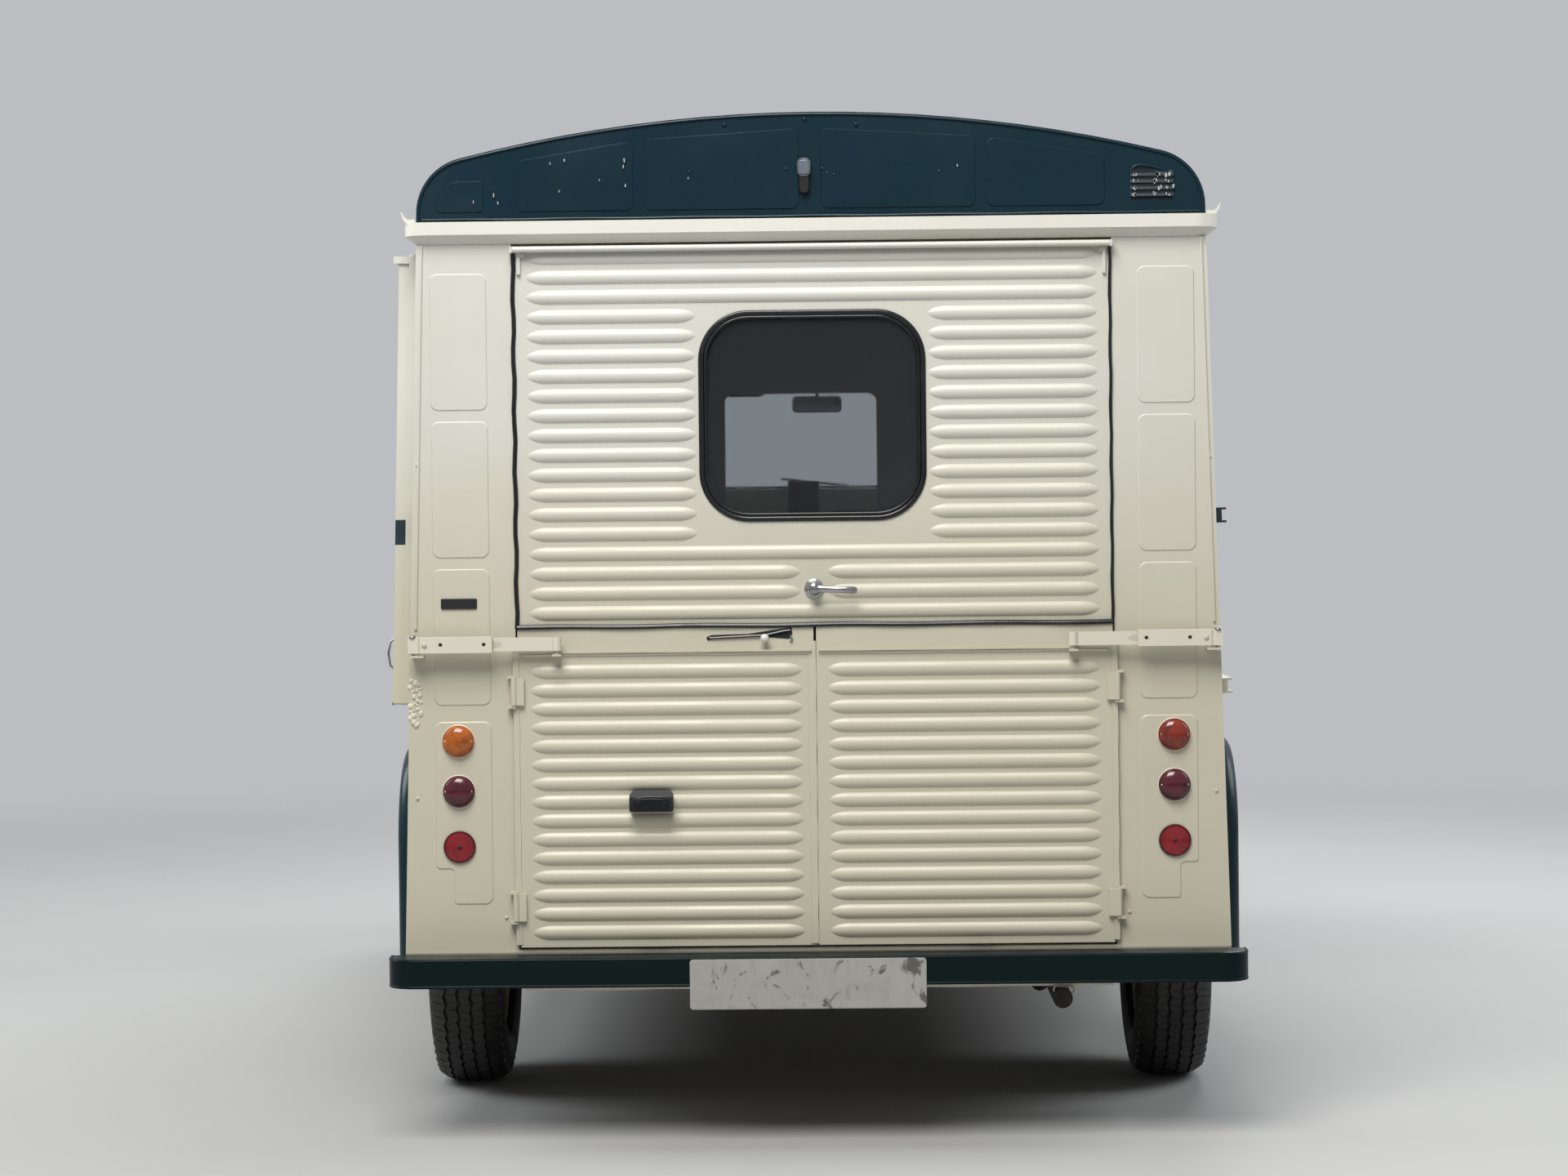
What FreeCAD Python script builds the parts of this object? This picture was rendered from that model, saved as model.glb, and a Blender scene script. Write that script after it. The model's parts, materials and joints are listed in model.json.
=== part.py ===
"""Ice cream van: a low box van with a corrugated body, serving hatch and three rear doors.

Millimetres. +X is the van's right side, +Y is forwards, +Z is up, and the origin is on the
ground below the middle of the van. The driving sizes are in the sheet named Sizes.
"""
import FreeCAD
import Part
import math
import os
import Sketcher

V = FreeCAD.Vector
doc = FreeCAD.newDocument("ice_cream_van")

# Driving sizes: alias, value in millimetres or degrees, what it is
SIZES = (
    # The whole van
    ("half_length", 2130, "origin to the face of each bumper"),
    ("body_rear", 2010, "origin back to the body's rear face"),
    ("roof_high", 2300, "top of the roof"),
    ("side_lean", 1.556, "lean of the body sides, in degrees"),
    ("foot_half", 939.4, "half width of the body sides, carried down to the ground"),
    ("panel", 30, "thickness of the body walls"),
    ("skin", 25, "thickness of the formed shells"),
    ("gap", 5, "gap round a door"),
    ("seat_gap", 0.3, "gap between two pieces that touch"),
    # Floor
    ("floor_low", 345, "underside of the floor pan"),
    ("floor_high", 420, "top of the floor pan"),
    ("floor_plate", 20, "thickness of the floor plate"),
    ("floor_front", 935, "front edge of the full floor"),
    ("toe_front", 1310, "front edge of the foot well"),
    ("toe_half", 420, "half width of the foot well"),
    ("beam_out", 400, "outer side of the chassis beams"),
    ("beam_in", 330, "inner side of the chassis beams"),
    ("beam_front", 1930, "front end of the chassis beams"),
    # Gutter and roof
    ("gutter_low", 2012, "underside of the gutter at the wall"),
    ("gutter_step", 2032, "underside of the gutter at its edge"),
    ("gutter_top", 2061, "top of the gutter"),
    ("gutter_out", 27, "gutter beyond the wall"),
    ("gutter_lip", 6, "width of the gutter's lip"),
    ("gutter_deep", 18, "depth of the gutter's channel"),
    ("crown_round", 3300, "radius of the roof's crown"),
    ("shoulder_round", 127, "radius of the roof's shoulders"),
    ("brow_round", 150, "radius of the roof's front edge"),
    ("front_corner", 120, "radius of the cab's front corners"),
    # Rear opening and doors
    ("opening_half", 672, "half width of the rear opening"),
    ("opening_low", 427, "top of the rear sill"),
    ("leaf_half", 667, "half width of the rear doors together"),
    ("leaf_low", 433, "bottom of the lower rear doors"),
    ("leaf_top", 1147.5, "top of the lower rear doors"),
    ("gate_low", 1153, "bottom of the tailgate"),
    ("gate_top", 2006, "top of the tailgate"),
    ("leaf_proud", 8, "lower doors proud of the rear face"),
    ("gate_proud", 2, "tailgate proud of the rear face"),
    ("leaf_thick", 28, "thickness of the rear doors"),
    ("split_half", 3, "half the gap between the lower doors"),
    ("rebate_in", 32, "width of the rebate behind the rear doors"),
    ("rear_glass_half", 245, "half width of the tailgate's window"),
    ("rear_glass_low", 1394, "bottom of the tailgate's window"),
    ("rear_glass_top", 1848, "top of the tailgate's window"),
    ("rear_glass_round", 105, "corner radius of the tailgate's window"),
    ("rubber", 20, "width of the window rubber"),
    ("glass", 6, "thickness of the glass"),
    # Ribs and embossed panels
    ("rib_high", 7, "height of the ribs"),
    ("rib_tall", 32, "width of the ribs across their base"),
    ("rib_nose", 26, "length of the slope at a rib's end"),
    ("rib_nose_round", 130, "radius where a rib's end runs into its crown"),
    ("rib_turn", 150, "turn of a rib about its buried axis, in degrees"),
    ("gate_rib_step", 44.3, "pitch of the tailgate's ribs"),
    ("gate_rib_low", 1182.5, "middle of the tailgate's lowest rib"),
    ("leaf_rib_step", 41.9, "pitch of the lower doors' ribs"),
    ("leaf_rib_low", 465, "middle of the lower doors' lowest rib"),
    ("leaf_rib_in", 28, "lower doors' ribs from the van's middle"),
    ("rear_rib_half", 640, "outer end of the ribs on the rear doors"),
    ("side_rib_step", 48, "pitch of the ribs along the sides"),
    ("side_rib_low", 496, "middle of the sides' lowest rib"),
    ("side_rib_end", 25, "flat strip beside a rib's end"),
    ("emboss", 2, "height of the embossed panels"),
    ("emboss_slope", 52, "lean of the embossed panels' sides, in degrees"),
    ("emboss_round", 18, "corner radius of the embossed panels"),
    ("emboss_top", 1947, "top of the pillars' highest panel"),
    ("emboss_tall", 307, "height of the pillars' three upper panels"),
    ("emboss_gap", 24, "flat strip between the pillars' panels"),
    ("emboss_step", 40, "notch in the pillars' lowest panel"),
    ("foot_panel_low", 530, "bottom of the pillars' lowest panel"),
    ("emboss_in", 728, "inner side of the pillars' panels"),
    ("emboss_out", 857, "outer side of the pillars' panels"),
    ("vent_half", 48, "half width of the roof vent"),
    ("vent_at", 764, "roof vent from the van's middle"),
    ("vent_low", 2102, "bottom of the roof vent"),
    ("louvre_tall", 13, "height of one louvre"),
    ("roof_lamp_high", 72, "height of the roof lamp"),
    ("hinge_pin", 4, "radius of the hinge pins"),
    ("hinge_barrel", 7, "radius of the hinge barrels"),
    ("hinge_tall", 60, "length of a door's hinge barrel"),
    ("hinge_lug", 6, "thickness of the lugs that hold a hinge pin"),
    ("gate_hinge_out", 20, "tailgate's hinge behind the rear face"),
    ("gate_hinge_drop", 8, "tailgate's hinge below its top edge"),
    ("leaf_hinge_out", 16, "lower doors' hinges behind the rear face"),
    ("leaf_hinge_side", 9, "lower doors' hinges beyond their edges"),
    ("cab_hinge_out", 9, "cab doors' hinges beyond the wall"),
    ("bonnet_hinge_up", 12, "bonnet's hinge above its top"),
    ("bonnet_hinge_half", 250, "bonnet's hinges from the van's middle"),
    # Door stays on the lower rear doors
    ("stay_high", 1098, "underside of the door stays"),
    ("stay_tall", 36, "height of the stays' channel"),
    ("stay_out", 35, "stay pins behind the rear face"),
    ("stay_body_pin", 899, "stay pin on the body, from the middle"),
    ("stay_door_pin", 577, "stay pin on the door, from the middle"),
    ("stay_channel", 178, "length of the stays' channel"),
    ("stay_bar", 196, "length of the stays' bar"),
    ("pin_round", 5, "radius of the stay pins"),
    ("pin_play", 0.05, "play round a pin or a shaft"),
    # Serving hatch on the left side
    ("hatch_rear", 1900, "hatch frame back from the origin"),
    ("hatch_front", 100, "hatch frame forward of the origin"),
    ("hatch_low", 975, "bottom of the hatch frame"),
    ("hatch_top", 2000, "top of the hatch frame"),
    ("hatch_rim", 40, "width of the hatch frame"),
    ("hatch_proud", 27, "hatch frame proud of the wall"),
    ("flap_thick", 24, "thickness of the hatch flap"),
    # Side door on the right side
    ("slide_rear", 450, "side door opening back from the origin"),
    ("slide_front", 400, "side door opening forward of the origin"),
    ("slide_low", 440, "bottom of the side door opening"),
    ("slide_top", 1930, "top of the side door opening"),
    ("slide_lap", 30, "side door beyond its opening"),
    ("slide_off", 86, "side door's inner face beyond the wall"),
    ("rail_proud", 26, "side rails proud of the wall"),
    ("rail_high", 1371, "underside of the upper side rail"),
    ("rail_low", 987, "underside of the lower side rail"),
    ("rail_tall", 34, "height of the side rails"),
    # Cab doors and cab front
    ("cab_door_rear", 500, "rear edge of the cab door openings"),
    ("cab_door_front", 1188, "front edge of the cab door openings"),
    ("cab_door_low", 440, "bottom of the cab doors"),
    ("cab_door_top", 1950, "top of the cab doors"),
    ("cab_glass_low", 1350, "bottom of the cab door windows"),
    ("cab_glass_top", 1850, "top of the cab door windows"),
    ("cab_glass_rim", 70, "door frame beside its window"),
    ("cab_corner", 60, "corner radius of the cab door windows"),
    ("front_face", 1340, "front face of the cab"),
    ("rake_low", 1380, "height where the windscreen's rake starts"),
    ("brow_back", 60, "front face set back at the gutter"),
    ("screen_half", 700, "half width of the windscreen opening"),
    ("screen_low", 1485, "bottom of the windscreen opening"),
    ("screen_top", 1930, "top of the windscreen opening"),
    ("screen_round", 90, "corner radius of the windscreen"),
    ("cowl_low", 985, "bottom of the cab front beside the nose"),
    # Nose and bonnet
    ("nose_wide", 400, "half width of the nose at the cab"),
    ("nose_slim", 300, "half width of the nose at its front"),
    ("nose_front", 2050, "front face of the nose"),
    ("nose_low", 470, "bottom of the nose"),
    ("nose_split", 900, "joint between the nose and the bonnet"),
    ("nose_round", 80, "radius of the nose's front corners"),
    ("bonnet_high", 1290, "top of the bonnet at the cab"),
    ("bonnet_drop", 150, "fall of the bonnet to its front"),
    ("grille_half", 215, "half width of the grille opening"),
    ("grille_low", 540, "bottom of the grille opening"),
    ("grille_top", 860, "top of the grille opening"),
    ("slats", 8, "number of slats in the grille"),
    ("slat_thick", 8, "thickness of a slat"),
    # Wings and arches
    ("wing_in", 425, "inner side of the front wings"),
    ("wing_out", 985, "outer side of the front wings"),
    ("wing_low", 450, "bottom of the front wings"),
    ("wing_top", 980, "top of the front wings"),
    ("wing_front", 2000, "front of the front wings"),
    ("wing_round", 90, "radius of the front wings' edges"),
    ("wheel_opening", 400, "radius of the front wheel openings"),
    ("arch_rim", 30, "width of the rim round the front wheel openings"),
    ("arch_in", 610, "inner side of the rear wheel arches"),
    ("arch_out", 1000, "outer side of the rear wheel arches"),
    ("arch_high", 854, "top of the rear wheel arches"),
    ("arch_half", 430, "half length of the rear wheel arches"),
    ("arch_round", 230, "corner radius of the rear wheel arches"),
    ("arch_opening", 365, "radius of the rear wheel openings"),
    # Wheels and axles
    ("rear_axle_at", 1130, "rear axle back from the origin"),
    ("front_axle_at", 1370, "front axle forward of the origin"),
    ("wheel_half", 857, "middle of each wheel from the van's middle"),
    ("tyre_round", 325, "outer radius of the tyres"),
    ("tyre_wide", 185, "width of the tyres"),
    ("rim_round", 203, "outer radius of the rims"),
    ("rim_wide", 130, "width of the rims"),
    ("stub_round", 22, "radius of the stub axles"),
    ("kingpin_half", 800, "steering pivots from the van's middle"),
    ("torsion_at", 690, "rear cross tube back from the origin"),
    ("torsion_high", 300, "height of the rear cross tube"),
    ("torsion_round", 40, "radius of the rear cross tube"),
    # Bumpers and plates
    ("bumper_half", 957.5, "half length of the bumpers"),
    ("bumper_low", 356, "bottom of the rear bumper"),
    ("bumper_high", 420, "top of the rear bumper"),
    ("bumper_deep", 95, "depth of the bumpers"),
    ("bumper_wrap", 60, "corner radius of the bumpers"),
    ("front_bumper_rise", 40, "front bumper above the rear one"),
    ("plate_wide", 520, "width of the number plates"),
    ("plate_tall", 107, "height of the number plates"),
    ("plate_thick", 4, "thickness of the number plates"),
    ("plate_low", 307, "bottom of the rear plate"),
    ("plate_shift", 22, "rear plate left of the van's middle"),
    # Lamps
    ("lamp_round", 36.5, "radius of the rear lamps"),
    ("lamp_proud", 22, "rear lamps beyond the pillars"),
    ("lamp_half", 803, "rear lamps from the van's middle"),
    ("amber_high", 898, "height of the amber lamps"),
    ("red_high", 785, "height of the red lamps"),
    ("reflector_high", 660, "height of the reflectors"),
    ("headlamp_round", 95, "radius of the headlamps"),
    ("headlamp_half", 560, "headlamps from the van's middle"),
    ("headlamp_deep", 150, "depth of the headlamp shells"),
    # Cabin
    ("pipe_half", 547, "exhaust pipe from the van's middle"),
    ("engine_half", 250, "half width of the engine"),
    ("partition_at", 350, "rear face of the partition"),
    ("doorway_left", 265, "partition doorway left of the middle"),
    ("doorway_right", 175, "partition doorway right of the middle"),
    ("mirror_half", 77, "half width of the cab mirror"),
    ("mirror_low", 1720, "bottom of the cab mirror"),
    ("mirror_tall", 51, "height of the cab mirror"),
    ("mirror_round", 14, "corner radius of the cab mirror"),
    ("doorway_top", 1752, "top of the partition doorway"),
    ("cushion_half", 330, "seats from the van's middle"),
    ("cushion_wide", 450, "width of the seats"),
    ("cushion_high", 880, "top of the seat cushions"),
    ("steering_round", 205, "radius of the steering wheel"),
    ("steering_high", 1180, "height of the steering wheel"),
    ("steering_at", 900, "steering wheel forward of the origin"),
    ("steering_tilt", 35, "steering wheel's lean, in degrees"),
)


class Term:
    """A length worked out from the sheet: its number, and the expression that gives it."""

    def __init__(self, number, text):
        self.number = float(number)
        self.text = text

    @staticmethod
    def of(value):
        return value if isinstance(value, Term) else Term(value, "%.10g" % value)

    def _with(self, other, sign, number):
        return Term(number, "(%s %s %s)" % (self.text, sign, Term.of(other).text))

    def __add__(self, other):
        return self._with(other, "+", self.number + Term.of(other).number)

    def __sub__(self, other):
        return self._with(other, "-", self.number - Term.of(other).number)

    def __mul__(self, other):
        return self._with(other, "*", self.number * Term.of(other).number)

    def __truediv__(self, other):
        return self._with(other, "/", self.number / Term.of(other).number)

    def __neg__(self):
        return Term(-self.number, "(0 - %s)" % self.text)

    def __radd__(self, other):
        return Term.of(other) + self

    def __rsub__(self, other):
        return Term.of(other) - self

    def __rmul__(self, other):
        return Term.of(other) * self

    def __float__(self):
        return self.number


def tangent(angle):
    """The tangent of an angle in degrees."""
    return Term(math.tan(math.radians(float(angle))), "tan(%s)" % Term.of(angle).text)


def root(value):
    """The square root of a value."""
    return Term(math.sqrt(float(value)), "sqrt(%s)" % Term.of(value).text)


class Sheet:
    """The sheet of driving sizes, read by name."""

    def __init__(self):
        sheet = doc.addObject("Spreadsheet::Sheet", "Sizes")
        for row, (alias, value, note) in enumerate(SIZES, start=1):
            sheet.set("A%d" % row, alias)
            sheet.set("B%d" % row, "%.10g" % value)
            sheet.set("C%d" % row, note)
            sheet.setAlias("B%d" % row, alias)
            setattr(self, alias, Term(value, "Sizes." + alias))


S = Sheet()
doc.recompute()
NODES = {}
ZERO = Term(0, "0")


def half_width(height, offset=ZERO):
    """Half width of the leaning body sides at a height, set out by an offset."""
    return S.foot_half + offset - height * tangent(S.side_lean)


def keep(name, thing):
    """Name a sub-part and list it for writing."""
    thing.Label = name
    NODES[name] = thing
    return thing


def bind(thing, prop, value):
    """Tie a property to the sheet."""
    thing.setExpression(prop, Term.of(value).text)


def place(thing, x=ZERO, y=ZERO, z=ZERO, axis=None, angle=ZERO):
    """Give a sub-part its place, and its turn about an axis in degrees."""
    turn = FreeCAD.Rotation(V(*axis), float(angle)) if axis else FreeCAD.Rotation()
    thing.Placement = FreeCAD.Placement(V(float(x), float(y), float(z)), turn)
    bind(thing, "Placement.Base.x", x)
    bind(thing, "Placement.Base.y", y)
    bind(thing, "Placement.Base.z", z)
    if axis and isinstance(angle, Term):
        bind(thing, "Placement.Rotation.Angle", angle)
    return thing


# Sketches

def rectangle(x0, x1, y0, y1, radius=None):
    """The corners of an upright rectangle, each rounded by the radius."""
    spots = ((x0, y0), (x1, y0), (x1, y1), (x0, y1))
    return [spot + ((radius,) if radius is not None else ()) for spot in spots]


def draw_corners(sketch, corners, closed=True):
    """Draw an outline, or an open path, through corners given as x, y and an optional radius."""
    count = len(corners)
    spots = [V(float(corner[0]), float(corner[1]), 0) for corner in corners]
    rounds = [float(corner[2]) if len(corner) > 2 else 0.0 for corner in corners]
    enter, leave, middle, turns = [], [], [], []
    for i, spot in enumerate(spots):
        if not closed and i in (0, count - 1):
            enter.append(spot)
            leave.append(spot)
            middle.append(spot)
            turns.append(True)
            continue
        back = (spots[i - 1] - spot).normalize()
        ahead = (spots[(i + 1) % count] - spot).normalize()
        half = back.getAngle(ahead) / 2
        reach = rounds[i] / math.tan(half)
        enter.append(spot + back * reach)
        leave.append(spot + ahead * reach)
        turns.append(back.cross(ahead).z < 0)
        turn = (back + ahead).normalize() * (rounds[i] / math.sin(half)) if rounds[i] else V()
        middle.append(spot + turn)
    runs = count if closed else count - 1
    lines = [Part.LineSegment(leave[i], enter[(i + 1) % count]) for i in range(runs)]
    line = sketch.addGeometry(lines, False)
    rules, sizes = [], []
    for i, corner in enumerate(corners):
        before, after = line[i - 1], line[min(i, runs - 1)]
        if not closed and i in (0, count - 1):
            where = (-1, 1, line[0], 1) if i == 0 else (-1, 1, before, 2)
            sizes += [("DistanceX", where, corner[0]), ("DistanceY", where, corner[1])]
            continue
        if rounds[i]:
            ends = (enter[i], leave[i]) if turns[i] else (leave[i], enter[i])
            angles = [math.atan2(end.y - middle[i].y, end.x - middle[i].x) for end in ends]
            if angles[1] < angles[0]:
                angles[1] += 2 * math.pi
            circle = Part.Circle(middle[i], V(0, 0, 1), rounds[i])
            arc = sketch.addGeometry(Part.ArcOfCircle(circle, angles[0], angles[1]), False)
            spot = sketch.addGeometry(Part.Point(spots[i]), True)
            first, last = (1, 2) if turns[i] else (2, 1)
            rules.append(Sketcher.Constraint("Tangent", before, 2, arc, first))
            rules.append(Sketcher.Constraint("Tangent", arc, last, after, 1))
            rules.append(Sketcher.Constraint("PointOnObject", spot, 1, before))
            rules.append(Sketcher.Constraint("PointOnObject", spot, 1, after))
            sizes.append(("Radius", (arc,), corner[2]))
        else:
            spot = after
            rules.append(Sketcher.Constraint("Coincident", before, 2, after, 1))
        sizes.append(("DistanceX", (-1, 1, spot, 1), corner[0]))
        sizes.append(("DistanceY", (-1, 1, spot, 1), corner[1]))
    sketch.addConstraint(rules)
    size_sketch(sketch, sizes)


def draw_circle(sketch, x, y, radius):
    """Draw a circle."""
    ring = sketch.addGeometry(Part.Circle(V(float(x), float(y), 0), V(0, 0, 1), float(radius)), False)
    size_sketch(sketch, [("DistanceX", (-1, 1, ring, 3), x), ("DistanceY", (-1, 1, ring, 3), y),
                         ("Radius", (ring,), radius)])


def size_sketch(sketch, sizes):
    """Add the dimensions of a sketch and tie each to the sheet."""
    marks = [Sketcher.Constraint(kind, *where, float(value)) for kind, where, value in sizes]
    for index, (kind, where, value) in zip(sketch.addConstraint(marks), sizes):
        sketch.setExpression("Constraints[%d]" % index, Term.of(value).text)


class Body:
    """A sub-part, or a form that a sub-part is cut from, made of sketches and features."""

    def __init__(self, name):
        self.name = name
        self.body = doc.addObject("PartDesign::Body", name)
        self.body.AllowCompound = True

    def sketch(self, plane, at, *shapes):
        """Draw shapes on an origin plane: XY, XZ or YZ, at a place along its axis."""
        sketch = self.body.newObject("Sketcher::SketchObject", self.name + "_sketch")
        base = [item for item in self.body.Origin.OriginFeatures if item.Role == plane + "_Plane"]
        sketch.AttachmentSupport = (base[0], [""])
        sketch.MapMode = "FlatFace"
        lift = -Term.of(at) if plane == "XZ" else Term.of(at)
        sketch.AttachmentOffset = FreeCAD.Placement(V(0, 0, float(lift)), FreeCAD.Rotation())
        bind(sketch, "AttachmentOffset.Base.z", lift)
        for shape in shapes:
            if isinstance(shape, tuple):
                draw_circle(sketch, *shape)
            else:
                draw_corners(sketch, shape)
        return sketch

    def pad(self, plane, low, high, *shapes, taper=None):
        """Raise shapes from a low to a high place along the plane's axis."""
        feature = self.body.newObject("PartDesign::Pad", self.name + "_pad")
        feature.Profile = self.sketch(plane, low, *shapes)
        bind(feature, "Length", Term.of(high) - low)
        feature.Reversed = plane == "XZ"
        if taper is not None:
            bind(feature, "TaperAngle", taper)
        return feature

    def ribs(self, plane, at, side, start, end, low, step, count):
        """Rows of pressed ribs on a face: a round crown turned about a buried axis, with pointed ends."""
        rise, wide = S.rib_high, S.rib_tall
        crown = (wide * wide / 4 + rise * rise) / (rise * 2)
        skin = crown - rise
        nose, round_by = S.rib_nose, S.rib_nose_round
        outline = [(start, ZERO), (start, skin), (start + nose, crown, round_by), (end - nose, crown, round_by),
                   (end, skin), (end, ZERO)]
        if plane == "XZ":
            letter, middle, axis = "y", Term.of(at) + skin, "H_Axis"
            outline = [(along, -out, *more) for along, out, *more in outline]
        else:
            letter, middle, axis = "x", Term.of(at) - skin * side, "V_Axis"
            outline = [(out * side, along, *more) for along, out, *more in outline]
        sketch = self.sketch("XY", low, outline)
        bind(sketch, "AttachmentOffset.Base." + letter, middle)
        rib = self.body.newObject("PartDesign::Revolution", self.name + "_rib")
        rib.Profile = sketch
        rib.ReferenceAxis = (sketch, [axis])
        rib.Midplane = True
        bind(rib, "Angle", S.rib_turn)
        if count < 2:
            return
        doc.recompute()
        rows = self.body.newObject("PartDesign::LinearPattern", self.name + "_ribs")
        rows.Originals = [rib]
        rows.Direction = (sketch, ["N_Axis"])
        bind(rows, "Length", step * (count - 1))
        rows.Occurrences = count
        self.body.Tip = rows

    def pocket(self, plane, low, high, *shapes, taper=None):
        """Cut shapes from a low to a high place along the plane's axis."""
        doc.recompute()
        before = self.body.Shape.Volume
        feature = self.body.newObject("PartDesign::Pocket", self.name + "_pocket")
        feature.Profile = self.sketch(plane, low, *shapes)
        bind(feature, "Length", Term.of(high) - low)
        feature.Reversed = plane != "XZ"
        if taper is not None:
            bind(feature, "TaperAngle", taper)
        doc.recompute()
        if not self.body.Shape.Volume < before:
            raise RuntimeError("a pocket of %s cuts nothing" % self.name)
        return feature

    def revolve(self, plane, at, shape, axis="V_Axis"):
        """Turn a shape about the sketch's own upright or level axis."""
        feature = self.body.newObject("PartDesign::Revolution", self.name + "_turned")
        sketch = self.sketch(plane, at, shape)
        feature.Profile = sketch
        feature.ReferenceAxis = (sketch, [axis])
        feature.Angle = 360
        return feature

    def tube(self, plane, at, path, radius):
        """Run a round bar along an open path that starts level, along the sketch's x axis."""
        spine = self.sketch(plane, at)
        draw_corners(spine, path, closed=False)
        ring = self.body.newObject("Sketcher::SketchObject", self.name + "_ring")
        base = [item for item in self.body.Origin.OriginFeatures if item.Role == "XZ_Plane"]
        ring.AttachmentSupport = (base[0], [""])
        ring.MapMode = "FlatFace"
        bind(ring, "AttachmentOffset.Base.z", -path[0][0])
        draw_circle(ring, at, path[0][1], radius)
        feature = self.body.newObject("PartDesign::AdditivePipe", self.name + "_tube")
        feature.Profile = ring
        feature.Spine = spine
        return feature

    def loft(self, *sections):
        """Join sections, each a height and a shape, by straight sides."""
        sketches = [self.sketch("XY", height, shape) for height, shape in sections]
        feature = self.body.newObject("PartDesign::AdditiveLoft", self.name + "_loft")
        feature.Profile = sketches[0]
        feature.Sections = sketches[1:]
        feature.Ruled = True
        return feature

    def fillet(self, radius, chosen):
        """Round the edges whose middle the chosen test accepts."""
        doc.recompute()
        names = []
        for number, edge in enumerate(self.body.Shape.Edges, start=1):
            if chosen(edge.CenterOfMass, edge):
                names.append("Edge%d" % number)
        base = self.body.Tip
        feature = self.body.newObject("PartDesign::Fillet", self.name + "_fillet")
        feature.Base = (base, names)
        bind(feature, "Radius", radius)
        self.body.Tip = feature
        doc.recompute()
        return feature


def mirror(name, thing):
    """The same form on the other side of the van."""
    other = doc.addObject("Part::Mirroring", name)
    other.Source = thing
    other.Normal = V(1, 0, 0)
    return other


def compound(name, things):
    """Several solids that share a node."""
    group = doc.addObject("Part::Compound", name)
    group.Links = things
    return group


def pair(name, thing):
    """A form and its mirror image in one node."""
    return compound(name, [thing, mirror(name + "_other", thing)])


def cut(name, base, tool):
    """One form less another."""
    result = doc.addObject("Part::Cut", name)
    result.Base = base
    result.Tool = tool
    return result


def common(name, *things):
    """What several forms share."""
    result = doc.addObject("Part::MultiCommon", name)
    result.Shapes = list(things)
    return result


def fuse(name, *things):
    """Several forms joined."""
    result = doc.addObject("Part::MultiFuse", name)
    result.Shapes = list(things)
    return result


def block(name, x0, x1, y0, y1, z0, z1):
    """A box between two corners."""
    result = doc.addObject("Part::Box", name)
    bind(result, "Length", Term.of(x1) - x0)
    bind(result, "Width", Term.of(y1) - y0)
    bind(result, "Height", Term.of(z1) - z0)
    return place(result, Term.of(x0), Term.of(y0), Term.of(z0))


AXES = {"x": ((0, 1, 0), 90), "y": ((1, 0, 0), -90), "z": ((0, 0, 1), 0)}


def rod(name, along, radius, length, x, y, z):
    """A round bar from a point along an axis."""
    result = doc.addObject("Part::Cylinder", name)
    bind(result, "Radius", radius)
    bind(result, "Height", length)
    axis, angle = AXES[along]
    return place(result, Term.of(x), Term.of(y), Term.of(z), axis, angle)


def barrel(name, along, length, x, y, z):
    """The solid barrel and the bore of a hinge that turns on a pin, from a point along an axis."""
    outer = rod(name + "_barrel", along, S.hinge_barrel, length, x, y, z)
    reach = S.hinge_lug * 2
    start = [Term.of(x), Term.of(y), Term.of(z)]
    index = "xyz".index(along)
    start[index] = start[index] - reach
    bore = rod(name + "_bore", along, S.hinge_pin + S.pin_play, length + reach * 2, *start)
    return outer, bore


def pin(name, along, length, x, y, z):
    """A hinge pin that runs past both ends of its barrel into its lugs."""
    start = [Term.of(x), Term.of(y), Term.of(z)]
    index = "xyz".index(along)
    start[index] = start[index] - S.hinge_lug - S.seat_gap
    return rod(name + "_pin", along, S.hinge_pin, length + S.hinge_lug * 2 + S.seat_gap * 2, *start)


# Body shell

def make_floor():
    """Floor pan with its perimeter frame, the foot well and the two front chassis beams."""
    edge = half_width(S.floor_high)
    inner = S.arch_in - S.gap
    rear, arch_rear = -S.body_rear, -S.rear_axle_at - S.arch_half - S.gap
    arch_front = -S.rear_axle_at + S.arch_half + S.gap
    right = [(edge, rear), (edge, arch_rear), (inner, arch_rear), (inner, arch_front),
             (edge, arch_front), (edge, S.floor_front), (S.toe_half, S.floor_front),
             (S.toe_half, S.toe_front), (S.beam_out, S.toe_front), (S.beam_out, S.beam_front),
             (S.beam_in, S.beam_front), (S.beam_in, S.toe_front)]
    left = [(-x, y) for x, y in reversed(right)]
    floor = Body("floor_pan")
    floor.pad("XY", S.floor_low, S.floor_high, right + left)
    frame = S.panel + S.skin
    under = S.floor_high - S.floor_plate
    bay = inner - frame
    cross = arch_rear - frame
    floor.pocket("XY", S.floor_low, under, rectangle(-(edge - frame), edge - frame, rear + frame, cross))
    floor.pocket("XY", S.floor_low, under, rectangle(-bay, bay, arch_rear, arch_front))
    wide = edge - frame
    floor.pocket("XY", S.floor_low, under,
                 rectangle(-wide, wide, arch_front + frame, S.floor_front - frame))
    deck = inner - S.gap
    floor.pad("XY", S.floor_high, S.floor_high + S.gap,
              rectangle(-deck, deck, -S.body_rear + S.panel * 2 + S.gap, S.partition_at - S.gap))
    keep("floor_pan", floor.body)


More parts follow.
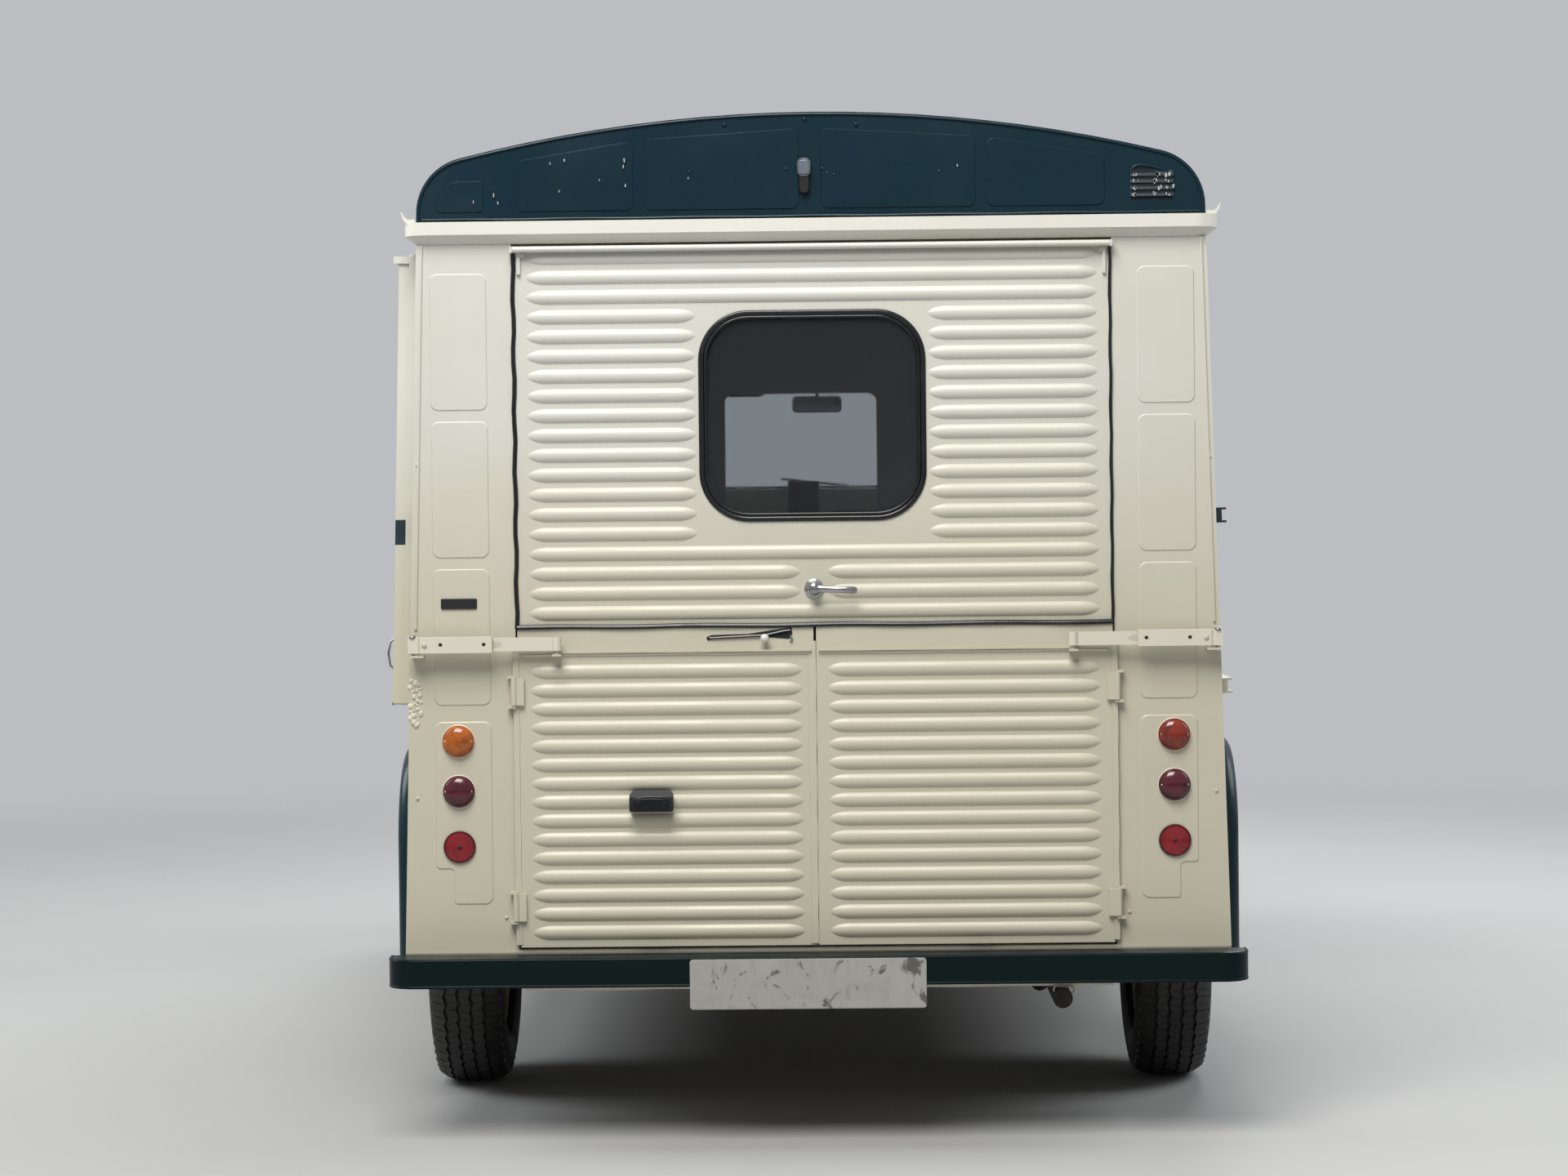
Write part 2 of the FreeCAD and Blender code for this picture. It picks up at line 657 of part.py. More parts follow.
def wall_body(name, side):
    """A side wall in its own leaning frame: x out from the outer face, z up the wall."""
    wall = Body(name)
    wall.pad("YZ", ZERO if side < 0 else -S.panel, S.panel if side < 0 else ZERO,
             rectangle(-S.body_rear + S.panel, S.cab_door_front,
                       S.floor_high + S.seat_gap + S.panel * tangent(S.side_lean), S.gutter_low))
    low, high = (-S.gap, S.panel + S.gap) if side < 0 else (-S.panel - S.gap, S.gap)
    door_rear = S.cab_door_rear - S.gap
    past = S.cab_door_front + S.gap
    wall.pocket("YZ", low, high,
                rectangle(door_rear, past, S.cab_door_low - S.gap, S.cab_door_top + S.gap))
    wall.pocket("YZ", low, high, (S.front_axle_at, S.tyre_round, S.wheel_opening + S.arch_rim + S.seat_gap))
    rear, front = -S.rear_axle_at - S.arch_half, -S.rear_axle_at + S.arch_half
    around = S.seat_gap * 2 + S.panel * tangent(S.side_lean)
    wall.pocket("YZ", low, high,
                [(rear - around, S.floor_high - S.gap), (front + around, S.floor_high - S.gap),
                 (front + around, S.arch_high + around, S.arch_round + around),
                 (rear - around, S.arch_high + around, S.arch_round + around)])
    return wall, low, high


def lean(thing, side):
    """Stand a piece that is drawn upright against the leaning left or right side."""
    return place(thing, S.foot_half * side, ZERO, ZERO, (0, 1, 0), S.side_lean * -side)


def side_rows(low, high):
    """The first row of side ribs at or above a height, and how many fit below another height."""
    step, base = float(S.side_rib_step), float(S.side_rib_low)
    half = float(S.rib_tall) / 2
    first = max(0, math.ceil((float(low) + half - base) / step))
    last = math.floor((float(high) - half - base) / step)
    return first, last - first + 1


def side_ribs(body, face, side, *fields):
    """Ribs on a side, in fields given as start, end, bottom and top."""
    for start, end, low, high in fields:
        first, count = side_rows(low, high)
        if count > 0:
            body.ribs("YZ", face, side, start, end, S.side_rib_low + S.side_rib_step * first, S.side_rib_step,
                      count)


def make_walls():
    """Left wall with the serving opening, right wall with the side door opening."""
    rear, door = -S.body_rear + S.panel + S.side_rib_end, S.cab_door_rear - S.gap - S.side_rib_end
    arch_rear = -S.rear_axle_at - S.arch_half - S.side_rib_end * 2
    arch_front = -S.rear_axle_at + S.arch_half + S.side_rib_end * 2
    arch_top = S.arch_high + S.side_rib_end * 2
    sill = S.floor_high + S.side_rib_end
    left, low, high = wall_body("wall_left", -1)
    left.pocket("YZ", low, high,
                rectangle(-S.hatch_rear + S.hatch_rim, S.hatch_front - S.hatch_rim,
                          S.hatch_low + S.hatch_rim, S.hatch_top - S.hatch_rim, S.hatch_rim))
    under = S.hatch_low - S.side_rib_end / 2
    beside = S.hatch_front + S.side_rib_end
    side_ribs(left, ZERO, -1, (rear, arch_rear, sill, arch_top), (arch_front, door, sill, arch_top),
              (rear, door, arch_top, under), (beside, door, under, S.gutter_low - S.side_rib_end))
    keep("wall_left", lean(fuse("wall_left", left.body, *cab_hinge_pins("left", -1)), -1))
    right, low, high = wall_body("wall_right", 1)
    right.pocket("YZ", low, high, rectangle(-S.slide_rear, S.slide_front, S.slide_low, S.slide_top))
    rear_end = -S.slide_rear - S.slide_lap - S.side_rib_end
    side_ribs(right, ZERO, 1, (rear, arch_rear, sill, arch_top), (arch_front, rear_end, sill, arch_top),
              (rear, rear_end, arch_top, S.rail_low), (rear, rear_end, S.rail_low + S.rail_tall, S.rail_high),
              (rear, rear_end, S.rail_high + S.rail_tall, S.gutter_low - S.side_rib_end))
    keep("wall_right", lean(fuse("wall_right", right.body, *cab_hinge_pins("right", 1)), 1))


def emboss(body, face, shape):
    """A shallow panel with sloping sides, raised rearwards from a face."""
    panel = body.body.newObject("PartDesign::Pad", body.name + "_emboss")
    panel.Profile = body.sketch("XZ", face, shape)
    bind(panel, "Length", S.emboss)
    bind(panel, "TaperAngle", -S.emboss_slope)
    return panel


def leaf_hinges():
    """The lower end of each hinge barrel of a lower rear door."""
    return (("lower", S.leaf_low + S.hinge_tall), ("upper", S.stay_high - S.hinge_tall * 2))


def make_rear_frame():
    """Rear pillars and sill, with the rebate that the rear doors close against."""
    low_half, top_half = half_width(S.floor_high), half_width(S.gutter_low)
    face, inside = -S.body_rear, -S.body_rear + S.panel
    frame = Body("rear_frame")
    base = S.floor_high + S.seat_gap
    frame.pad("XZ", face, inside,
              [(-low_half, base), (low_half, base), (top_half, S.gutter_low), (-top_half, S.gutter_low)])
    rebate_half = S.opening_half + S.rebate_in
    frame.pad("XZ", inside, inside + S.panel, rectangle(-rebate_half, rebate_half, base, S.gutter_low))
    frame.pocket("XZ", face - S.gap, inside,
                 rectangle(-S.opening_half, S.opening_half, S.opening_low, S.gutter_low + S.gap))
    mouth = S.opening_half - S.rebate_in
    frame.pocket("XZ", inside - S.gap, inside + S.panel + S.gap,
                 rectangle(-mouth, mouth, S.opening_low + S.gap, S.gate_top - S.rebate_in))
    for sign in (-1, 1):
        inner, outer = S.emboss_in * sign, S.emboss_out * sign
        for row in range(3):
            high = S.emboss_top - (S.emboss_tall + S.emboss_gap) * row
            low = high - S.emboss_tall
            emboss(frame, face, [(inner, low, S.emboss_round), (outer, low, S.emboss_round),
                                 (outer, high, S.emboss_round), (inner, high, S.emboss_round)][::sign])
        low, high = S.foot_panel_low, S.emboss_top - (S.emboss_tall + S.emboss_gap) * 3 - S.emboss_gap / 2
        notch, step = (S.emboss_out - S.emboss_step) * sign, S.foot_panel_low + S.emboss_step * 2
        emboss(frame, face, [(inner, low, S.emboss_round), (notch, low, S.emboss_round / 2),
                             (notch, step, S.emboss_round / 2), (outer, step, S.emboss_round / 2),
                             (outer, high, S.emboss_round), (inner, high, S.emboss_round)][::sign])
    round_by = S.hinge_barrel
    gate_y, gate_z = -S.body_rear - S.gate_hinge_out, S.gate_top - S.gate_hinge_drop
    fixed = [frame.body, pin("gate_hinge", "x", S.leaf_half * 2, -S.leaf_half, gate_y, gate_z)]
    start = S.leaf_half + S.seat_gap
    for side, x0, x1 in (("left", -start - S.hinge_lug, -start), ("right", start, start + S.hinge_lug)):
        fixed.append(block("gate_hinge_lug_" + side, x0, x1, gate_y - round_by, face + S.gap,
                           gate_z - round_by, gate_z + round_by))
    for side, sign in (("left", -1), ("right", 1)):
        x, y = (S.leaf_half + S.leaf_hinge_side) * sign, face - S.leaf_hinge_out
        x0, x1 = (x - round_by * 2, x + S.hinge_pin) if sign < 0 else (x - S.hinge_pin, x + round_by * 2)
        for level, z in leaf_hinges():
            fixed.append(pin("leaf_hinge_%s_%s" % (side, level), "z", S.hinge_tall, x, y, z))
            for end, low in (("low", z - S.seat_gap - S.hinge_lug), ("high", z + S.hinge_tall + S.seat_gap)):
                fixed.append(block("leaf_lug_%s_%s_%s" % (side, level, end), x0, x1, y - S.hinge_pin,
                                   face + S.gap, low, low + S.hinge_lug))
    keep("rear_frame", fuse("rear_frame", *fixed))


def gutter_outline(offset, height):
    """The body's plan at a height, set out by an offset."""
    half = half_width(height, offset)
    rear, front = -S.body_rear - offset, S.front_face - S.brow_back + offset
    corner = S.skin + offset
    return [(half, rear, corner), (half, front, S.front_corner + offset),
            (-half, front, S.front_corner + offset), (-half, rear, corner)]


def make_gutter():
    """Rain gutter round the top of the walls, which the roof stands on."""
    out, lip = S.gutter_out, S.gutter_out - S.gutter_lip
    gutter = Body("rain_gutter")
    gutter.loft((S.gutter_low + S.seat_gap, gutter_outline(Term(1, "1"), S.gutter_low)),
                (S.gutter_step, gutter_outline(out, S.gutter_low)))
    gutter.pad("XY", S.gutter_step, S.gutter_top, gutter_outline(out, S.gutter_low))
    doc.recompute()
    half = half_width(S.gutter_low) - S.panel - S.skin
    front, rear = S.front_face - S.brow_back - S.panel - S.skin, -S.body_rear + S.panel + S.skin
    gutter.pocket("XY", S.gutter_low - S.gap, S.gutter_top + S.gap,
                  rectangle(-half, half, rear, front, S.panel + S.skin))
    gutter.pocket("XY", S.gutter_top - S.gutter_deep, S.gutter_top + S.gap,
                  gutter_outline(Term.of(lip), S.gutter_low), gutter_outline(S.seat_gap * 10, S.gutter_low))
    keep("rain_gutter", gutter.body)


def roof_form(name, inset):
    """The roof's outer form, or its inside, set in by a thickness."""
    base = S.gutter_top + S.seat_gap - (S.gap if inset is not ZERO else ZERO)
    crown, shoulder = S.crown_round - inset, S.shoulder_round - inset
    half, top = half_width(S.gutter_top) - inset, S.roof_high - inset
    rear, front = -S.body_rear + inset, S.front_face - S.brow_back - inset
    middle = S.roof_high - S.crown_round
    section = Body(name + "_section")
    sketch = section.sketch("XZ", rear)
    flank = half - shoulder
    reach = crown - shoulder
    rise = root(reach * reach - flank * flank)
    tilt = math.atan2(float(flank), float(rise))
    centre = V(float(flank), float(middle + rise), 0)
    top_spot = V(math.sin(tilt) * float(crown), float(middle) + math.cos(tilt) * float(crown), 0)
    right = Part.ArcOfCircle(Part.Circle(centre, V(0, 0, 1), float(shoulder)), 0, math.pi / 2 - tilt)
    left = Part.ArcOfCircle(Part.Circle(V(-centre.x, centre.y, 0), V(0, 0, 1), float(shoulder)),
                            math.pi / 2 + tilt, math.pi)
    over = Part.ArcOfCircle(Part.Circle(V(0, float(middle), 0), V(0, 0, 1), float(crown)),
                            math.pi / 2 - tilt, math.pi / 2 + tilt)
    foot, wide = float(base), float(half)
    lines = [Part.LineSegment(V(-wide, foot, 0), V(wide, foot, 0)),
             Part.LineSegment(V(wide, foot, 0), V(wide, centre.y, 0)),
             Part.LineSegment(V(-wide, centre.y, 0), V(-wide, foot, 0))]
    sketch.addGeometry(lines + [right, over, left], False)
    bottom, side_right, side_left, arc_right, arc_over, arc_left = range(6)
    sketch.addConstraint([
        Sketcher.Constraint("Coincident", bottom, 2, side_right, 1),
        Sketcher.Constraint("Coincident", side_left, 2, bottom, 1),
        Sketcher.Constraint("Vertical", side_right),
        Sketcher.Constraint("Vertical", side_left),
        Sketcher.Constraint("Tangent", side_right, 2, arc_right, 1),
        Sketcher.Constraint("Tangent", arc_right, 2, arc_over, 1),
        Sketcher.Constraint("Tangent", arc_over, 2, arc_left, 1),
        Sketcher.Constraint("Tangent", arc_left, 2, side_left, 1),
    ])
    size_sketch(sketch, [("DistanceX", (-1, 1, bottom, 1), -half), ("DistanceX", (-1, 1, bottom, 2), half),
                         ("DistanceY", (-1, 1, bottom, 1), base), ("DistanceY", (-1, 1, bottom, 2), base),
                         ("Radius", (arc_right,), shoulder), ("Radius", (arc_left,), shoulder),
                         ("Radius", (arc_over,), crown), ("DistanceY", (-1, 1, arc_over, 3), middle)])
    feature = section.body.newObject("PartDesign::Pad", name + "_length")
    feature.Profile = sketch
    feature.Reversed = True
    bind(feature, "Length", front - rear)
    profile = Body(name + "_profile")
    profile.pad("YZ", -half - S.gap, half + S.gap,
                [(rear, base), (front, base), (front, top, S.brow_round - inset), (rear, top)])
    plan = Body(name + "_plan")
    corner = S.front_corner - inset
    plan.pad("XY", base, top + S.gap,
             [(-half, rear), (half, rear), (half, front, corner), (-half, front, corner)])
    return common(name, section.body, profile.body, plan.body)


def make_roof():
    """Roof shell, arched from side to side and rounded down to the windscreen."""
    shell = cut("roof_hollow", roof_form("roof_outside", ZERO), roof_form("roof_inside", S.skin))
    face, rim, corner = -S.body_rear, S.emboss_round * 2, S.emboss_round
    low = S.gutter_top + S.emboss_round * 1.2
    middle, seam = S.emboss_round * 1.3, S.opening_half * 0.57
    end, last = S.opening_half - S.emboss_round * 0.7, S.emboss_out - S.emboss_round

    def under_crown(across):
        """A height that stays below the crown's edge at a place across the roof."""
        return S.roof_high - S.crown_round - rim + root(S.crown_round * S.crown_round - across * across)

    things = [shell]
    for label, near, far in (("inner", middle, seam - middle / 2), ("outer", seam + middle / 2, end)):
        for side, sign in (("left", -1), ("right", 1)):
            panel = Body("roof_panel_%s_%s" % (label, side))
            emboss(panel, face, [(near * sign, low, corner), (far * sign, low, corner),
                                 (far * sign, under_crown(far), corner),
                                 (near * sign, under_crown(near), corner)][::sign])
            things.append(panel.body)
    corner_panel = Body("roof_panel_corner")
    start, high = end + S.emboss_round * 4, S.vent_low + S.louvre_tall * 4
    emboss(corner_panel, face, [(-last, low, corner / 2), (-start, low, corner / 2), (-start, high, corner / 2),
                                (-last, high, S.emboss_round * 3)])
    things.append(corner_panel.body)
    vent = Body("roof_vent")
    out, tall = S.emboss * 3, S.louvre_tall
    slot = vent.pad("YZ", S.vent_at - S.vent_half, S.vent_at + S.vent_half,
                    [(face, S.vent_low), (face, S.vent_low + tall), (face - out, S.vent_low)])
    doc.recompute()
    rows = vent.body.newObject("PartDesign::LinearPattern", "roof_vent_rows")
    rows.Originals = [slot]
    rows.Direction = (slot.Profile[0], ["V_Axis"])
    bind(rows, "Length", (tall + S.emboss) * 3)
    rows.Occurrences = 4
    vent.body.Tip = rows
    things.append(vent.body)
    keep("roof_shell", fuse("roof_shell", *things))


def cab_section(height, inset):
    """The cab's plan at a height, from behind the door posts to the front."""
    half = half_width(height, -inset)
    back = S.cab_door_front - S.skin * 2
    set_back = S.brow_back if height is S.gutter_low else ZERO
    front = S.front_face - set_back - inset
    corner = S.front_corner - inset
    return [(-half, back), (half, back), (half, front, corner), (-half, front, corner)]


def cab_form(name, inset):
    """The cab front's outer form, or its inside, set in by a thickness."""
    form = Body(name)
    low = S.nose_low if inset is ZERO else S.nose_low - S.gap
    sections = [(low, cab_section(S.floor_high, inset)), (S.rake_low, cab_section(S.rake_low, inset)),
                (S.gutter_low, cab_section(S.gutter_low, inset))]
    form.loft(*sections)
    return form


def rake(thing):
    """Lean a piece that is drawn upright back with the raked cab front."""
    angle = Term(math.degrees(math.atan2(float(S.brow_back), float(S.gutter_low - S.rake_low))),
                 "atan(Sizes.brow_back / (Sizes.gutter_low - Sizes.rake_low))")
    return place(thing, ZERO, S.front_face, S.rake_low, (1, 0, 0), angle)


def screen_outline(inset):
    """The windscreen's outline above the start of the rake, set in by a clearance."""
    return rectangle(-S.screen_half + inset, S.screen_half - inset, S.screen_low - S.rake_low + inset,
                     S.screen_top - S.rake_low - inset, S.screen_round - inset)


def make_cab_front():
    """Cab front with its posts, windscreen opening and the bulkhead behind the nose."""
    outer = cab_form("cab_outside", ZERO)
    inner = cab_form("cab_inside", S.panel)
    shell = cut("cab_shell", outer.body, inner.body)
    openings = Body("cab_openings")
    openings.pad("XZ", -S.panel * 2, S.gap, screen_outline(ZERO))
    rake(openings.body)
    wide = half_width(ZERO) + S.gap
    behind = block("cab_behind", -wide, wide, ZERO, S.cab_door_front, ZERO, S.roof_high)
    beside = S.wing_in - S.seat_gap
    corners = [block("cab_below_%s" % side, x0, x1, ZERO, S.front_face + S.gap, ZERO, S.cowl_low)
               for side, x0, x1 in (("left", -wide, -beside), ("right", beside, wide))]
    panel = cut("cab_panel", shell, fuse("cab_cuts", openings.body, behind, *corners))
    fixed = [panel]
    y, z = bonnet_hinge()
    for side, x in (("left", -S.bonnet_hinge_half), ("right", S.bonnet_hinge_half - S.hinge_tall)):
        fixed.append(pin("bonnet_hinge_" + side, "x", S.hinge_tall, x, y, z))
        for end, x0 in (("low", x - S.seat_gap - S.hinge_lug), ("high", x + S.hinge_tall + S.seat_gap)):
            fixed.append(block("bonnet_lug_%s_%s" % (side, end), x0, x0 + S.hinge_lug,
                               S.front_face - S.gap, y + S.hinge_pin, z - S.hinge_pin, z + S.hinge_pin))
    keep("cab_front", fuse("cab_front", *fixed))


def make_windscreen():
    """Windscreen pane, raked back with the cab front."""
    pane = Body("windscreen")
    pane.pad("XZ", -S.glass * 2, -S.glass, screen_outline(S.seat_gap))
    keep("windscreen", rake(pane.body))


# Nose, wings and arches

def nose_plan(inset, back):
    """The nose's plan: narrower towards the front, with rounded corners."""
    wide, slim, front = S.nose_wide - inset, S.nose_slim - inset, S.nose_front - inset
    corner = S.nose_round - inset
    return [(-wide, back), (wide, back), (slim, front, corner), (-slim, front, corner)]


def make_nose():
    """Lower part of the nose with the grille opening."""
    nose = Body("nose_shell")
    back = S.front_face + S.seat_gap
    nose.pad("XY", S.nose_low, S.nose_split, nose_plan(ZERO, back))
    nose.pocket("XY", S.nose_low - S.gap, S.nose_split + S.gap, nose_plan(S.skin, back - S.gap))
    deep = S.nose_front - S.skin - S.gap
    nose.pocket("XZ", deep, S.nose_front + S.gap,
                rectangle(-S.grille_half, S.grille_half, S.grille_low, S.grille_top, S.skin))
    keep("nose_shell", nose.body)


def make_grille():
    """Grille: a frame with level slats across it, set in the nose's opening."""
    grille = Body("grille")
    half, low, top = S.grille_half - S.seat_gap, S.grille_low + S.seat_gap, S.grille_top - S.seat_gap
    face, back = S.nose_front - S.slat_thick / 2, S.nose_front - S.skin
    rim = S.slat_thick * 1.5
    grille.pad("XZ", back, face, rectangle(-half, half, low, top, S.skin))
    grille.pocket("XZ", back - S.gap, face + S.gap,
                  rectangle(-half + rim, half - rim, low + rim, top - rim, S.skin - rim))
    count = int(float(S.slats))
    pitch = (top - low) / (S.slats + 1)
    for number in range(1, count + 1):
        middle = low + pitch * number
        thick = S.slat_thick / 2
        grille.pad("XZ", back, face - S.slat_thick / 2,
                   rectangle(-half + rim / 2, half - rim / 2, middle - thick, middle + thick))
    keep("grille", grille.body)


def bonnet_hinge():
    """The place of the bonnet's hinge axis."""
    return S.front_face + S.hinge_barrel + S.gap, S.bonnet_high + S.bonnet_hinge_up


def bonnet_form(name, inset):
    """The bonnet's outer form, or its inside, set in by a thickness."""
    form = Body(name)
    low = S.nose_split + S.gap - (S.gap if inset is not ZERO else ZERO)
    back = S.front_face + S.gap * 2
    form.pad("XY", low, S.bonnet_high - inset, nose_plan(inset, back - (ZERO if inset is ZERO else S.gap)))
    high, front = S.bonnet_high - inset, S.nose_front + S.gap
    far = S.nose_wide + S.gap
    form.pocket("YZ", -far, far, [(back - S.gap * 2, high), (front, high - S.bonnet_drop),
                                  (front, high + S.gap), (back - S.gap * 2, high + S.gap)])
    sharp = S.nose_front.number
    form.fillet(S.nose_round - inset,
                lambda spot, edge: spot.z > 1050 and edge.Length > 300 and spot.y > 1400 and spot.y < sharp + 5)
    return form


def make_bonnet():
    """Bonnet, hinged at the windscreen."""
    shell = cut("bonnet_shell", bonnet_form("bonnet_outside", ZERO).body,
                bonnet_form("bonnet_inside", S.skin).body)
    solids, bores = [shell], []
    y, z = bonnet_hinge()
    for side, x in (("left", -S.bonnet_hinge_half), ("right", S.bonnet_hinge_half - S.hinge_tall)):
        outer, bore = barrel("bonnet_hinge_" + side, "x", S.hinge_tall, x, y, z)
        solids += [outer, block("bonnet_tab_" + side, x, x + S.hinge_tall, y, y + S.panel,
                                S.bonnet_high - S.skin, z + S.gap / 2)]
        bores.append(bore)
    keep("bonnet", cut("bonnet", fuse("bonnet_form", *solids), fuse("bonnet_bores", *bores)))


def wing_form(name, inset):
    """A front wing's outer form, or its inside, set in by a thickness, on the right side."""
    hub, high = S.front_axle_at, S.tyre_round
    outer = S.wheel_opening + S.arch_rim - (S.arch_rim - S.seat_gap if inset is not ZERO else ZERO)
    low = S.wing_low if inset is ZERO else S.wing_low - S.skin
    rear, front, top = S.cab_door_front + inset, S.wing_front - inset, S.wing_top - inset
    step = S.cowl_low - S.wing_top + S.gap
    inner = S.wing_in - (S.gap if inset is not ZERO else ZERO)
    form = Body(name)
    form.pad("YZ", inner, S.wing_out - inset,
             [(rear, low), (front, low), (front, top, S.wing_round * 1.5 - inset),
              (rear, top, S.wing_round - inset)])
    form.pad("YZ", inner, S.wing_out - inset, (hub, high, outer))
    form.pocket("YZ", inner - S.gap, S.wing_out + S.gap,
                rectangle(hub - S.wheel_opening * 2, hub + S.wheel_opening * 2,
                          high - S.wheel_opening * 2, low))
    return form, step


def make_wings():
    """Front wings, open below and towards the nose, with round wheel openings."""
    outer, step = wing_form("wing_outside", ZERO)
    edge = S.wing_out.number
    outer.fillet(S.wing_round / 2, lambda spot, item: abs(spot.x - edge) < 0.01
                 and spot.z > S.wing_low.number + 1)
    inner, step = wing_form("wing_inside", S.skin)
    shell = cut("wing_shell", outer.body, inner.body)
    opening = rod("wing_opening", "x", S.wheel_opening, S.wing_out, S.wing_in - S.gap,
                  S.front_axle_at, S.tyre_round)
    right = cut("wing_right", shell, opening)
    keep("front_wings", pair("front_wings", right))


def make_rear_arches():
    """Rear wheel arches, boxed in inside the load space and open below."""
    arch = Body("rear_arch")
    hub = -S.rear_axle_at
    low = S.floor_low

    def outline(inset, base):
        rear, front, top = hub - S.arch_half + inset, hub + S.arch_half - inset, S.arch_high - inset
        return [(rear, base), (front, base), (front, top, S.arch_round - inset),
                (rear, top, S.arch_round - inset)]

    arch.pad("YZ", S.arch_in, S.arch_out, outline(ZERO, low))
    edge = S.arch_out.number
    arch.fillet(S.arch_rim, lambda spot, item: abs(spot.x - edge) < 0.01 and spot.z > low.number + 1)
    arch.pocket("YZ", S.arch_in + S.skin, S.arch_out - S.skin, outline(S.skin, low - S.gap))
    arch.pocket("YZ", S.arch_out - S.skin - S.gap, S.arch_out + S.gap, (hub, S.tyre_round, S.arch_opening))
    arch.pocket("YZ", S.arch_in - S.gap, S.arch_in + S.skin + S.gap, (hub, S.tyre_round, S.torsion_round * 3))
    keep("rear_wheel_arches", pair("rear_wheel_arches", arch.body))


# Bumpers, plates and lamps

def bumper(name, face, side, low):
    """A bumper channel whose ends wrap round the corners."""
    bar = Body(name)
    deep, half, corner = S.bumper_deep, S.bumper_half, S.bumper_wrap
    inner = face - deep * side
    rise = S.bumper_high - S.bumper_low

    def plan(inset, back):
        return [(-half + inset, back), (half - inset, back),
                (half - inset, face - inset * side, corner - inset),
                (-half + inset, face - inset * side, corner - inset)]

    bar.pad("XY", low, low + rise, plan(ZERO, inner))
    bar.pocket("XY", low - S.gap, low + rise - S.slat_thick, plan(S.slat_thick, inner - S.gap * side))
    return bar.body


def make_bumpers():
    """Front and rear bumpers, each with its two stays to the floor or the beams."""
    rear = bumper("bumper_rear", -S.half_length, -1, S.bumper_low)
    front = bumper("bumper_front", S.half_length, 1, S.bumper_low + S.front_bumper_rise)
    arms = []
    top = S.bumper_high - S.slat_thick
    for side, x0, x1 in (("left", -S.beam_out, -S.beam_in), ("right", S.beam_in, S.beam_out)):
        arms.append(block("bumper_arm_rear_" + side, x0, x1, -S.half_length + S.slat_thick,
                          -S.body_rear, S.bumper_low + S.gap, top))
        arms.append(block("bumper_arm_front_" + side, x0, x1, S.beam_front, S.half_length - S.slat_thick,
                          S.bumper_low + S.front_bumper_rise + S.gap, top))
    rear_bar = fuse("bumper_rear_bar", rear, arms[0], arms[2])
    front_bar = fuse("bumper_front_bar", front, arms[1], arms[3])
    keep("bumpers", compound("bumpers", [rear_bar, front_bar]))


def make_plates():
    """Blank number plates on the bumpers."""
    half, top = S.plate_wide / 2, S.plate_low + S.plate_tall
    shift, thick = -S.plate_shift, S.plate_thick
    rear = block("plate_rear", shift - half, shift + half, -S.half_length - thick - S.seat_gap,
                 -S.half_length - S.seat_gap, S.plate_low, top)
    rise = S.front_bumper_rise
    front = block("plate_front", -half, half, S.half_length + S.seat_gap,
                  S.half_length + S.seat_gap + thick, S.plate_low + rise, top + rise)
    keep("number_plates", compound("number_plates", [rear, front]))


def lamp(name, x, y, z, radius, proud, round_by, side):
    """A round lamp with a domed lens, facing back or forwards."""
    form = Body(name)
    form.revolve("XZ", ZERO, [(ZERO, ZERO), (radius, ZERO), (radius, proud, round_by), (ZERO, proud)])
    return place(form.body, x, y, z, (1, 0, 0), 90 if side < 0 else -90)


def make_rear_lamps():
    """Amber lamps, red lamps and flat reflectors on the rear pillars."""
    things = []
    face = -S.body_rear - S.emboss - S.seat_gap
    for label, high, proud in (("amber", S.amber_high, S.lamp_proud), ("red", S.red_high, S.lamp_proud),
                               ("reflector", S.reflector_high, S.lamp_proud / 3)):
        for side, sign in (("left", -1), ("right", 1)):
            things.append(lamp("lamp_%s_%s" % (label, side), S.lamp_half * sign, face, high,
                               S.lamp_round, proud, proud * 0.8, -1))
    cap = Body("lamp_roof")
    half = S.roof_lamp_high / 5
    cap.pad("XZ", -S.body_rear - S.lamp_proud, -S.body_rear - S.seat_gap,
            rectangle(-half, half, S.vent_low + S.emboss_round, S.vent_low + S.emboss_round + S.roof_lamp_high,
                      half * 0.8))
    things.append(cap.body)
    keep("rear_lamps", compound("rear_lamps", things))


def make_front_lamps():
    """Headlamps standing on the wings, and round direction lamps on the wings' fronts."""
    lamps = []
    high = S.wing_top + S.headlamp_round + S.seat_gap
    start = S.wing_front - S.headlamp_deep - S.wing_round
    for side, sign in (("left", -1), ("right", 1)):
        form = Body("headlamp_" + side)
        deep, big = S.headlamp_deep, S.headlamp_round
        form.revolve("XZ", ZERO, [(ZERO, ZERO), (big * 0.5, ZERO, big * 0.3), (big, deep * 0.55, big * 0.4),
                                  (big, deep, S.gap), (ZERO, deep + S.gap * 2)])
        lamps.append(place(form.body, S.headlamp_half * sign, start, high, (1, 0, 0), -90))
    keep("headlamps", compound("headlamps", lamps))
    turns = []
    for side, sign in (("left", -1), ("right", 1)):
        turns.append(lamp("turn_lamp_" + side, S.headlamp_half * 1.4 * sign, S.wing_front + S.seat_gap,
                          S.wing_top - S.wing_round * 3, S.lamp_round, S.lamp_proud, S.lamp_proud * 0.8, 1))
    keep("turn_lamps", compound("turn_lamps", turns))


# Rear doors

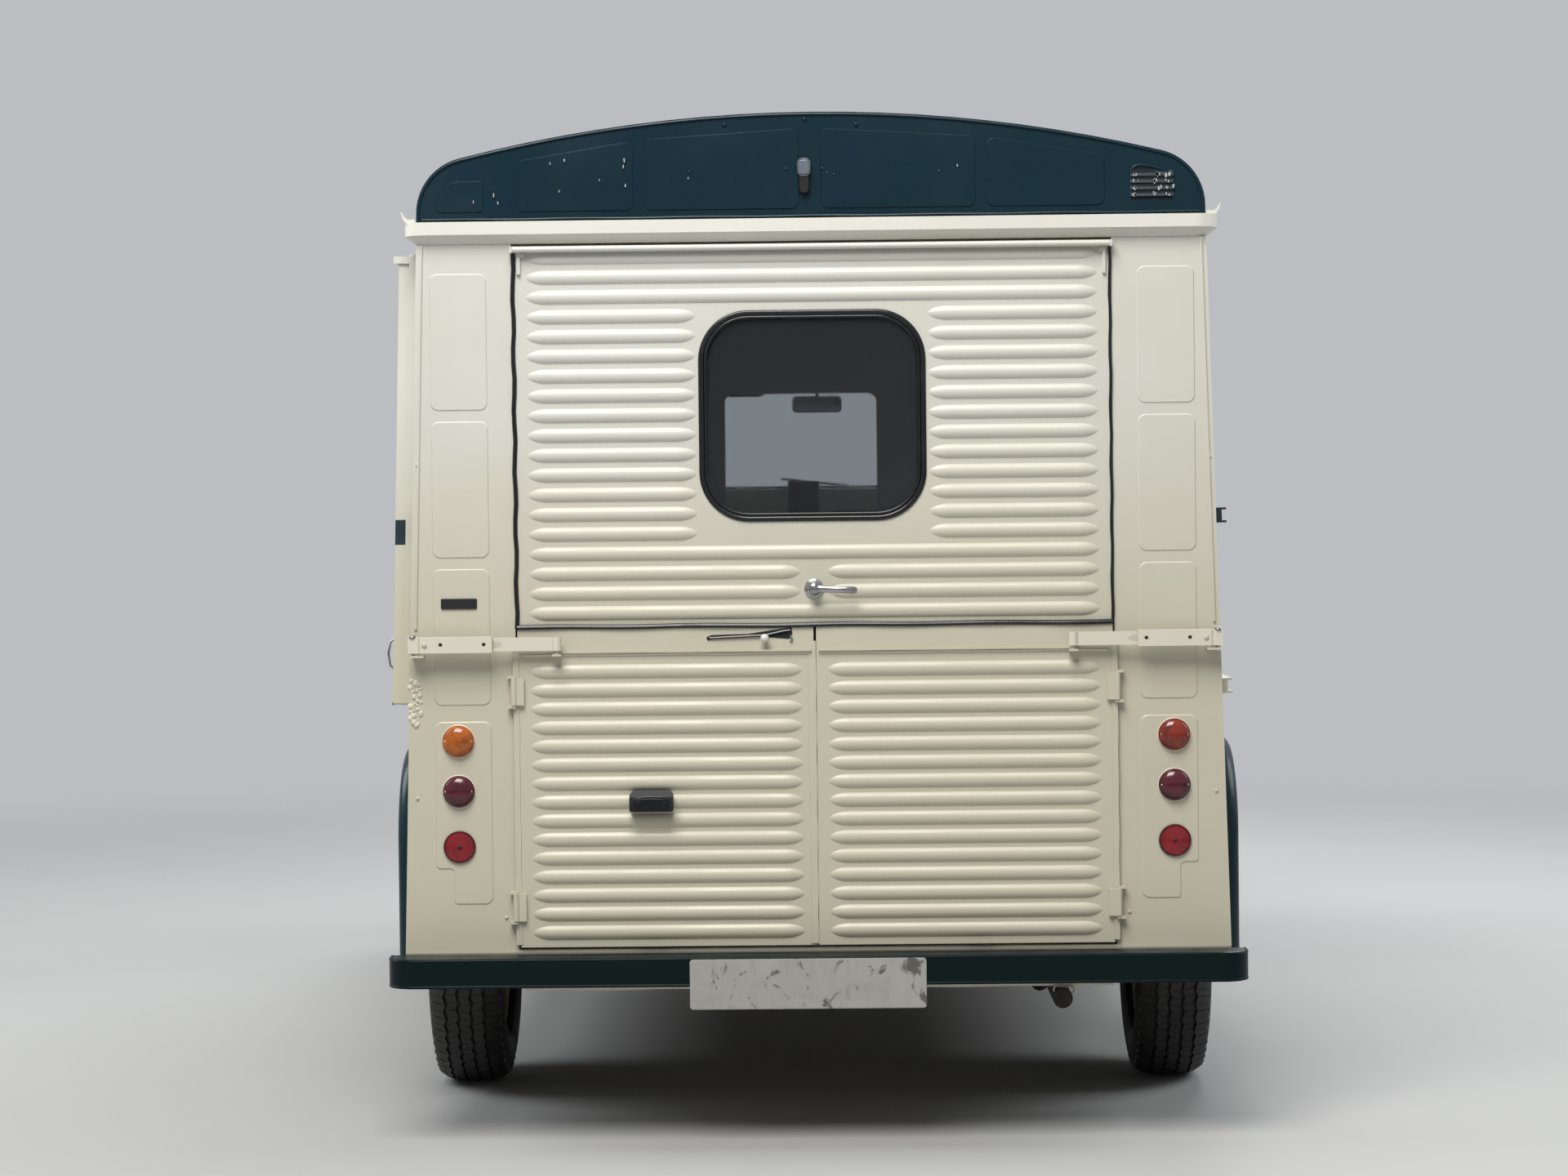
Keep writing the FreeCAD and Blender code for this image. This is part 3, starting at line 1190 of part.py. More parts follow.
def make_tailgate():
    """Tailgate with its window opening and the hinge rail along its top."""
    face = -S.body_rear - S.gate_proud
    gate = Body("tailgate")
    gate.pad("XZ", face, face + S.leaf_thick, rectangle(-S.leaf_half, S.leaf_half, S.gate_low, S.gate_top))
    gate.pocket("XZ", face - S.gap, face + S.leaf_thick + S.gap,
                rectangle(-S.rear_glass_half, S.rear_glass_half, S.rear_glass_low, S.rear_glass_top,
                          S.rear_glass_round))
    half, step, low = S.rear_rib_half, S.gate_rib_step, S.gate_rib_low
    by_glass = S.rear_glass_half + S.rubber / 2 + S.gap
    by_handle = S.gap * 6
    for start, end, first, count in ((-half, half, 0, 1), (-half, -by_handle, 1, 2), (by_handle, half, 1, 2),
                                     (-half, half, 3, 1), (-half, -by_glass, 4, 12), (by_glass, half, 4, 12),
                                     (-half, half, 16, 3)):
        gate.ribs("XZ", face, 1, start, end, low + step * first, step, count)
    hinge_y, hinge_z = -S.body_rear - S.gate_hinge_out, S.gate_top - S.gate_hinge_drop
    rail, bore = barrel("gate_hinge", "x", S.leaf_half * 2, -S.leaf_half, hinge_y, hinge_z)
    strap = block("gate_strap", -S.leaf_half, S.leaf_half, hinge_y, face + S.gap,
                  hinge_z - S.gap / 2, hinge_z + S.gap / 2)
    keep("tailgate", cut("tailgate", fuse("tailgate_form", gate.body, rail, strap), bore))
    rubber = Body("rear_window_seal")
    half, low, top, corner = S.rear_glass_half, S.rear_glass_low, S.rear_glass_top, S.rear_glass_round
    grow = S.rubber / 2
    rubber.pad("XZ", face - S.gap, face - S.seat_gap,
               rectangle(-half - grow, half + grow, low - grow, top + grow, corner + grow))
    thin = S.seat_gap
    rubber.pad("XZ", face - S.gap, face + S.leaf_thick,
               rectangle(-half + thin, half - thin, low + thin, top - thin, corner - thin))
    rubber.pocket("XZ", face - S.gap * 2, face + S.leaf_thick + S.gap,
                  rectangle(-half + grow, half - grow, low + grow, top - grow, corner - grow))
    keep("rear_window_seal", rubber.body)
    pane = Body("rear_window")
    edge = grow + S.seat_gap
    pane.pad("XZ", face + S.gap, face + S.gap + S.glass,
             rectangle(-half + edge, half - edge, low + edge, top - edge, corner - edge))
    keep("rear_window", pane.body)
    handle = [rod("handle_base", "y", S.gap * 4.4, S.gap * 1.6, ZERO, face - S.gap * 1.6 - S.seat_gap,
                  S.gate_low + S.rubber * 4),
              rod("handle_stem", "y", S.gap, S.gap * 6, ZERO, face - S.gap * 7, S.gate_low + S.rubber * 4),
              block("handle_lever", -S.gap * 2, S.rubber * 4.8, face - S.gap * 8, face - S.gap * 6,
                    S.gate_low + S.rubber * 4 - S.gap * 1.4, S.gate_low + S.rubber * 4 + S.gap * 1.4)]
    keep("tailgate_handle", fuse("tailgate_handle", *handle))


def make_lower_doors():
    """The two lower rear doors, with their hinge barrels and the plate lamp on the left one."""
    face = -S.body_rear - S.leaf_proud
    for side, sign in (("left", -1), ("right", 1)):
        name = "lower_door_" + side
        leaf = Body(name)
        x0, x1 = (-S.leaf_half, -S.split_half) if sign < 0 else (S.split_half, S.leaf_half)
        leaf.pad("XZ", face, face + S.leaf_thick, rectangle(x0, x1, S.leaf_low, S.leaf_top))
        ledge = S.leaf_top - S.panel * 1.8
        leaf.pad("XZ", face - S.leaf_proud, face + S.gap,
                 rectangle(x0 + S.gap, x1 - S.gap, ledge, ledge + S.gap))
        r0, r1 = (-S.rear_rib_half, -S.leaf_rib_in) if sign < 0 else (S.leaf_rib_in, S.rear_rib_half)
        leaf.ribs("XZ", face, 1, r0, r1, S.leaf_rib_low, S.leaf_rib_step, 15)
        pin_at = (S.stay_door_pin * sign, face - S.leaf_proud / 2, S.stay_high)
        post_high = S.stay_tall
        bracket = block(name + "_bracket", pin_at[0] - S.pin_round * 2, pin_at[0] + S.pin_round * 2,
                        -S.body_rear - S.stay_out - S.pin_round * 2, face + S.gap,
                        pin_at[2] - S.gap * 2, pin_at[2] - S.gap)
        post = rod(name + "_post", "z", S.pin_round, post_high, pin_at[0], -S.body_rear - S.stay_out,
                   pin_at[2] - S.gap * 2)
        hinge_x, hinge_y = (S.leaf_half + S.leaf_hinge_side) * sign, -S.body_rear - S.leaf_hinge_out
        inner = (S.leaf_half - S.hinge_barrel * 2) * sign
        t0, t1 = (hinge_x, inner) if sign < 0 else (inner, hinge_x)
        solids, bores = [leaf.body, bracket, post], []
        for level, z in leaf_hinges():
            outer, bore = barrel("%s_%s" % (name, level), "z", S.hinge_tall, hinge_x, hinge_y, z)
            solids += [outer, block("%s_tab_%s" % (name, level), t0, t1, hinge_y - S.gap / 2, face + S.gap, z,
                                    z + S.hinge_tall)]
            bores.append(bore)
        keep(name, cut(name, fuse(name + "_form", *solids), fuse(name + "_bores", *bores)))
    lamp_low = S.leaf_top - S.stay_channel * 2.3
    cover = Body("plate_lamp")
    x0, x1, lamp_top = -S.stay_channel * 2.35, -S.stay_channel * 1.8, lamp_low + S.panel * 1.6
    cover.pad("XZ", face - S.panel - S.rib_high, face - S.rib_high - S.seat_gap,
              [(x0, lamp_low, S.gap), (x1, lamp_low, S.gap), (x1, lamp_top - S.gap * 2, S.gap * 1.6),
               (x1 - S.gap * 1.6, lamp_top, S.gap), (x0 + S.gap * 1.6, lamp_top, S.gap),
               (x0, lamp_top - S.gap * 2, S.gap * 1.6)])
    brow, out = S.panel / 2, face - S.panel - S.rib_high
    cover.pocket("YZ", x0 - S.gap, x1 + S.gap,
                 [(out - S.gap, lamp_top + S.gap), (out - S.gap, lamp_top - brow - S.gap),
                  (out, lamp_top - brow), (out + brow, lamp_top), (out + S.panel - S.gap, lamp_top + S.gap)])
    keep("plate_lamp", cover.body)


def make_stays():
    """Sliding stays that hold the lower rear doors, a channel on the body and a bar on the door."""
    level = -S.body_rear - S.stay_out
    bracket = []
    for side, sign in (("left", -1), ("right", 1)):
        x = S.stay_body_pin * sign
        foot = half_width(S.stay_high) - S.pin_round
        x0, x1 = (-foot, -foot + S.panel) if sign < 0 else (foot - S.panel, foot)
        arm = block("stay_bracket_arm_" + side, x0, x1, level - S.pin_round * 2, -S.body_rear - S.seat_gap,
                    S.stay_high - S.gap * 2, S.stay_high - S.gap)
        post = rod("stay_bracket_pin_" + side, "z", S.pin_round, S.stay_tall + S.gap * 3.4, x, level,
                   S.stay_high - S.gap * 2)
        bracket.append(fuse("stay_bracket_" + side, arm, post))
        web = S.gap * 2.8
        x_end = x - S.stay_channel * sign
        low_x, high_x = (x, x_end) if sign < 0 else (x_end, x)
        low_eye, high_eye = (x - S.pin_round * 2, high_x) if sign < 0 else (low_x, x + S.pin_round * 2)
        deep = S.pin_round * 1.6
        outer = block("stay_channel_outer_" + side, low_eye, high_eye, level - web, level + deep,
                      S.stay_high, S.stay_high + S.stay_tall)
        thick = S.gap / 2
        inner = block("stay_channel_inner_" + side, low_eye - S.gap, high_eye + S.gap,
                      level - web + thick, level + deep + S.gap, S.stay_high + thick,
                      S.stay_high + S.stay_tall - thick)
        hole = rod("stay_channel_hole_" + side, "z", S.pin_round + S.pin_play, S.stay_tall + S.gap * 2, x,
                   level, S.stay_high - S.gap)
        keep("stay_channel_" + side,
             cut("stay_channel_" + side, outer, fuse("stay_channel_cuts_" + side, inner, hole)))
        eye_x = S.stay_door_pin * sign
        end = eye_x + S.stay_bar * sign
        bar_low, bar_high = (end, eye_x) if sign < 0 else (eye_x, end)
        low, high = S.stay_high + thick + S.seat_gap, S.stay_high + S.stay_tall - thick - S.seat_gap
        bar = block("stay_bar_flat_" + side, bar_low, bar_high, level - thick, level + thick, low, high)
        eye = rod("stay_bar_eye_" + side, "z", S.pin_round * 2, high - low, eye_x, level, low)
        eye_hole = rod("stay_bar_hole_" + side, "z", S.pin_round + S.pin_play, S.stay_tall + S.gap * 2, eye_x,
                       level, S.stay_high - S.gap)
        keep("stay_bar_" + side, cut("stay_bar_" + side, fuse("stay_bar_form_" + side, bar, eye), eye_hole))
    keep("stay_brackets", compound("stay_brackets", bracket))


# Side openings

def make_hatch():
    """Serving hatch: its frame on the left wall, and the top hinged flap."""
    low, top, rear, front = S.hatch_low, S.hatch_top, -S.hatch_rear, S.hatch_front
    rim = S.hatch_rim
    frame = Body("hatch_frame")
    frame.pad("YZ", -S.hatch_proud, -S.seat_gap, rectangle(rear, front, low, top, S.gap))
    frame.pocket("YZ", -S.hatch_proud - S.gap, S.gap, rectangle(rear + rim, front - rim, low + rim, top - rim,
                                                                rim))
    flap = Body("hatch_panel")
    inner = -S.hatch_proud - S.seat_gap
    start, end = rear + S.hinge_lug + S.seat_gap, front - S.hinge_lug - S.seat_gap
    flap.pad("YZ", inner - S.flap_thick, inner, rectangle(start, end, low, top - S.gap * 2, S.gap))
    hinge_x, hinge_z = inner - S.flap_thick - S.gap, top - S.hinge_barrel * 2
    rail, bore = barrel("hatch_hinge", "y", end - start, hinge_x, start, hinge_z)
    keep("hatch_flap", lean(cut("hatch_flap", fuse("hatch_form", flap.body, rail), bore), -1))
    fixed = [frame.body, pin("hatch_hinge", "y", end - start, hinge_x, start, hinge_z)]
    for label, y0 in (("rear", rear), ("front", front - S.hinge_lug)):
        fixed.append(block("hatch_lug_" + label, hinge_x - S.hinge_barrel, -S.hatch_proud + S.gap, y0,
                           y0 + S.hinge_lug, hinge_z - S.hinge_barrel, top - S.gap))
    keep("hatch_frame", lean(fuse("hatch_frame", *fixed), -1))


def make_side_door():
    """Sliding side door outside the right wall, and the two rails that it runs on."""
    rails = []
    for label, low in (("upper", S.rail_high), ("lower", S.rail_low)):
        rail = Body("side_rail_" + label)
        rail.pad("YZ", S.seat_gap, S.rail_proud,
                 rectangle(-S.body_rear + S.panel, -S.slide_rear - S.gap, low, low + S.rail_tall))
        thin = S.gap
        rail.pocket("YZ", S.rail_proud - thin * 2, S.rail_proud + S.gap,
                    rectangle(-S.body_rear + S.panel - S.gap, -S.slide_rear, low + thin,
                              low + S.rail_tall - thin))
        rails.append(lean(rail.body, 1))
    keep("side_rails", compound("side_rails", rails))
    door = Body("side_door")
    lap = S.slide_lap
    door.pad("YZ", S.slide_off, S.slide_off + S.panel,
             rectangle(-S.slide_rear - lap, S.slide_front + lap, S.slide_low, S.slide_top + lap, lap))
    door.pocket("YZ", S.slide_off - S.gap, S.slide_off + S.panel + S.gap,
                rectangle(-S.slide_rear + S.cab_glass_rim, S.slide_front - S.cab_glass_rim,
                          S.cab_glass_low + S.gap * 16, S.cab_glass_top, S.cab_corner))
    start, end = -S.slide_rear - lap + S.side_rib_end, S.slide_front + lap - S.side_rib_end
    side_ribs(door, S.slide_off + S.panel, 1, (start, end, S.slide_low, S.rail_high),
              (start, end, S.cab_glass_top + S.side_rib_end / 2, S.slide_top + lap))
    for low in (S.rail_high, S.rail_low):
        door.pad("YZ", S.rail_proud - S.gap * 2 + S.seat_gap, S.slide_off + S.gap,
                 rectangle(-S.slide_rear - lap, -S.slide_rear - lap + S.panel, low + S.gap + S.seat_gap,
                           low + S.rail_tall - S.gap - S.seat_gap))
    keep("side_door", lean(door.body, 1))
    pane = Body("side_door_glass")
    edge = S.cab_glass_rim + S.seat_gap
    pane.pad("YZ", S.slide_off + S.gap, S.slide_off + S.gap + S.glass,
             rectangle(-S.slide_rear + edge, S.slide_front - edge,
                       S.cab_glass_low + S.gap * 16 + S.seat_gap, S.cab_glass_top - S.seat_gap,
                       S.cab_corner))
    keep("side_door_glass", lean(pane.body, 1))


def cab_hinges():
    """The lower end of each hinge barrel of a cab door."""
    return (("lower", S.cab_door_low + S.hinge_tall * 4), ("upper", S.cab_glass_low - S.hinge_tall * 2))


def cab_hinge_pins(side, sign):
    """The pins and lugs on a wall that carry its cab door."""
    fixed = []
    x, y = S.cab_hinge_out * sign, S.cab_door_rear - S.gap / 2
    x0, x1 = (x - S.hinge_pin, S.gap) if sign < 0 else (-S.gap, x + S.hinge_pin)
    for level, z in cab_hinges():
        fixed.append(pin("cab_hinge_%s_%s" % (side, level), "z", S.hinge_tall, x, y, z))
        for end, low in (("low", z - S.seat_gap - S.hinge_lug), ("high", z + S.hinge_tall + S.seat_gap)):
            fixed.append(block("cab_lug_%s_%s_%s" % (side, level, end), x0, x1, y - S.panel,
                               S.cab_door_rear - S.seat_gap, low, low + S.hinge_lug))
    return fixed


def make_cab_doors():
    """Cab doors hinged at their rear edge, with their panes and mirrors."""
    rear, front = S.cab_door_rear, S.cab_door_front - S.gap - S.seat_gap * 10
    for side, sign in (("left", -1), ("right", 1)):
        name = "cab_door_" + side
        low, high = (ZERO, S.panel) if sign < 0 else (-S.panel, ZERO)
        door = Body(name)
        door.pad("YZ", low, high, rectangle(rear, front, S.cab_door_low, S.cab_door_top))
        door.pocket("YZ", low - S.gap, high + S.gap,
                    (S.front_axle_at, S.tyre_round, S.wheel_opening + S.arch_rim + S.gap * 1.6))
        door.pocket("YZ", low - S.gap, high + S.gap,
                    rectangle(rear + S.cab_glass_rim, front - S.cab_glass_rim, S.cab_glass_low,
                              S.cab_glass_top, S.cab_corner))
        start, end = rear + S.hinge_tall * 0.8, front - S.side_rib_end
        arch = S.wheel_opening + S.arch_rim + S.side_rib_end
        side_ribs(door, ZERO, sign, (start, S.front_axle_at - arch, S.cab_door_low, S.tyre_round + arch),
                  (start, end, S.tyre_round + arch, S.cab_glass_low - S.rubber * 5 - S.gap),
                  (start, end, S.cab_glass_top + S.side_rib_end / 2, S.cab_door_top))
        glass_low = low + S.gap * 2
        pane = Body("cab_glass_" + side)
        edge = S.cab_glass_rim + S.seat_gap
        pane.pad("YZ", glass_low, glass_low + S.glass,
                 rectangle(rear + edge, front - edge, S.cab_glass_low + S.seat_gap,
                           S.cab_glass_top - S.seat_gap, S.cab_corner))
        keep("cab_glass_" + side, lean(pane.body, sign))
        stem_high = S.cab_glass_low + S.rubber * 5
        stem_at = front - S.rubber
        far = S.rubber * 8
        start = -far if sign < 0 else -S.gap
        stem = rod("mirror_stem_" + side, "x", S.gap, far + S.gap, start, stem_at, stem_high)
        m0, m1 = (-far - S.panel * 2, -far + S.gap) if sign < 0 else (far - S.gap, far + S.panel * 2)
        head = block("mirror_head_" + side, m0, m1, stem_at - S.gap * 3, stem_at + S.gap * 2,
                     stem_high - S.rubber * 3, stem_high + S.rubber * 3)
        handle = S.rear_glass_round
        h0, h1 = (-S.panel, S.gap) if sign < 0 else (-S.gap, S.panel)
        pull = block("cab_handle_" + side, h0, h1, front - handle - S.panel, front - handle,
                     S.cab_glass_low - S.rubber * 5, S.cab_glass_low - S.rubber * 4)
        solids, bores = [door.body, stem, head, pull], []
        hinge_x, hinge_y = S.cab_hinge_out * sign, rear - S.gap / 2
        t0, t1 = (hinge_x, S.gap) if sign < 0 else (-S.gap, hinge_x)
        for level, z in cab_hinges():
            outer, bore = barrel("%s_%s" % (name, level), "z", S.hinge_tall, hinge_x, hinge_y, z)
            solids += [outer, block("%s_tab_%s" % (name, level), t0, t1, hinge_y + S.gap, hinge_y + S.panel, z,
                                    z + S.hinge_tall)]
            solids.append(block("%s_wing_%s" % (name, level), hinge_x - S.gap / 2, hinge_x + S.gap / 2,
                                hinge_y, hinge_y + S.panel, z, z + S.hinge_tall))
            bores.append(bore)
        keep(name, lean(cut(name, fuse(name + "_form", *solids), fuse(name + "_bores", *bores)), sign))


# Wheels, axles and steering

def make_wheel(position, side, axle):
    """A tyre and its disc wheel, turned about their axle."""
    name = position + ("_left" if side < 0 else "_right")
    place_at = (S.wheel_half * side, axle, S.tyre_round)
    wide, big, rim = S.tyre_wide / 2, S.tyre_round, S.rim_round
    tyre = Body("tyre_" + name)
    half, well, thin = S.rim_wide / 2, rim - S.rubber * 1.3, S.gap * 0.8
    flange, seat = rim + S.gap * 2, half - S.rubber * 1.2
    bead = half - thin - S.seat_gap
    groove, deep = S.gap * 0.8, S.gap * 1.6
    over = flange + S.seat_gap * 2
    shape = [(-bead, rim + S.seat_gap), (bead, rim + S.seat_gap), (bead, over),
             (wide, (big + rim) / 2, S.panel), (wide - S.gap * 1.6, big - S.gap * 2, S.gap * 3),
             (wide - S.panel, big)]
    tread = wide - S.panel
    for number in (3, 1, -1, -3):
        middle = tread * number / 4
        shape += [(middle + groove, big), (middle + groove, big - deep), (middle - groove, big - deep),
                  (middle - groove, big)]
    shape += [(-wide + S.panel, big), (-wide + S.gap * 1.6, big - S.gap * 2, S.gap * 3),
              (-wide, (big + rim) / 2, S.panel), (-bead, over)]
    tyre.revolve("XZ", ZERO, shape, "H_Axis")
    keep("tyre_" + name, place(tyre.body, *place_at))
    wheel = Body("rim_" + name)
    out = side
    bore = S.stub_round + S.pin_play
    disc = half * 0.4 * out
    section = [(-half, flange), (-half, rim - thin), (-seat - thin, rim - thin), (-seat + thin, well - thin),
               (seat - thin, well - thin), (seat + thin, rim - thin), (half, rim - thin), (half, flange),
               (half - thin, flange), (half - thin, rim), (seat, rim), (seat - thin * 2, well),
               (-seat + thin * 2, well), (-seat, rim), (-half + thin, rim), (-half + thin, flange)]
    wheel.revolve("XZ", ZERO, section, "H_Axis")
    plate = wheel.body.newObject("PartDesign::Revolution", "disc")
    dish = S.rubber * out
    outline = [(disc - dish, bore), (disc + dish * 0.6, bore), (disc + dish * 0.6, bore + S.panel),
               (disc - dish * 0.6, well - S.rubber * 2), (disc - dish * 0.6, well),
               (disc - dish * 0.6 - thin * out, well), (disc - dish * 0.6 - thin * out, well - S.rubber * 2),
               (disc - dish, bore + S.panel)]
    sketch = wheel.sketch("XZ", ZERO, outline)
    plate.Profile = sketch
    plate.ReferenceAxis = (sketch, ["H_Axis"])
    plate.Angle = 360
    wheel.body.Tip = plate
    keep("rim_" + name, place(wheel.body, *place_at))


def make_rear_axle():
    """Rear suspension: cross tube, trailing arms and stub axles."""
    hub, high = -S.rear_axle_at, S.tyre_round
    tube = rod("rear_tube", "x", S.torsion_round, S.arch_in * 2 + S.rubber * 8, -S.arch_in - S.rubber * 4,
               -S.torsion_at, S.torsion_high)
    things = [tube]
    arm_in, arm_out = S.arch_in + S.skin + S.gap * 2, S.arch_in + S.rubber * 4
    for side, sign in (("left", -1), ("right", 1)):
        arm = Body("rear_arm_" + side)
        x0, x1 = (-arm_out, -arm_in) if sign < 0 else (arm_in, arm_out)
        thick = S.torsion_round * 0.8
        arm.pad("YZ", x0, x1, [(hub - thick, high - thick), (-S.torsion_at, S.torsion_high - thick),
                               (-S.torsion_at, S.torsion_high + thick), (hub - thick, high + thick)])
        end = S.wheel_half + S.rim_wide / 2
        start = -end if sign < 0 else arm_in
        stub = rod("rear_stub_" + side, "x", S.stub_round, end - arm_in, start, hub, high)
        things += [arm.body, stub]
        b0 = -S.beam_out if sign < 0 else S.beam_in
        things.append(block("rear_bracket_" + side, b0, b0 + S.beam_out - S.beam_in,
                            -S.torsion_at - S.torsion_round, -S.torsion_at + S.torsion_round,
                            S.torsion_high, S.floor_low - S.seat_gap))
    keep("rear_axle", fuse("rear_axle", *things))


def make_front_axle():
    """Front cross member with its lower arms, and the steered knuckles."""
    hub, high = S.front_axle_at, S.tyre_round
    ball = S.kingpin_half - S.gap * 2
    low = high - S.rubber * 6
    bar = block("front_member", -S.beam_out, S.beam_out, hub - S.torsion_round, hub + S.torsion_round,
                low, S.floor_low - S.seat_gap)
    things = [bar]
    knuckle_half = S.torsion_round
    for side, sign in (("left", -1), ("right", 1)):
        x0, x1 = (-S.kingpin_half - S.stub_round, -S.beam_out) if sign < 0 else (
            S.beam_out, S.kingpin_half + S.stub_round)
        things.append(block("front_arm_" + side, x0, x1, hub - S.torsion_round, hub + S.torsion_round,
                            low, low + S.rubber))
        pin = rod("front_pin_" + side, "z", S.stub_round / 2, S.rubber * 4, S.kingpin_half * sign, hub, low)
        things.append(pin)
        post = rod("knuckle_post_" + side, "z", S.stub_round * 1.2, S.rubber * 8, S.kingpin_half * sign, hub,
                   low + S.rubber + S.seat_gap)
        end = S.wheel_half + S.rim_wide / 2
        start = -end if sign < 0 else S.kingpin_half
        stub = rod("knuckle_stub_" + side, "x", S.stub_round, end - S.kingpin_half, start, hub, high)
        hole = rod("knuckle_hole_" + side, "z", S.stub_round / 2 + S.pin_play, S.rubber * 5,
                   S.kingpin_half * sign, hub, low - S.gap)
        arm_x0, arm_x1 = (-S.kingpin_half - S.gap * 2, -S.kingpin_half + S.gap * 2) if sign < 0 else (
            S.kingpin_half - S.gap * 2, S.kingpin_half + S.gap * 2)
        arm = block("knuckle_arm_" + side, arm_x0, arm_x1, hub - S.steering_round * 0.7, hub,
                    low + S.rubber * 2, low + S.rubber * 3)
        keep("knuckle_" + side, cut("knuckle_" + side, fuse("knuckle_form_" + side, post, stub, arm), hole))
    keep("front_axle", fuse("front_axle", *things))


def make_steering():
    """Steering wheel on its column, with the column's tube."""
    wheel = Body("steering_wheel")
    big, thick = S.steering_round, S.gap * 2.6
    wheel.body.newObject("PartDesign::AdditiveTorus", "steering_rim")
    torus = wheel.body.Tip
    bind(torus, "Radius1", big - thick)
    bind(torus, "Radius2", thick)
    deep = S.gap * 2
    wheel.pad("XY", -deep, deep * 0.4, (ZERO, ZERO, S.panel * 1.2))
    wheel.pad("XY", -deep, ZERO, rectangle(-big + thick, big - thick, -deep, deep * 0.8))
    wheel.pad("XY", -deep * 6, -deep, (ZERO, ZERO, S.stub_round * 0.8))
    tilt = Term(90, "90") - S.steering_tilt
    keep("steering_wheel", place(wheel.body, -S.cushion_half, S.steering_at, S.steering_high, (1, 0, 0), tilt))


# Cabin and machinery

def make_cabin():
    """Partition, seats, dashboard and mirror."""
    half = half_width(S.gutter_low) - S.panel - S.gap
    at, base = S.partition_at, S.floor_high + S.seat_gap
    wall = Body("partition")
    wall.pad("XZ", at, at + S.skin, rectangle(-half, half, base, S.gutter_low - S.gap))
    wall.pocket("XZ", at - S.gap, at + S.skin + S.gap,
                rectangle(-S.doorway_left, S.doorway_right, base - S.gap, S.doorway_top, S.skin))
    keep("partition", wall.body)
    seats = []
    for side, sign in (("left", -1), ("right", 1)):
        middle, wide = S.cushion_half * sign, S.cushion_wide / 2
        rear = at + S.skin + S.rubber * 6
        profile = Body("seat_" + side)
        top, thick = S.cushion_high, S.rubber * 5
        profile.pad("YZ", middle - wide, middle + wide,
                    [(rear, base), (rear + S.cushion_wide * 0.9, base),
                     (rear + S.cushion_wide, top, S.rubber * 2), (rear + thick, top - S.rubber),
                     (rear + thick * 0.6, top + S.cushion_wide, S.rubber),
                     (rear - thick * 0.4, top + S.cushion_wide, S.rubber)])
        seats.append(profile.body)
    keep("seats", compound("seats", seats))
    dash = Body("dashboard")
    front = S.front_face - S.panel - S.seat_gap
    low, high = S.cab_glass_low - S.rubber * 11, S.cab_glass_low
    dash.pad("YZ", -half + S.front_corner, half - S.front_corner,
             [(front - S.rubber * 9, low), (front, low), (front, high),
              (front - S.rubber * 10, high - S.rubber, S.rubber)])
    round_by = S.stub_round * 0.7
    drop = S.gap * 12 + S.seat_gap
    slope = math.radians(float(S.steering_tilt))
    forwards = Term(math.cos(slope), "cos(Sizes.steering_tilt * 1 deg)")
    downwards = Term(math.sin(slope), "sin(Sizes.steering_tilt * 1 deg)")
    start = S.steering_at + forwards * drop
    long = (front - start - round_by * downwards) / forwards
    column = rod("steering_column", "z", round_by, long, ZERO, ZERO, ZERO)
    place(column, -S.cushion_half, start, S.steering_high - downwards * drop, (1, 0, 0),
          Term(180, "180") + (Term(90, "90") - S.steering_tilt))
    keep("dashboard", fuse("dashboard", dash.body, column))
    mirror_at = S.front_face - S.brow_back - S.rubber * 6
    mirror_top = S.mirror_low + S.mirror_tall
    glass = Body("mirror_glass")
    glass.pad("XZ", mirror_at, mirror_at + S.rubber,
              rectangle(-S.mirror_half, S.mirror_half, S.mirror_low, mirror_top, S.mirror_round))
    stem = block("mirror_arm", -S.gap, S.gap, mirror_at + S.gap, mirror_at + S.rubber * 3.5,
                 mirror_top - S.gap * 2, S.gutter_low - S.seat_gap)
    keep("interior_mirror", fuse("interior_mirror", glass.body, stem))


def make_machinery():
    """Engine block between the beams, fuel tank and exhaust below the floor."""
    low = S.bumper_low + S.rubber
    rear, front = S.front_face + S.rubber * 4, S.nose_front - S.rubber * 12
    engine = block("engine_mass", -S.engine_half, S.engine_half, rear, front, low, S.nose_split - S.rubber * 4)
    bearer = block("engine_bearer", -S.beam_in + S.seat_gap, S.beam_in - S.seat_gap, rear + S.rubber * 5,
                   front - S.rubber * 5, low, S.floor_high - S.seat_gap)
    keep("engine_block", fuse("engine_block", engine, bearer))
    tank = Body("fuel_tank")
    under = S.floor_high - S.floor_plate - S.seat_gap
    tank.pad("XZ", -S.slide_rear, S.slide_rear,
             rectangle(-S.beam_out * 1.75, -S.beam_out, under - S.rubber * 7, under, S.rubber * 2))
    keep("fuel_tank", tank.body)
    below = S.torsion_high - S.torsion_round - S.stub_round - S.gap * 2
    bend = S.stub_round * 5
    pipe = Body("exhaust_pipe")
    pipe.tube("YZ", S.pipe_half, [(-S.body_rear - S.panel, S.tyre_round - S.gap * 3),
                                  (-S.rear_axle_at - S.arch_half, S.tyre_round - S.gap * 3, bend),
                                  (-S.rear_axle_at, below, bend), (S.floor_front, below)], S.stub_round)
    high = S.rubber * 3
    box = rod("exhaust_box", "y", high, S.cushion_wide, S.pipe_half, -S.slide_rear, below + S.stub_round)
    hanger = block("exhaust_hanger", S.pipe_half - S.gap, S.pipe_half + S.gap, -S.slide_rear / 2 - S.rubber,
                   -S.slide_rear / 2 + S.rubber, below + high, under)
    keep("exhaust", fuse("exhaust", pipe.body, box, hanger))


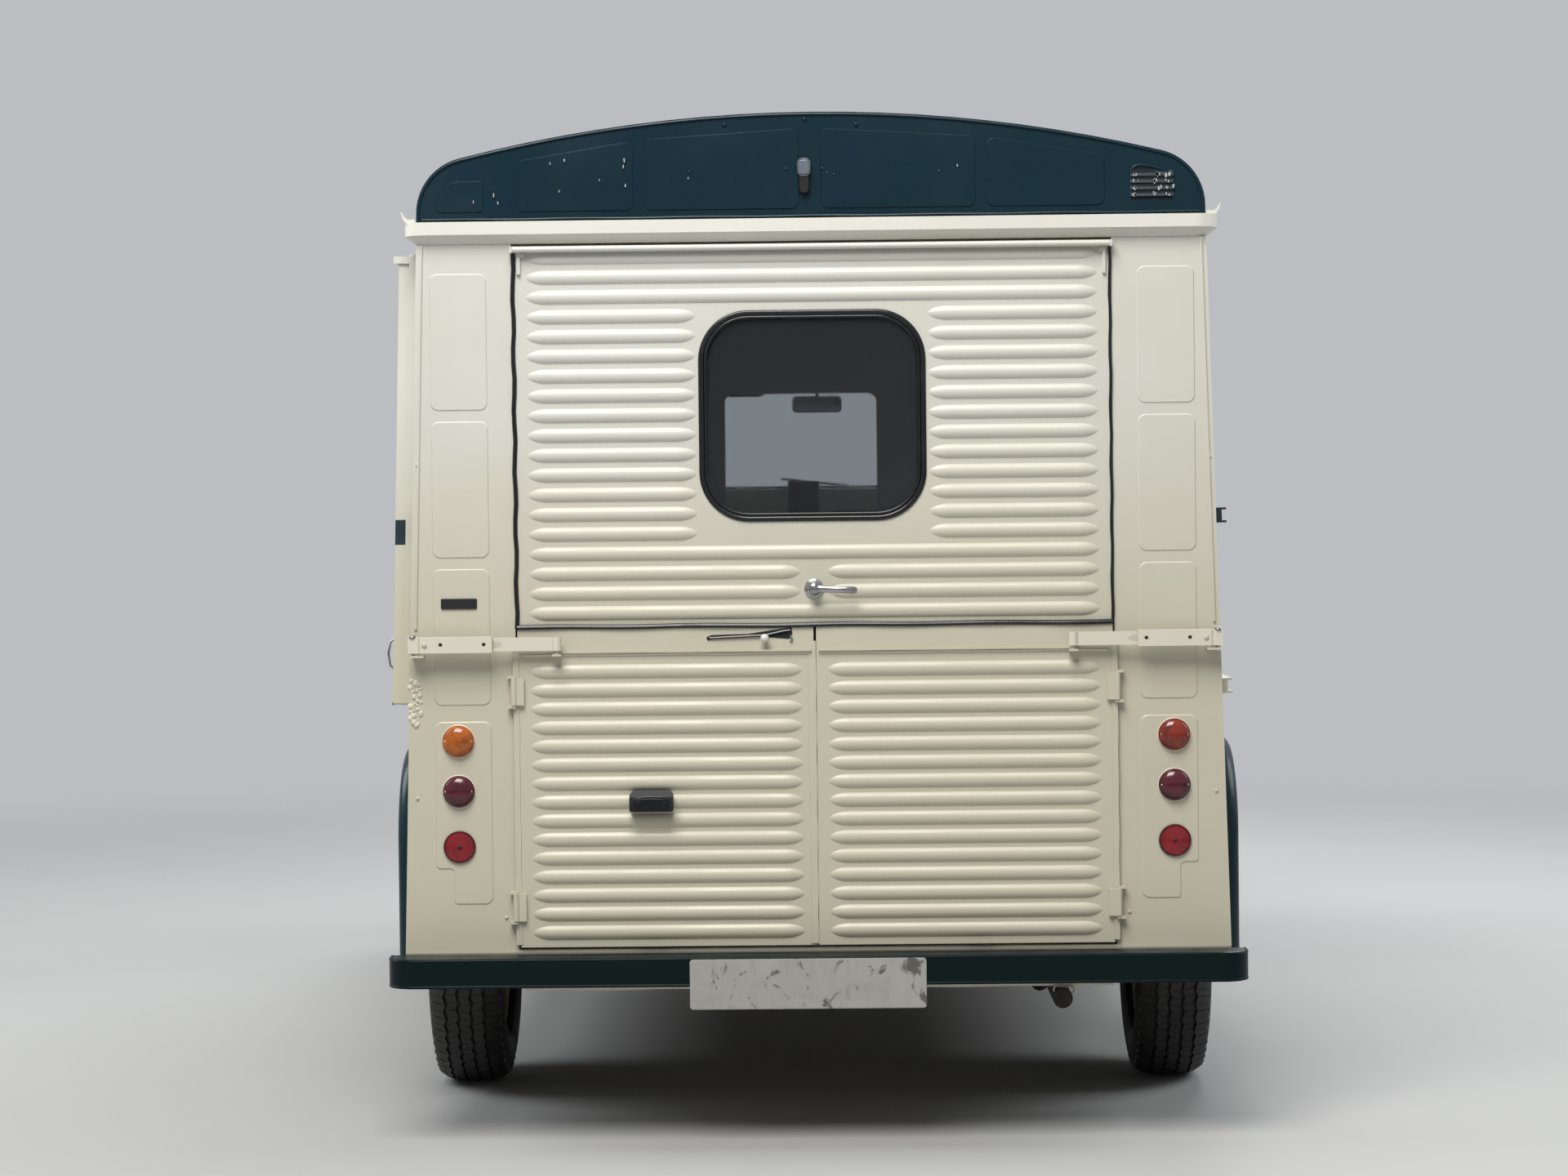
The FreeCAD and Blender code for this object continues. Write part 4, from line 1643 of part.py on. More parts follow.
make_floor()
make_walls()
make_rear_frame()
make_gutter()
make_roof()
make_cab_front()
make_windscreen()
make_nose()
make_grille()
make_bonnet()
make_wings()
make_rear_arches()
make_bumpers()
make_plates()
make_rear_lamps()
make_front_lamps()
make_tailgate()
make_lower_doors()
make_stays()
make_hatch()
make_side_door()
make_cab_doors()
for place_name, axle_at in (("front", S.front_axle_at), ("rear", -S.rear_axle_at)):
    for side_sign in (-1, 1):
        make_wheel(place_name, side_sign, axle_at)
make_rear_axle()
make_front_axle()
make_steering()
make_cabin()
make_machinery()

# Write each sub-part
doc.recompute()
for thing in doc.Objects:
    if {"Invalid", "Error"} & set(thing.State):
        raise RuntimeError("%s (%s) failed: %s" % (thing.Name, thing.TypeId, thing.State))
for name, thing in NODES.items():
    if thing.Shape.isNull() or not thing.Shape.isValid() or not thing.Shape.Solids:
        raise RuntimeError("%s has no valid solid" % name)
os.makedirs("parts", exist_ok=True)
for name, thing in NODES.items():
    thing.Shape.exportStep(os.path.join("parts", name + ".step"))
    box = thing.Shape.BoundBox
    print("%-20s solids %d x %.0f..%.0f y %.0f..%.0f z %.0f..%.0f" % (
        name, len(thing.Shape.Solids), box.XMin, box.XMax, box.YMin, box.YMax, box.ZMin, box.ZMax))
print(len(NODES), "nodes")
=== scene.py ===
"""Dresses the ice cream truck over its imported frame.

Finishes, lamps, tyre treads, seals, fixings and soft seats, with a plain studio and the camera round them.
"""

from __future__ import annotations

import json
import logging
import math
import random
from dataclasses import dataclass, field, replace
from enum import Enum
from typing import Iterable, Protocol, Sequence

import bmesh
import bpy
from mathutils import Matrix, Vector

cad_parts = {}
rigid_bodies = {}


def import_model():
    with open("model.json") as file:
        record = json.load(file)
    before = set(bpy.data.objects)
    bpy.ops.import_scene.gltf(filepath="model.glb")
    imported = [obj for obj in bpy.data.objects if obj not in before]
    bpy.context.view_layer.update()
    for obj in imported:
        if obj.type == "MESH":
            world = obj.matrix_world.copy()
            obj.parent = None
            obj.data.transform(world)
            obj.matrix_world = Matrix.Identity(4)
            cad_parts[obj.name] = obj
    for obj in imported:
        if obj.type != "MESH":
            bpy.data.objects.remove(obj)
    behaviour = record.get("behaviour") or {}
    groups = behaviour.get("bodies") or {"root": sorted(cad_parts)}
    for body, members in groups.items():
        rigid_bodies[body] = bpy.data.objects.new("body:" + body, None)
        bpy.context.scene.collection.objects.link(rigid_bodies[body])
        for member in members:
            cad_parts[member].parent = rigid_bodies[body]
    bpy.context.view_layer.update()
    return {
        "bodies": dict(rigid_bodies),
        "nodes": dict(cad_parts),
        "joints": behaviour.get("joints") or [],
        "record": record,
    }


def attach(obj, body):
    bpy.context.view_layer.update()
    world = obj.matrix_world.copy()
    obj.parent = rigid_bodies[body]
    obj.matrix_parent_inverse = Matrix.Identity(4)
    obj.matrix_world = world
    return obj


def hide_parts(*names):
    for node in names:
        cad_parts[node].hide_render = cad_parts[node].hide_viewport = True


log = logging.getLogger("ice_cream_truck")

Pair = tuple[float, float]
Triple = tuple[float, float, float]
Colour = Triple
Profile = tuple[Pair, ...]

# The body's rear face along Y, the lean of its sides, and half its width at the ground, in metres
REAR = -2.010
LEAN = math.radians(1.556)
FOOT_HALF = 0.9394

BACKWARDS = (0, -1, 0)

# Stands an outline in X and Y up, into X and Z
UPRIGHT = Matrix.Rotation(math.radians(90), 4, "X")

# The foot of the windscreen's plane and its rake
SCREEN_FOOT = Matrix.Translation((0, 1.340, 1.380))
SCREEN_RAKE = Matrix.Rotation(math.atan2(0.060, 0.632), 4, "X")

# Heights between which road splash, and above it a shift of colour towards the bottom, fade out
SPLASH = (1.05, 0.40)
LOW_TONE = (1.75, 1.05)


class Side(Enum):
    """The two sides of the truck."""

    LEFT = -1
    RIGHT = 1

    @property
    def word(self) -> str:
        """The side's name in lower case."""
        return self.name.lower()


def side_frame(side: Side) -> Matrix:
    """The leaning frame of a body side, with x out from the wall's outer face and z up the wall.

    Args:
        side: The side of the truck.

    Returns:
        The matrix that carries points of that frame into the truck's frame.
    """
    return Matrix.Translation((FOOT_HALF * side.value, 0, 0)) @ Matrix.Rotation(-LEAN * side.value, 4, "Y")


# Finishes

class Shading:
    """The node tree of one material, built node by node."""

    def __init__(self, name: str) -> None:
        """Start a material of that name."""
        self.material = bpy.data.materials.new(name)
        self.material.use_nodes = True
        self.tree = self.material.node_tree
        self.shader = self.tree.nodes["Principled BSDF"]
        self.place = self.tree.nodes.new("ShaderNodeTexCoord").outputs["Object"]

    def node(self, kind: str, **settings: object) -> bpy.types.Node:
        """Add a node and set its properties.

        Args:
            kind: The node's type.
            **settings: Its properties by name.

        Returns:
            The node.
        """
        made = self.tree.nodes.new(kind)
        for key, value in settings.items():
            setattr(made, key, value)
        return made

    def join(self, source: object, socket: bpy.types.NodeSocket) -> None:
        """Link a socket to another, or set it to a plain value."""
        if isinstance(source, bpy.types.NodeSocket):
            self.tree.links.new(source, socket)
        elif isinstance(source, (int, float)):
            socket.default_value = source
        elif len(source) == 3 and socket.type == "RGBA":
            socket.default_value = (*source, 1.0)
        else:
            socket.default_value = source

    def stretched(self, scale: Triple) -> bpy.types.NodeSocket:
        """The object's coordinates, scaled along each axis."""
        mapping = self.node("ShaderNodeMapping")
        self.join(self.place, mapping.inputs["Vector"])
        mapping.inputs["Scale"].default_value = scale
        return mapping.outputs["Vector"]

    def noise(self, scale: float, detail: float = 4, roughness: float = 0.55,
              along: Triple = (1, 1, 1), distortion: float = 0) -> bpy.types.NodeSocket:
        """A noise value over the surface.

        Args:
            scale: How fine it is, in cells for each metre.
            detail: Octaves.
            roughness: Strength of the fine octaves.
            along: Stretch along each axis.
            distortion: How far it is twisted.

        Returns:
            The noise's factor.
        """
        made = self.node("ShaderNodeTexNoise")
        self.join(self.stretched(along), made.inputs["Vector"])
        for key, value in (("Scale", scale), ("Detail", detail), ("Roughness", roughness),
                           ("Distortion", distortion)):
            made.inputs[key].default_value = value
        return made.outputs["Fac"]

    def ramp(self, value: object, low: float, high: float, to_low: float = 0,
             to_high: float = 1) -> bpy.types.NodeSocket:
        """A value carried smoothly from one range to another and held there.

        Args:
            value: The value.
            low: Where the first range starts.
            high: Where it ends.
            to_low: Where the second range starts.
            to_high: Where it ends.

        Returns:
            The carried value.
        """
        made = self.node("ShaderNodeMapRange", interpolation_type="SMOOTHSTEP")
        for index, item in enumerate((value, low, high, to_low, to_high)):
            self.join(item, made.inputs[index])
        return made.outputs["Result"]

    def maths(self, kind: str, first: object, second: object = 0.5) -> bpy.types.NodeSocket:
        """The result of one sum on two values."""
        made = self.node("ShaderNodeMath", operation=kind)
        self.join(first, made.inputs[0])
        self.join(second, made.inputs[1])
        return made.outputs[0]

    def mix(self, factor: object, first: object, second: object) -> bpy.types.NodeSocket:
        """A colour between two others."""
        made = self.node("ShaderNodeMix", data_type="RGBA")
        self.join(factor, made.inputs[0])
        self.join(first, made.inputs[6])
        self.join(second, made.inputs[7])
        return made.outputs[2]

    def axis(self, letter: str) -> bpy.types.NodeSocket:
        """One coordinate of the place on the object."""
        made = self.node("ShaderNodeSeparateXYZ")
        self.join(self.place, made.inputs[0])
        return made.outputs[letter]

    def bump(self, *heights: tuple[bpy.types.NodeSocket, float, float]) -> None:
        """Stack bumps, each a height, a strength and a depth in metres, onto the shader's normal."""
        normal = None
        for height, strength, depth in heights:
            made = self.node("ShaderNodeBump")
            made.inputs["Strength"].default_value = strength
            made.inputs["Distance"].default_value = depth
            self.join(height, made.inputs["Height"])
            if normal is not None:
                self.join(normal, made.inputs["Normal"])
            normal = made.outputs["Normal"]
        self.join(normal, self.shader.inputs["Normal"])

    def set(self, **values: object) -> None:
        """Set or link the shader's sockets, with underscores for the spaces in their names."""
        for key, value in values.items():
            self.join(value, self.shader.inputs[key.replace("_", " ")])


@dataclass(frozen=True)
class Paint:
    """Old brushed-over gloss paint on sheet steel."""

    name: str
    colour: Colour
    faded: Colour
    roughness: float = 0.38
    chips: float = 0.0
    bare: Colour = (0.16, 0.10, 0.06)
    stripe: tuple[float, float] | None = None
    stripe_colour: Colour = (0.004, 0.020, 0.028)
    # Shares by which the faded colour is multiplied towards the bottom
    film: Colour = (0.87, 0.83, 0.735)
    gloss: float = 0.5

    def make(self) -> bpy.types.Material:
        """Build the paint with fading, road splash low down, a colour shift towards the bottom, runs, chips,
        dents and an uneven gloss.
        """
        kit = Shading(self.name)
        broad = kit.ramp(kit.noise(1.1, 5, 0.6), 0.35, 0.70)
        colour = kit.mix(broad, self.colour, self.faded)
        streaks = kit.ramp(kit.noise(9, 5, 0.6, (1, 1, 0.08)), 0.60, 0.84, 0, 0.16)
        colour = kit.mix(streaks, colour, tuple(value * 0.62 for value in self.faded))
        height = kit.axis("Z")
        low = kit.maths("MULTIPLY", kit.ramp(height, *SPLASH, 0, 0.60), kit.noise(6, 6, 0.7))
        colour = kit.mix(low, colour, (self.faded[0] * 0.80, self.faded[1] * 0.76, self.faded[2] * 0.62))
        # Towards the bottom the colour shifts towards the faded colour times the film shares, darker and
        # yellower on all but the lining
        low_toned = tuple(value * share for value, share in zip(self.faded, self.film))
        colour = kit.mix(kit.ramp(height, *LOW_TONE, 0, 0.92), colour, low_toned)
        if self.stripe:
            (foot, top), soft = self.stripe, 0.001
            inside = kit.maths("MULTIPLY", kit.ramp(height, foot - soft, foot + soft),
                               kit.ramp(height, top + soft, top - soft))
            colour = kit.mix(inside, colour, self.stripe_colour)
        specks = kit.noise(46, 6, 0.62, distortion=0.6)
        edge = 0.80 - self.chips * 0.10
        chipped = kit.ramp(specks, edge, edge + 0.015)
        colour = kit.mix(chipped, colour, self.bare)
        rough = kit.ramp(kit.noise(5, 6, 0.6), 0.3, 0.75, self.roughness - 0.08, self.roughness + 0.16)
        kit.set(Base_Color=colour, Roughness=rough, Specular_IOR_Level=self.gloss,
                Coat_Weight=self.gloss * 0.3, Coat_Roughness=0.22)
        kit.bump((kit.noise(2.3, 3, 0.5), 0.35, 0.010), (kit.noise(160, 3, 0.6), 0.10, 0.001),
                 (chipped, 0.35, -0.0006))
        return kit.material


@dataclass(frozen=True)
class Metal:
    """Bare, plated or cast metal with rust where it is not plated."""

    name: str
    colour: Colour
    roughness: float = 0.4
    rust: float = 0.0
    metallic: float = 1.0

    def make(self) -> bpy.types.Material:
        """Build the metal with a brushed or pitted surface and patches of rust."""
        kit = Shading(self.name)
        dark = tuple(value * 0.55 for value in self.colour)
        base = kit.mix(kit.ramp(kit.noise(30, 5, 0.6), 0.35, 0.8), self.colour, dark)
        rough = kit.ramp(kit.noise(50, 5, 0.6), 0.3, 0.8, self.roughness - 0.06, self.roughness + 0.2)
        kit.set(Base_Color=base, Metallic=self.metallic, Roughness=rough)
        if self.rust > 0:
            pits = kit.noise(14, 8, 0.7, distortion=0.4)
            patch = kit.ramp(pits, 0.72 - self.rust * 0.45, 0.86 - self.rust * 0.3)
            rusty = kit.mix(kit.noise(60, 4), (0.10, 0.045, 0.022), (0.20, 0.085, 0.035))
            kit.set(Base_Color=kit.mix(patch, base, rusty),
                    Metallic=kit.ramp(patch, 0.0, 1.0, self.metallic, self.metallic * 0.1))
        kit.bump((kit.noise(90, 5, 0.7), 0.15 + self.rust * 0.3, 0.0015))
        return kit.material


@dataclass(frozen=True)
class Rubber:
    """Black rubber, dusty in its hollows."""

    name: str
    colour: Colour = (0.012, 0.012, 0.013)
    dust: Colour = (0.060, 0.055, 0.048)
    roughness: float = 0.62

    def make(self) -> bpy.types.Material:
        """Build the rubber with dust and a fine grain."""
        kit = Shading(self.name)
        dusty = kit.ramp(kit.noise(12, 6, 0.7), 0.45, 0.85, 0, 0.6)
        kit.set(Base_Color=kit.mix(dusty, self.colour, self.dust),
                Roughness=kit.ramp(dusty, 0, 0.6, self.roughness - 0.1, self.roughness + 0.2))
        kit.bump((kit.noise(260, 3, 0.6), 0.2, 0.0008), (kit.noise(24, 4, 0.6), 0.12, 0.002))
        return kit.material


@dataclass(frozen=True)
class Pane:
    """Tinted window glass with a film of dust."""

    name: str
    colour: Colour = (0.30, 0.33, 0.35)
    roughness: float = 0.03
    dust: float = 0.0

    def make(self) -> bpy.types.Material:
        """Build thin see-through glass."""
        kit = Shading(self.name)
        film = kit.ramp(kit.noise(7, 6, 0.7), 0.4, 0.9, self.roughness, self.roughness + 0.10)
        kit.set(Base_Color=self.colour, Roughness=film, Transmission_Weight=1 - self.dust, IOR=1.12,
                Specular_IOR_Level=0.6)
        kit.bump((kit.noise(1.7, 2), 0.06, 0.004))
        return kit.material


@dataclass(frozen=True)
class Lens:
    """Moulded clear plastic of a lamp, over a bright inside."""

    name: str
    colour: Colour
    deep: Colour
    roughness: float = 0.12

    def make(self) -> bpy.types.Material:
        """Build the lens with pressed rings and a darker rim."""
        kit = Shading(self.name)
        kit.set(Base_Color=kit.mix(kit.ramp(kit.noise(40, 4), 0.35, 0.75), self.colour, self.deep),
                Roughness=kit.ramp(kit.noise(60, 4), 0.3, 0.8, self.roughness, self.roughness + 0.12),
                Coat_Weight=0.3, Coat_Roughness=0.06, Specular_IOR_Level=0.45)
        kit.bump((kit.noise(420, 2), 0.08, 0.0006))
        return kit.material


@dataclass(frozen=True)
class Moulding:
    """Moulded plastic with a fine grain."""

    name: str
    colour: Colour
    roughness: float = 0.45
    dust: float = 0.02

    def make(self) -> bpy.types.Material:
        """Build the plastic with a grain, scuffs and dust."""
        kit = Shading(self.name)
        dusty = kit.ramp(kit.noise(18, 6, 0.7), 0.5, 0.9, 0, 0.5)
        pale = tuple(min(1.0, value * 1.8 + self.dust) for value in self.colour)
        kit.set(Base_Color=kit.mix(dusty, self.colour, pale),
                Roughness=kit.ramp(dusty, 0, 0.5, self.roughness - 0.05, self.roughness + 0.25))
        kit.bump((kit.noise(500, 2), 0.15, 0.0005))
        return kit.material


@dataclass(frozen=True)
class Enamel:
    """A blank number plate: pale enamel, blotched and streaked with dirt."""

    name: str
    colour: Colour = (0.36, 0.355, 0.335)

    def make(self) -> bpy.types.Material:
        """Build the plate's worn face."""
        kit = Shading(self.name)
        blots = kit.ramp(kit.noise(26, 6, 0.65, (1, 1, 0.6), 0.8), 0.60, 0.66)
        runs = kit.ramp(kit.noise(34, 5, 0.7, (1, 1, 0.16)), 0.56, 0.74, 0, 0.75)
        smear = kit.maths("MAXIMUM", runs, kit.ramp(kit.noise(8, 7, 0.75), 0.40, 0.80, 0, 0.60))
        colour = kit.mix(smear, self.colour, (0.22, 0.215, 0.20))
        kit.set(Base_Color=kit.mix(blots, colour, (0.10, 0.095, 0.085)),
                Roughness=kit.ramp(smear, 0, 0.55, 0.32, 0.6))
        kit.bump((kit.noise(120, 4, 0.7), 0.12, 0.001), (blots, 0.2, -0.0004))
        return kit.material


@dataclass(frozen=True)
class Cloth:
    """Woven seat cloth."""

    name: str
    colour: Colour
    other: Colour

    def make(self) -> bpy.types.Material:
        """Build the weave from two crossed waves."""
        kit = Shading(self.name)
        across = kit.node("ShaderNodeTexWave", wave_type="BANDS", bands_direction="X")
        along = kit.node("ShaderNodeTexWave", wave_type="BANDS", bands_direction="DIAGONAL")
        for wave in (across, along):
            kit.join(kit.place, wave.inputs["Vector"])
            wave.inputs["Scale"].default_value = 210
            wave.inputs["Distortion"].default_value = 0.4
        weave = kit.maths("MULTIPLY", across.outputs["Fac"], along.outputs["Fac"])
        worn = kit.ramp(kit.noise(9, 5, 0.6), 0.45, 0.8, 0, 0.5)
        base = kit.mix(weave, self.other, self.colour)
        kit.set(Base_Color=kit.mix(worn, base, tuple(value * 1.5 for value in self.other)), Roughness=0.9,
                Sheen_Weight=0.3)
        kit.bump((weave, 0.5, 0.0012), (kit.noise(30, 4), 0.2, 0.003))
        return kit.material


CREAM = Paint("cream_paint", (0.625, 0.625, 0.575), (0.605, 0.595, 0.520), 0.42, 0.25)
CREAM_STRIPED = replace(CREAM, name="cream_paint_striped", stripe=(1.340, 1.397))
CREAM_RAILS = replace(CREAM, name="cream_paint_rails", stripe=(1.250, 1.500))
GREEN = Paint("green_paint", (0.0022, 0.0185, 0.0300), (0.0040, 0.0230, 0.0345), 0.30, 0.15,
              (0.30, 0.32, 0.31), film=(0.9, 0.9, 0.8), gloss=0.20)
# The same green darkened, as painted shade on the low bumpers and their beads
GREEN_SHADED = Paint("green_paint_bumper", (0.0012, 0.0078, 0.0098), (0.0018, 0.0095, 0.0118), 0.36, 0.15,
                  (0.12, 0.14, 0.14), film=(0.9, 0.9, 0.8), gloss=0.10)
# Paler cream: a painted highlight where it brightens the rain gutter and the lower doors' lips, and plain
# pale paint on the other pieces that wear it
PALE_AND_LIT = Paint("cream_paint_pale", (0.720, 0.712, 0.655), (0.690, 0.675, 0.600), 0.40, 0.25,
             film=(0.93, 0.90, 0.84))
SOOTY = Metal("sooty_steel", (0.050, 0.048, 0.046), 0.65, 0.25)
UNDERFRAME = Paint("underframe_paint", (0.52, 0.52, 0.49), (0.30, 0.28, 0.24), 0.55, 1.2)
LINING = Paint("lining_paint", (0.44, 0.46, 0.49), (0.38, 0.40, 0.42), 0.55, 0.2, film=(1.15, 1.12, 1.05))
WHEEL = Paint("wheel_paint", (0.66, 0.63, 0.52), (0.46, 0.42, 0.33), 0.42, 0.8)
STEEL = Metal("worn_steel", (0.20, 0.20, 0.20), 0.50, 0.7)
BRIGHT = Metal("bright_metal", (0.46, 0.46, 0.47), 0.10, 0.0)
DULL = Metal("dull_metal", (0.34, 0.34, 0.33), 0.36, 0.15)
SEAL = Rubber("rubber_seal", (0.0045, 0.0050, 0.0065), (0.016, 0.016, 0.017), 0.36)
TYRE = Rubber("tyre_rubber", (0.007, 0.007, 0.007), (0.022, 0.021, 0.019), 0.75)
TREAD = Rubber("tread_rubber", (0.017, 0.016, 0.0155), (0.062, 0.057, 0.050), 0.62)
REAR_PANE = Pane("rear_window_glass", (0.51, 0.54, 0.57), 0.03, 0.024)
WINDOW = Pane("window_glass", (0.72, 0.75, 0.75))
INK = Moulding("dark_lens", (0.0050, 0.0055, 0.0080), 0.18, 0.004)
# Near-black sheets as painted shade in the latch slot, the stay holes and the gaps under the roof vent's
# louvres
HOLLOW_SHADE = Moulding("dark_hollow", (0.004, 0.004, 0.004), 0.85, 0.0)
CLEAR = Pane("clear_glass", (0.75, 0.78, 0.78), 0.02)
AMBER = Lens("amber_lens", (0.46, 0.115, 0.008), (0.20, 0.042, 0.006))
AMBER_RED = Lens("orange_lens", (0.25, 0.026, 0.010), (0.11, 0.010, 0.006))
DARK_RED = Lens("dark_red_lens", (0.085, 0.006, 0.014), (0.035, 0.003, 0.008))
BRIGHT_RED = Lens("bright_red_lens", (0.235, 0.0010, 0.0060), (0.150, 0.0008, 0.0045), 0.16)
BROWN = Lens("brown_lens", (0.014, 0.011, 0.010), (0.008, 0.006, 0.005))
BLACK = Moulding("black_moulding", (0.009, 0.010, 0.011), 0.42)
GREY = Moulding("grey_moulding", (0.12, 0.15, 0.19), 0.25)
WHITE = Moulding("white_moulding", (0.68, 0.67, 0.63), 0.30)
CHALK = Moulding("paint_ground", (0.40, 0.42, 0.42), 0.8)
FILLER = Paint("filler", (0.70, 0.69, 0.64), (0.62, 0.59, 0.50), 0.75, 0.4, film=(0.98, 0.96, 0.92))
PLATE = Enamel("plate_enamel")
SEAT = Cloth("seat_cloth", (0.060, 0.052, 0.045), (0.028, 0.025, 0.022))


class Finish(Protocol):
    """Anything with a name that can make a material."""

    name: str

    def make(self) -> bpy.types.Material:
        """Build the material."""


class Finishes:
    """Makes each finish once and gives it to the pieces that wear it."""

    def __init__(self) -> None:
        """Start with no finish made."""
        self.made: dict[str, bpy.types.Material] = {}

    def of(self, finish: Finish) -> bpy.types.Material:
        """The material of a finish, made when it is first asked for."""
        if finish.name not in self.made:
            self.made[finish.name] = finish.make()
        return self.made[finish.name]


FINISHES = Finishes()


# Forms

@dataclass
class Form:
    """A mesh in the making: points, and faces that name them."""

    points: list[Vector] = field(default_factory=list)
    faces: list[tuple[int, ...]] = field(default_factory=list)

    def add(self, other: "Form", matrix: Matrix | None = None) -> "Form":
        """Join another form to this one.

        Args:
            other: The form to join.
            matrix: Where it goes.

        Returns:
            This form.
        """
        start = len(self.points)
        self.points += [(matrix @ point) if matrix else point.copy() for point in other.points]
        self.faces += [tuple(index + start for index in face) for face in other.faces]
        return self

    def moved(self, matrix: Matrix) -> "Form":
        """A copy of the form carried by a matrix."""
        return Form().add(self, matrix)

    def piece(self, name: str, body: str, slot: str, finish: Finish, smooth: float = 40,
              bevel: float = 0.0) -> bpy.types.Object:
        """Make the form a piece that rides on a body and wears a finish.

        Args:
            name: The piece's name.
            body: The body that it rides on.
            slot: The record's material slot; not used.
            finish: Its finish.
            smooth: Edges flatter than this many degrees shade smoothly.
            bevel: Width of the bevel on its edges, in metres.

        Returns:
            The piece.
        """
        mesh = bpy.data.meshes.new(name)
        mesh.from_pydata([tuple(point) for point in self.points], [], self.faces)
        work = bmesh.new()
        work.from_mesh(mesh)
        bmesh.ops.remove_doubles(work, verts=work.verts, dist=1e-6)
        bmesh.ops.recalc_face_normals(work, faces=work.faces)
        work.to_mesh(mesh)
        work.free()
        mesh.polygons.foreach_set("use_smooth", [True] * len(mesh.polygons))
        mesh.set_sharp_from_angle(angle=math.radians(smooth))
        thing = bpy.data.objects.new(name, mesh)
        bpy.context.scene.collection.objects.link(thing)
        if bevel:
            edge = thing.modifiers.new("edge", "BEVEL")
            edge.width = bevel
            edge.segments = 2
            edge.limit_method = "ANGLE"
        mesh.materials.append(FINISHES.of(finish))
        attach(thing, body)
        log.info("%s rides on %s: %d faces", name, body, len(mesh.polygons))
        return thing


def ring_faces(rings: int, around: int) -> list[tuple[int, ...]]:
    """Faces between rings of points laid one after another."""
    faces = []
    for row in range(rings - 1):
        for step in range(around):
            a, b = row * around + step, row * around + (step + 1) % around
            faces.append((a, b, b + around, a + around))
    return faces


def closing_faces(rings: int, around: int) -> list[tuple[int, ...]]:
    """Faces that join the last of some rings of points back to the first."""
    last = (rings - 1) * around
    return [(last + step, last + (step + 1) % around, (step + 1) % around, step) for step in range(around)]


def revolved(profile: Sequence[Pair], around: int = 32) -> Form:
    """A turned form about Z from pairs of radius and height, closed at both ends."""
    points = [Vector((radius * math.cos(2 * math.pi * step / around),
                      radius * math.sin(2 * math.pi * step / around), height))
              for radius, height in profile for step in range(around)]
    faces = ring_faces(len(profile), around)
    last = (len(profile) - 1) * around
    faces += [tuple(range(around))[::-1], tuple(last + step for step in range(around))]
    return Form(points, faces)


def turned(radius: float, profile: Sequence[Pair], around: int = 32) -> Form:
    """A turned form about Z from pairs of a share of its radius and a height."""
    return revolved([(radius * share, height) for share, height in profile], around)


def prism(outline: Sequence[Pair], low: float, high: float, inset: float = 0.0) -> Form:
    """An upright form with an outline in X and Y, drawn in towards its middle at its top.

    Args:
        outline: Corners in order.
        low: Its bottom along Z.
        high: Its top along Z.
        inset: The share by which the top is smaller.

    Returns:
        The form.
    """
    count = len(outline)
    middle = Vector((sum(x for x, _ in outline) / count, sum(y for _, y in outline) / count))
    top = [middle + (Vector(corner) - middle) * (1 - inset) for corner in outline]
    points = [Vector((x, y, low)) for x, y in outline] + [Vector((spot.x, spot.y, high)) for spot in top]
    return Form(points, ring_faces(2, count) + [tuple(range(count))[::-1], tuple(range(count, count * 2))])


def rounded(width: float, height: float, radius: float, steps: int = 5) -> list[Pair]:
    """The outline of a rectangle about the origin with rounded corners.

    Args:
        width: Its size along X.
        height: Its size along Y.
        radius: The radius of its corners.
        steps: Straight steps round each corner.

    Returns:
        Its points in order.
    """
    spots = []
    for quarter, (x, y) in enumerate(((1, 1), (-1, 1), (-1, -1), (1, -1))):
        for step in range(steps + 1):
            angle = math.radians(90 * quarter + 90 * step / steps)
            spots.append((x * (width / 2 - radius) + radius * math.cos(angle),
                          y * (height / 2 - radius) + radius * math.sin(angle)))
    return spots


def tube(path: Sequence[Sequence[float]], radius: float, sides: int = 10, closed: bool = False) -> Form:
    """A round bar along a path.

    Args:
        path: Points along its middle.
        radius: Its radius.
        sides: Flats round it.
        closed: Whether its end joins its start.

    Returns:
        The form.
    """
    spots = [Vector(spot) for spot in path]
    count = len(spots)
    points: list[Vector] = []
    across = None
    for index, spot in enumerate(spots):
        after = spots[(index + 1) % count] if closed or index < count - 1 else spot
        before = spots[index - 1] if closed or index else spot
        ahead = (after - before).normalized()
        if across is None:
            across = ahead.orthogonal().normalized()
        across = (across - ahead * across.dot(ahead)).normalized()
        up = ahead.cross(across)
        points += [spot + (across * math.cos(2 * math.pi * step / sides)
                           + up * math.sin(2 * math.pi * step / sides)) * radius for step in range(sides)]
    faces = ring_faces(count, sides)
    if closed:
        faces += closing_faces(count, sides)
    else:
        faces += [tuple(range(sides))[::-1], tuple((count - 1) * sides + step for step in range(sides))]
    return Form(points, faces)


def facing(spot: Sequence[float], outwards: Sequence[float], turn: float = 0.0) -> Matrix:
    """A frame at a spot whose Z points outwards, turned about it by some degrees."""
    lift = Vector(outwards).to_track_quat("Z", "Y").to_matrix().to_4x4()
    return Matrix.Translation(spot) @ lift @ Matrix.Rotation(math.radians(turn), 4, "Z")


def rearward(x: float, y: float, z: float, turn: float = 0.0) -> Matrix:
    """A frame at a spot whose Z points to the rear."""
    return facing((x, y, z), BACKWARDS, turn)


def loop(outline: Sequence[Pair], radius: float, sides: int) -> Form:
    """A closed round bead along an outline in X and Y."""
    return tube([(x, y, 0.0) for x, y in outline], radius, sides, True)


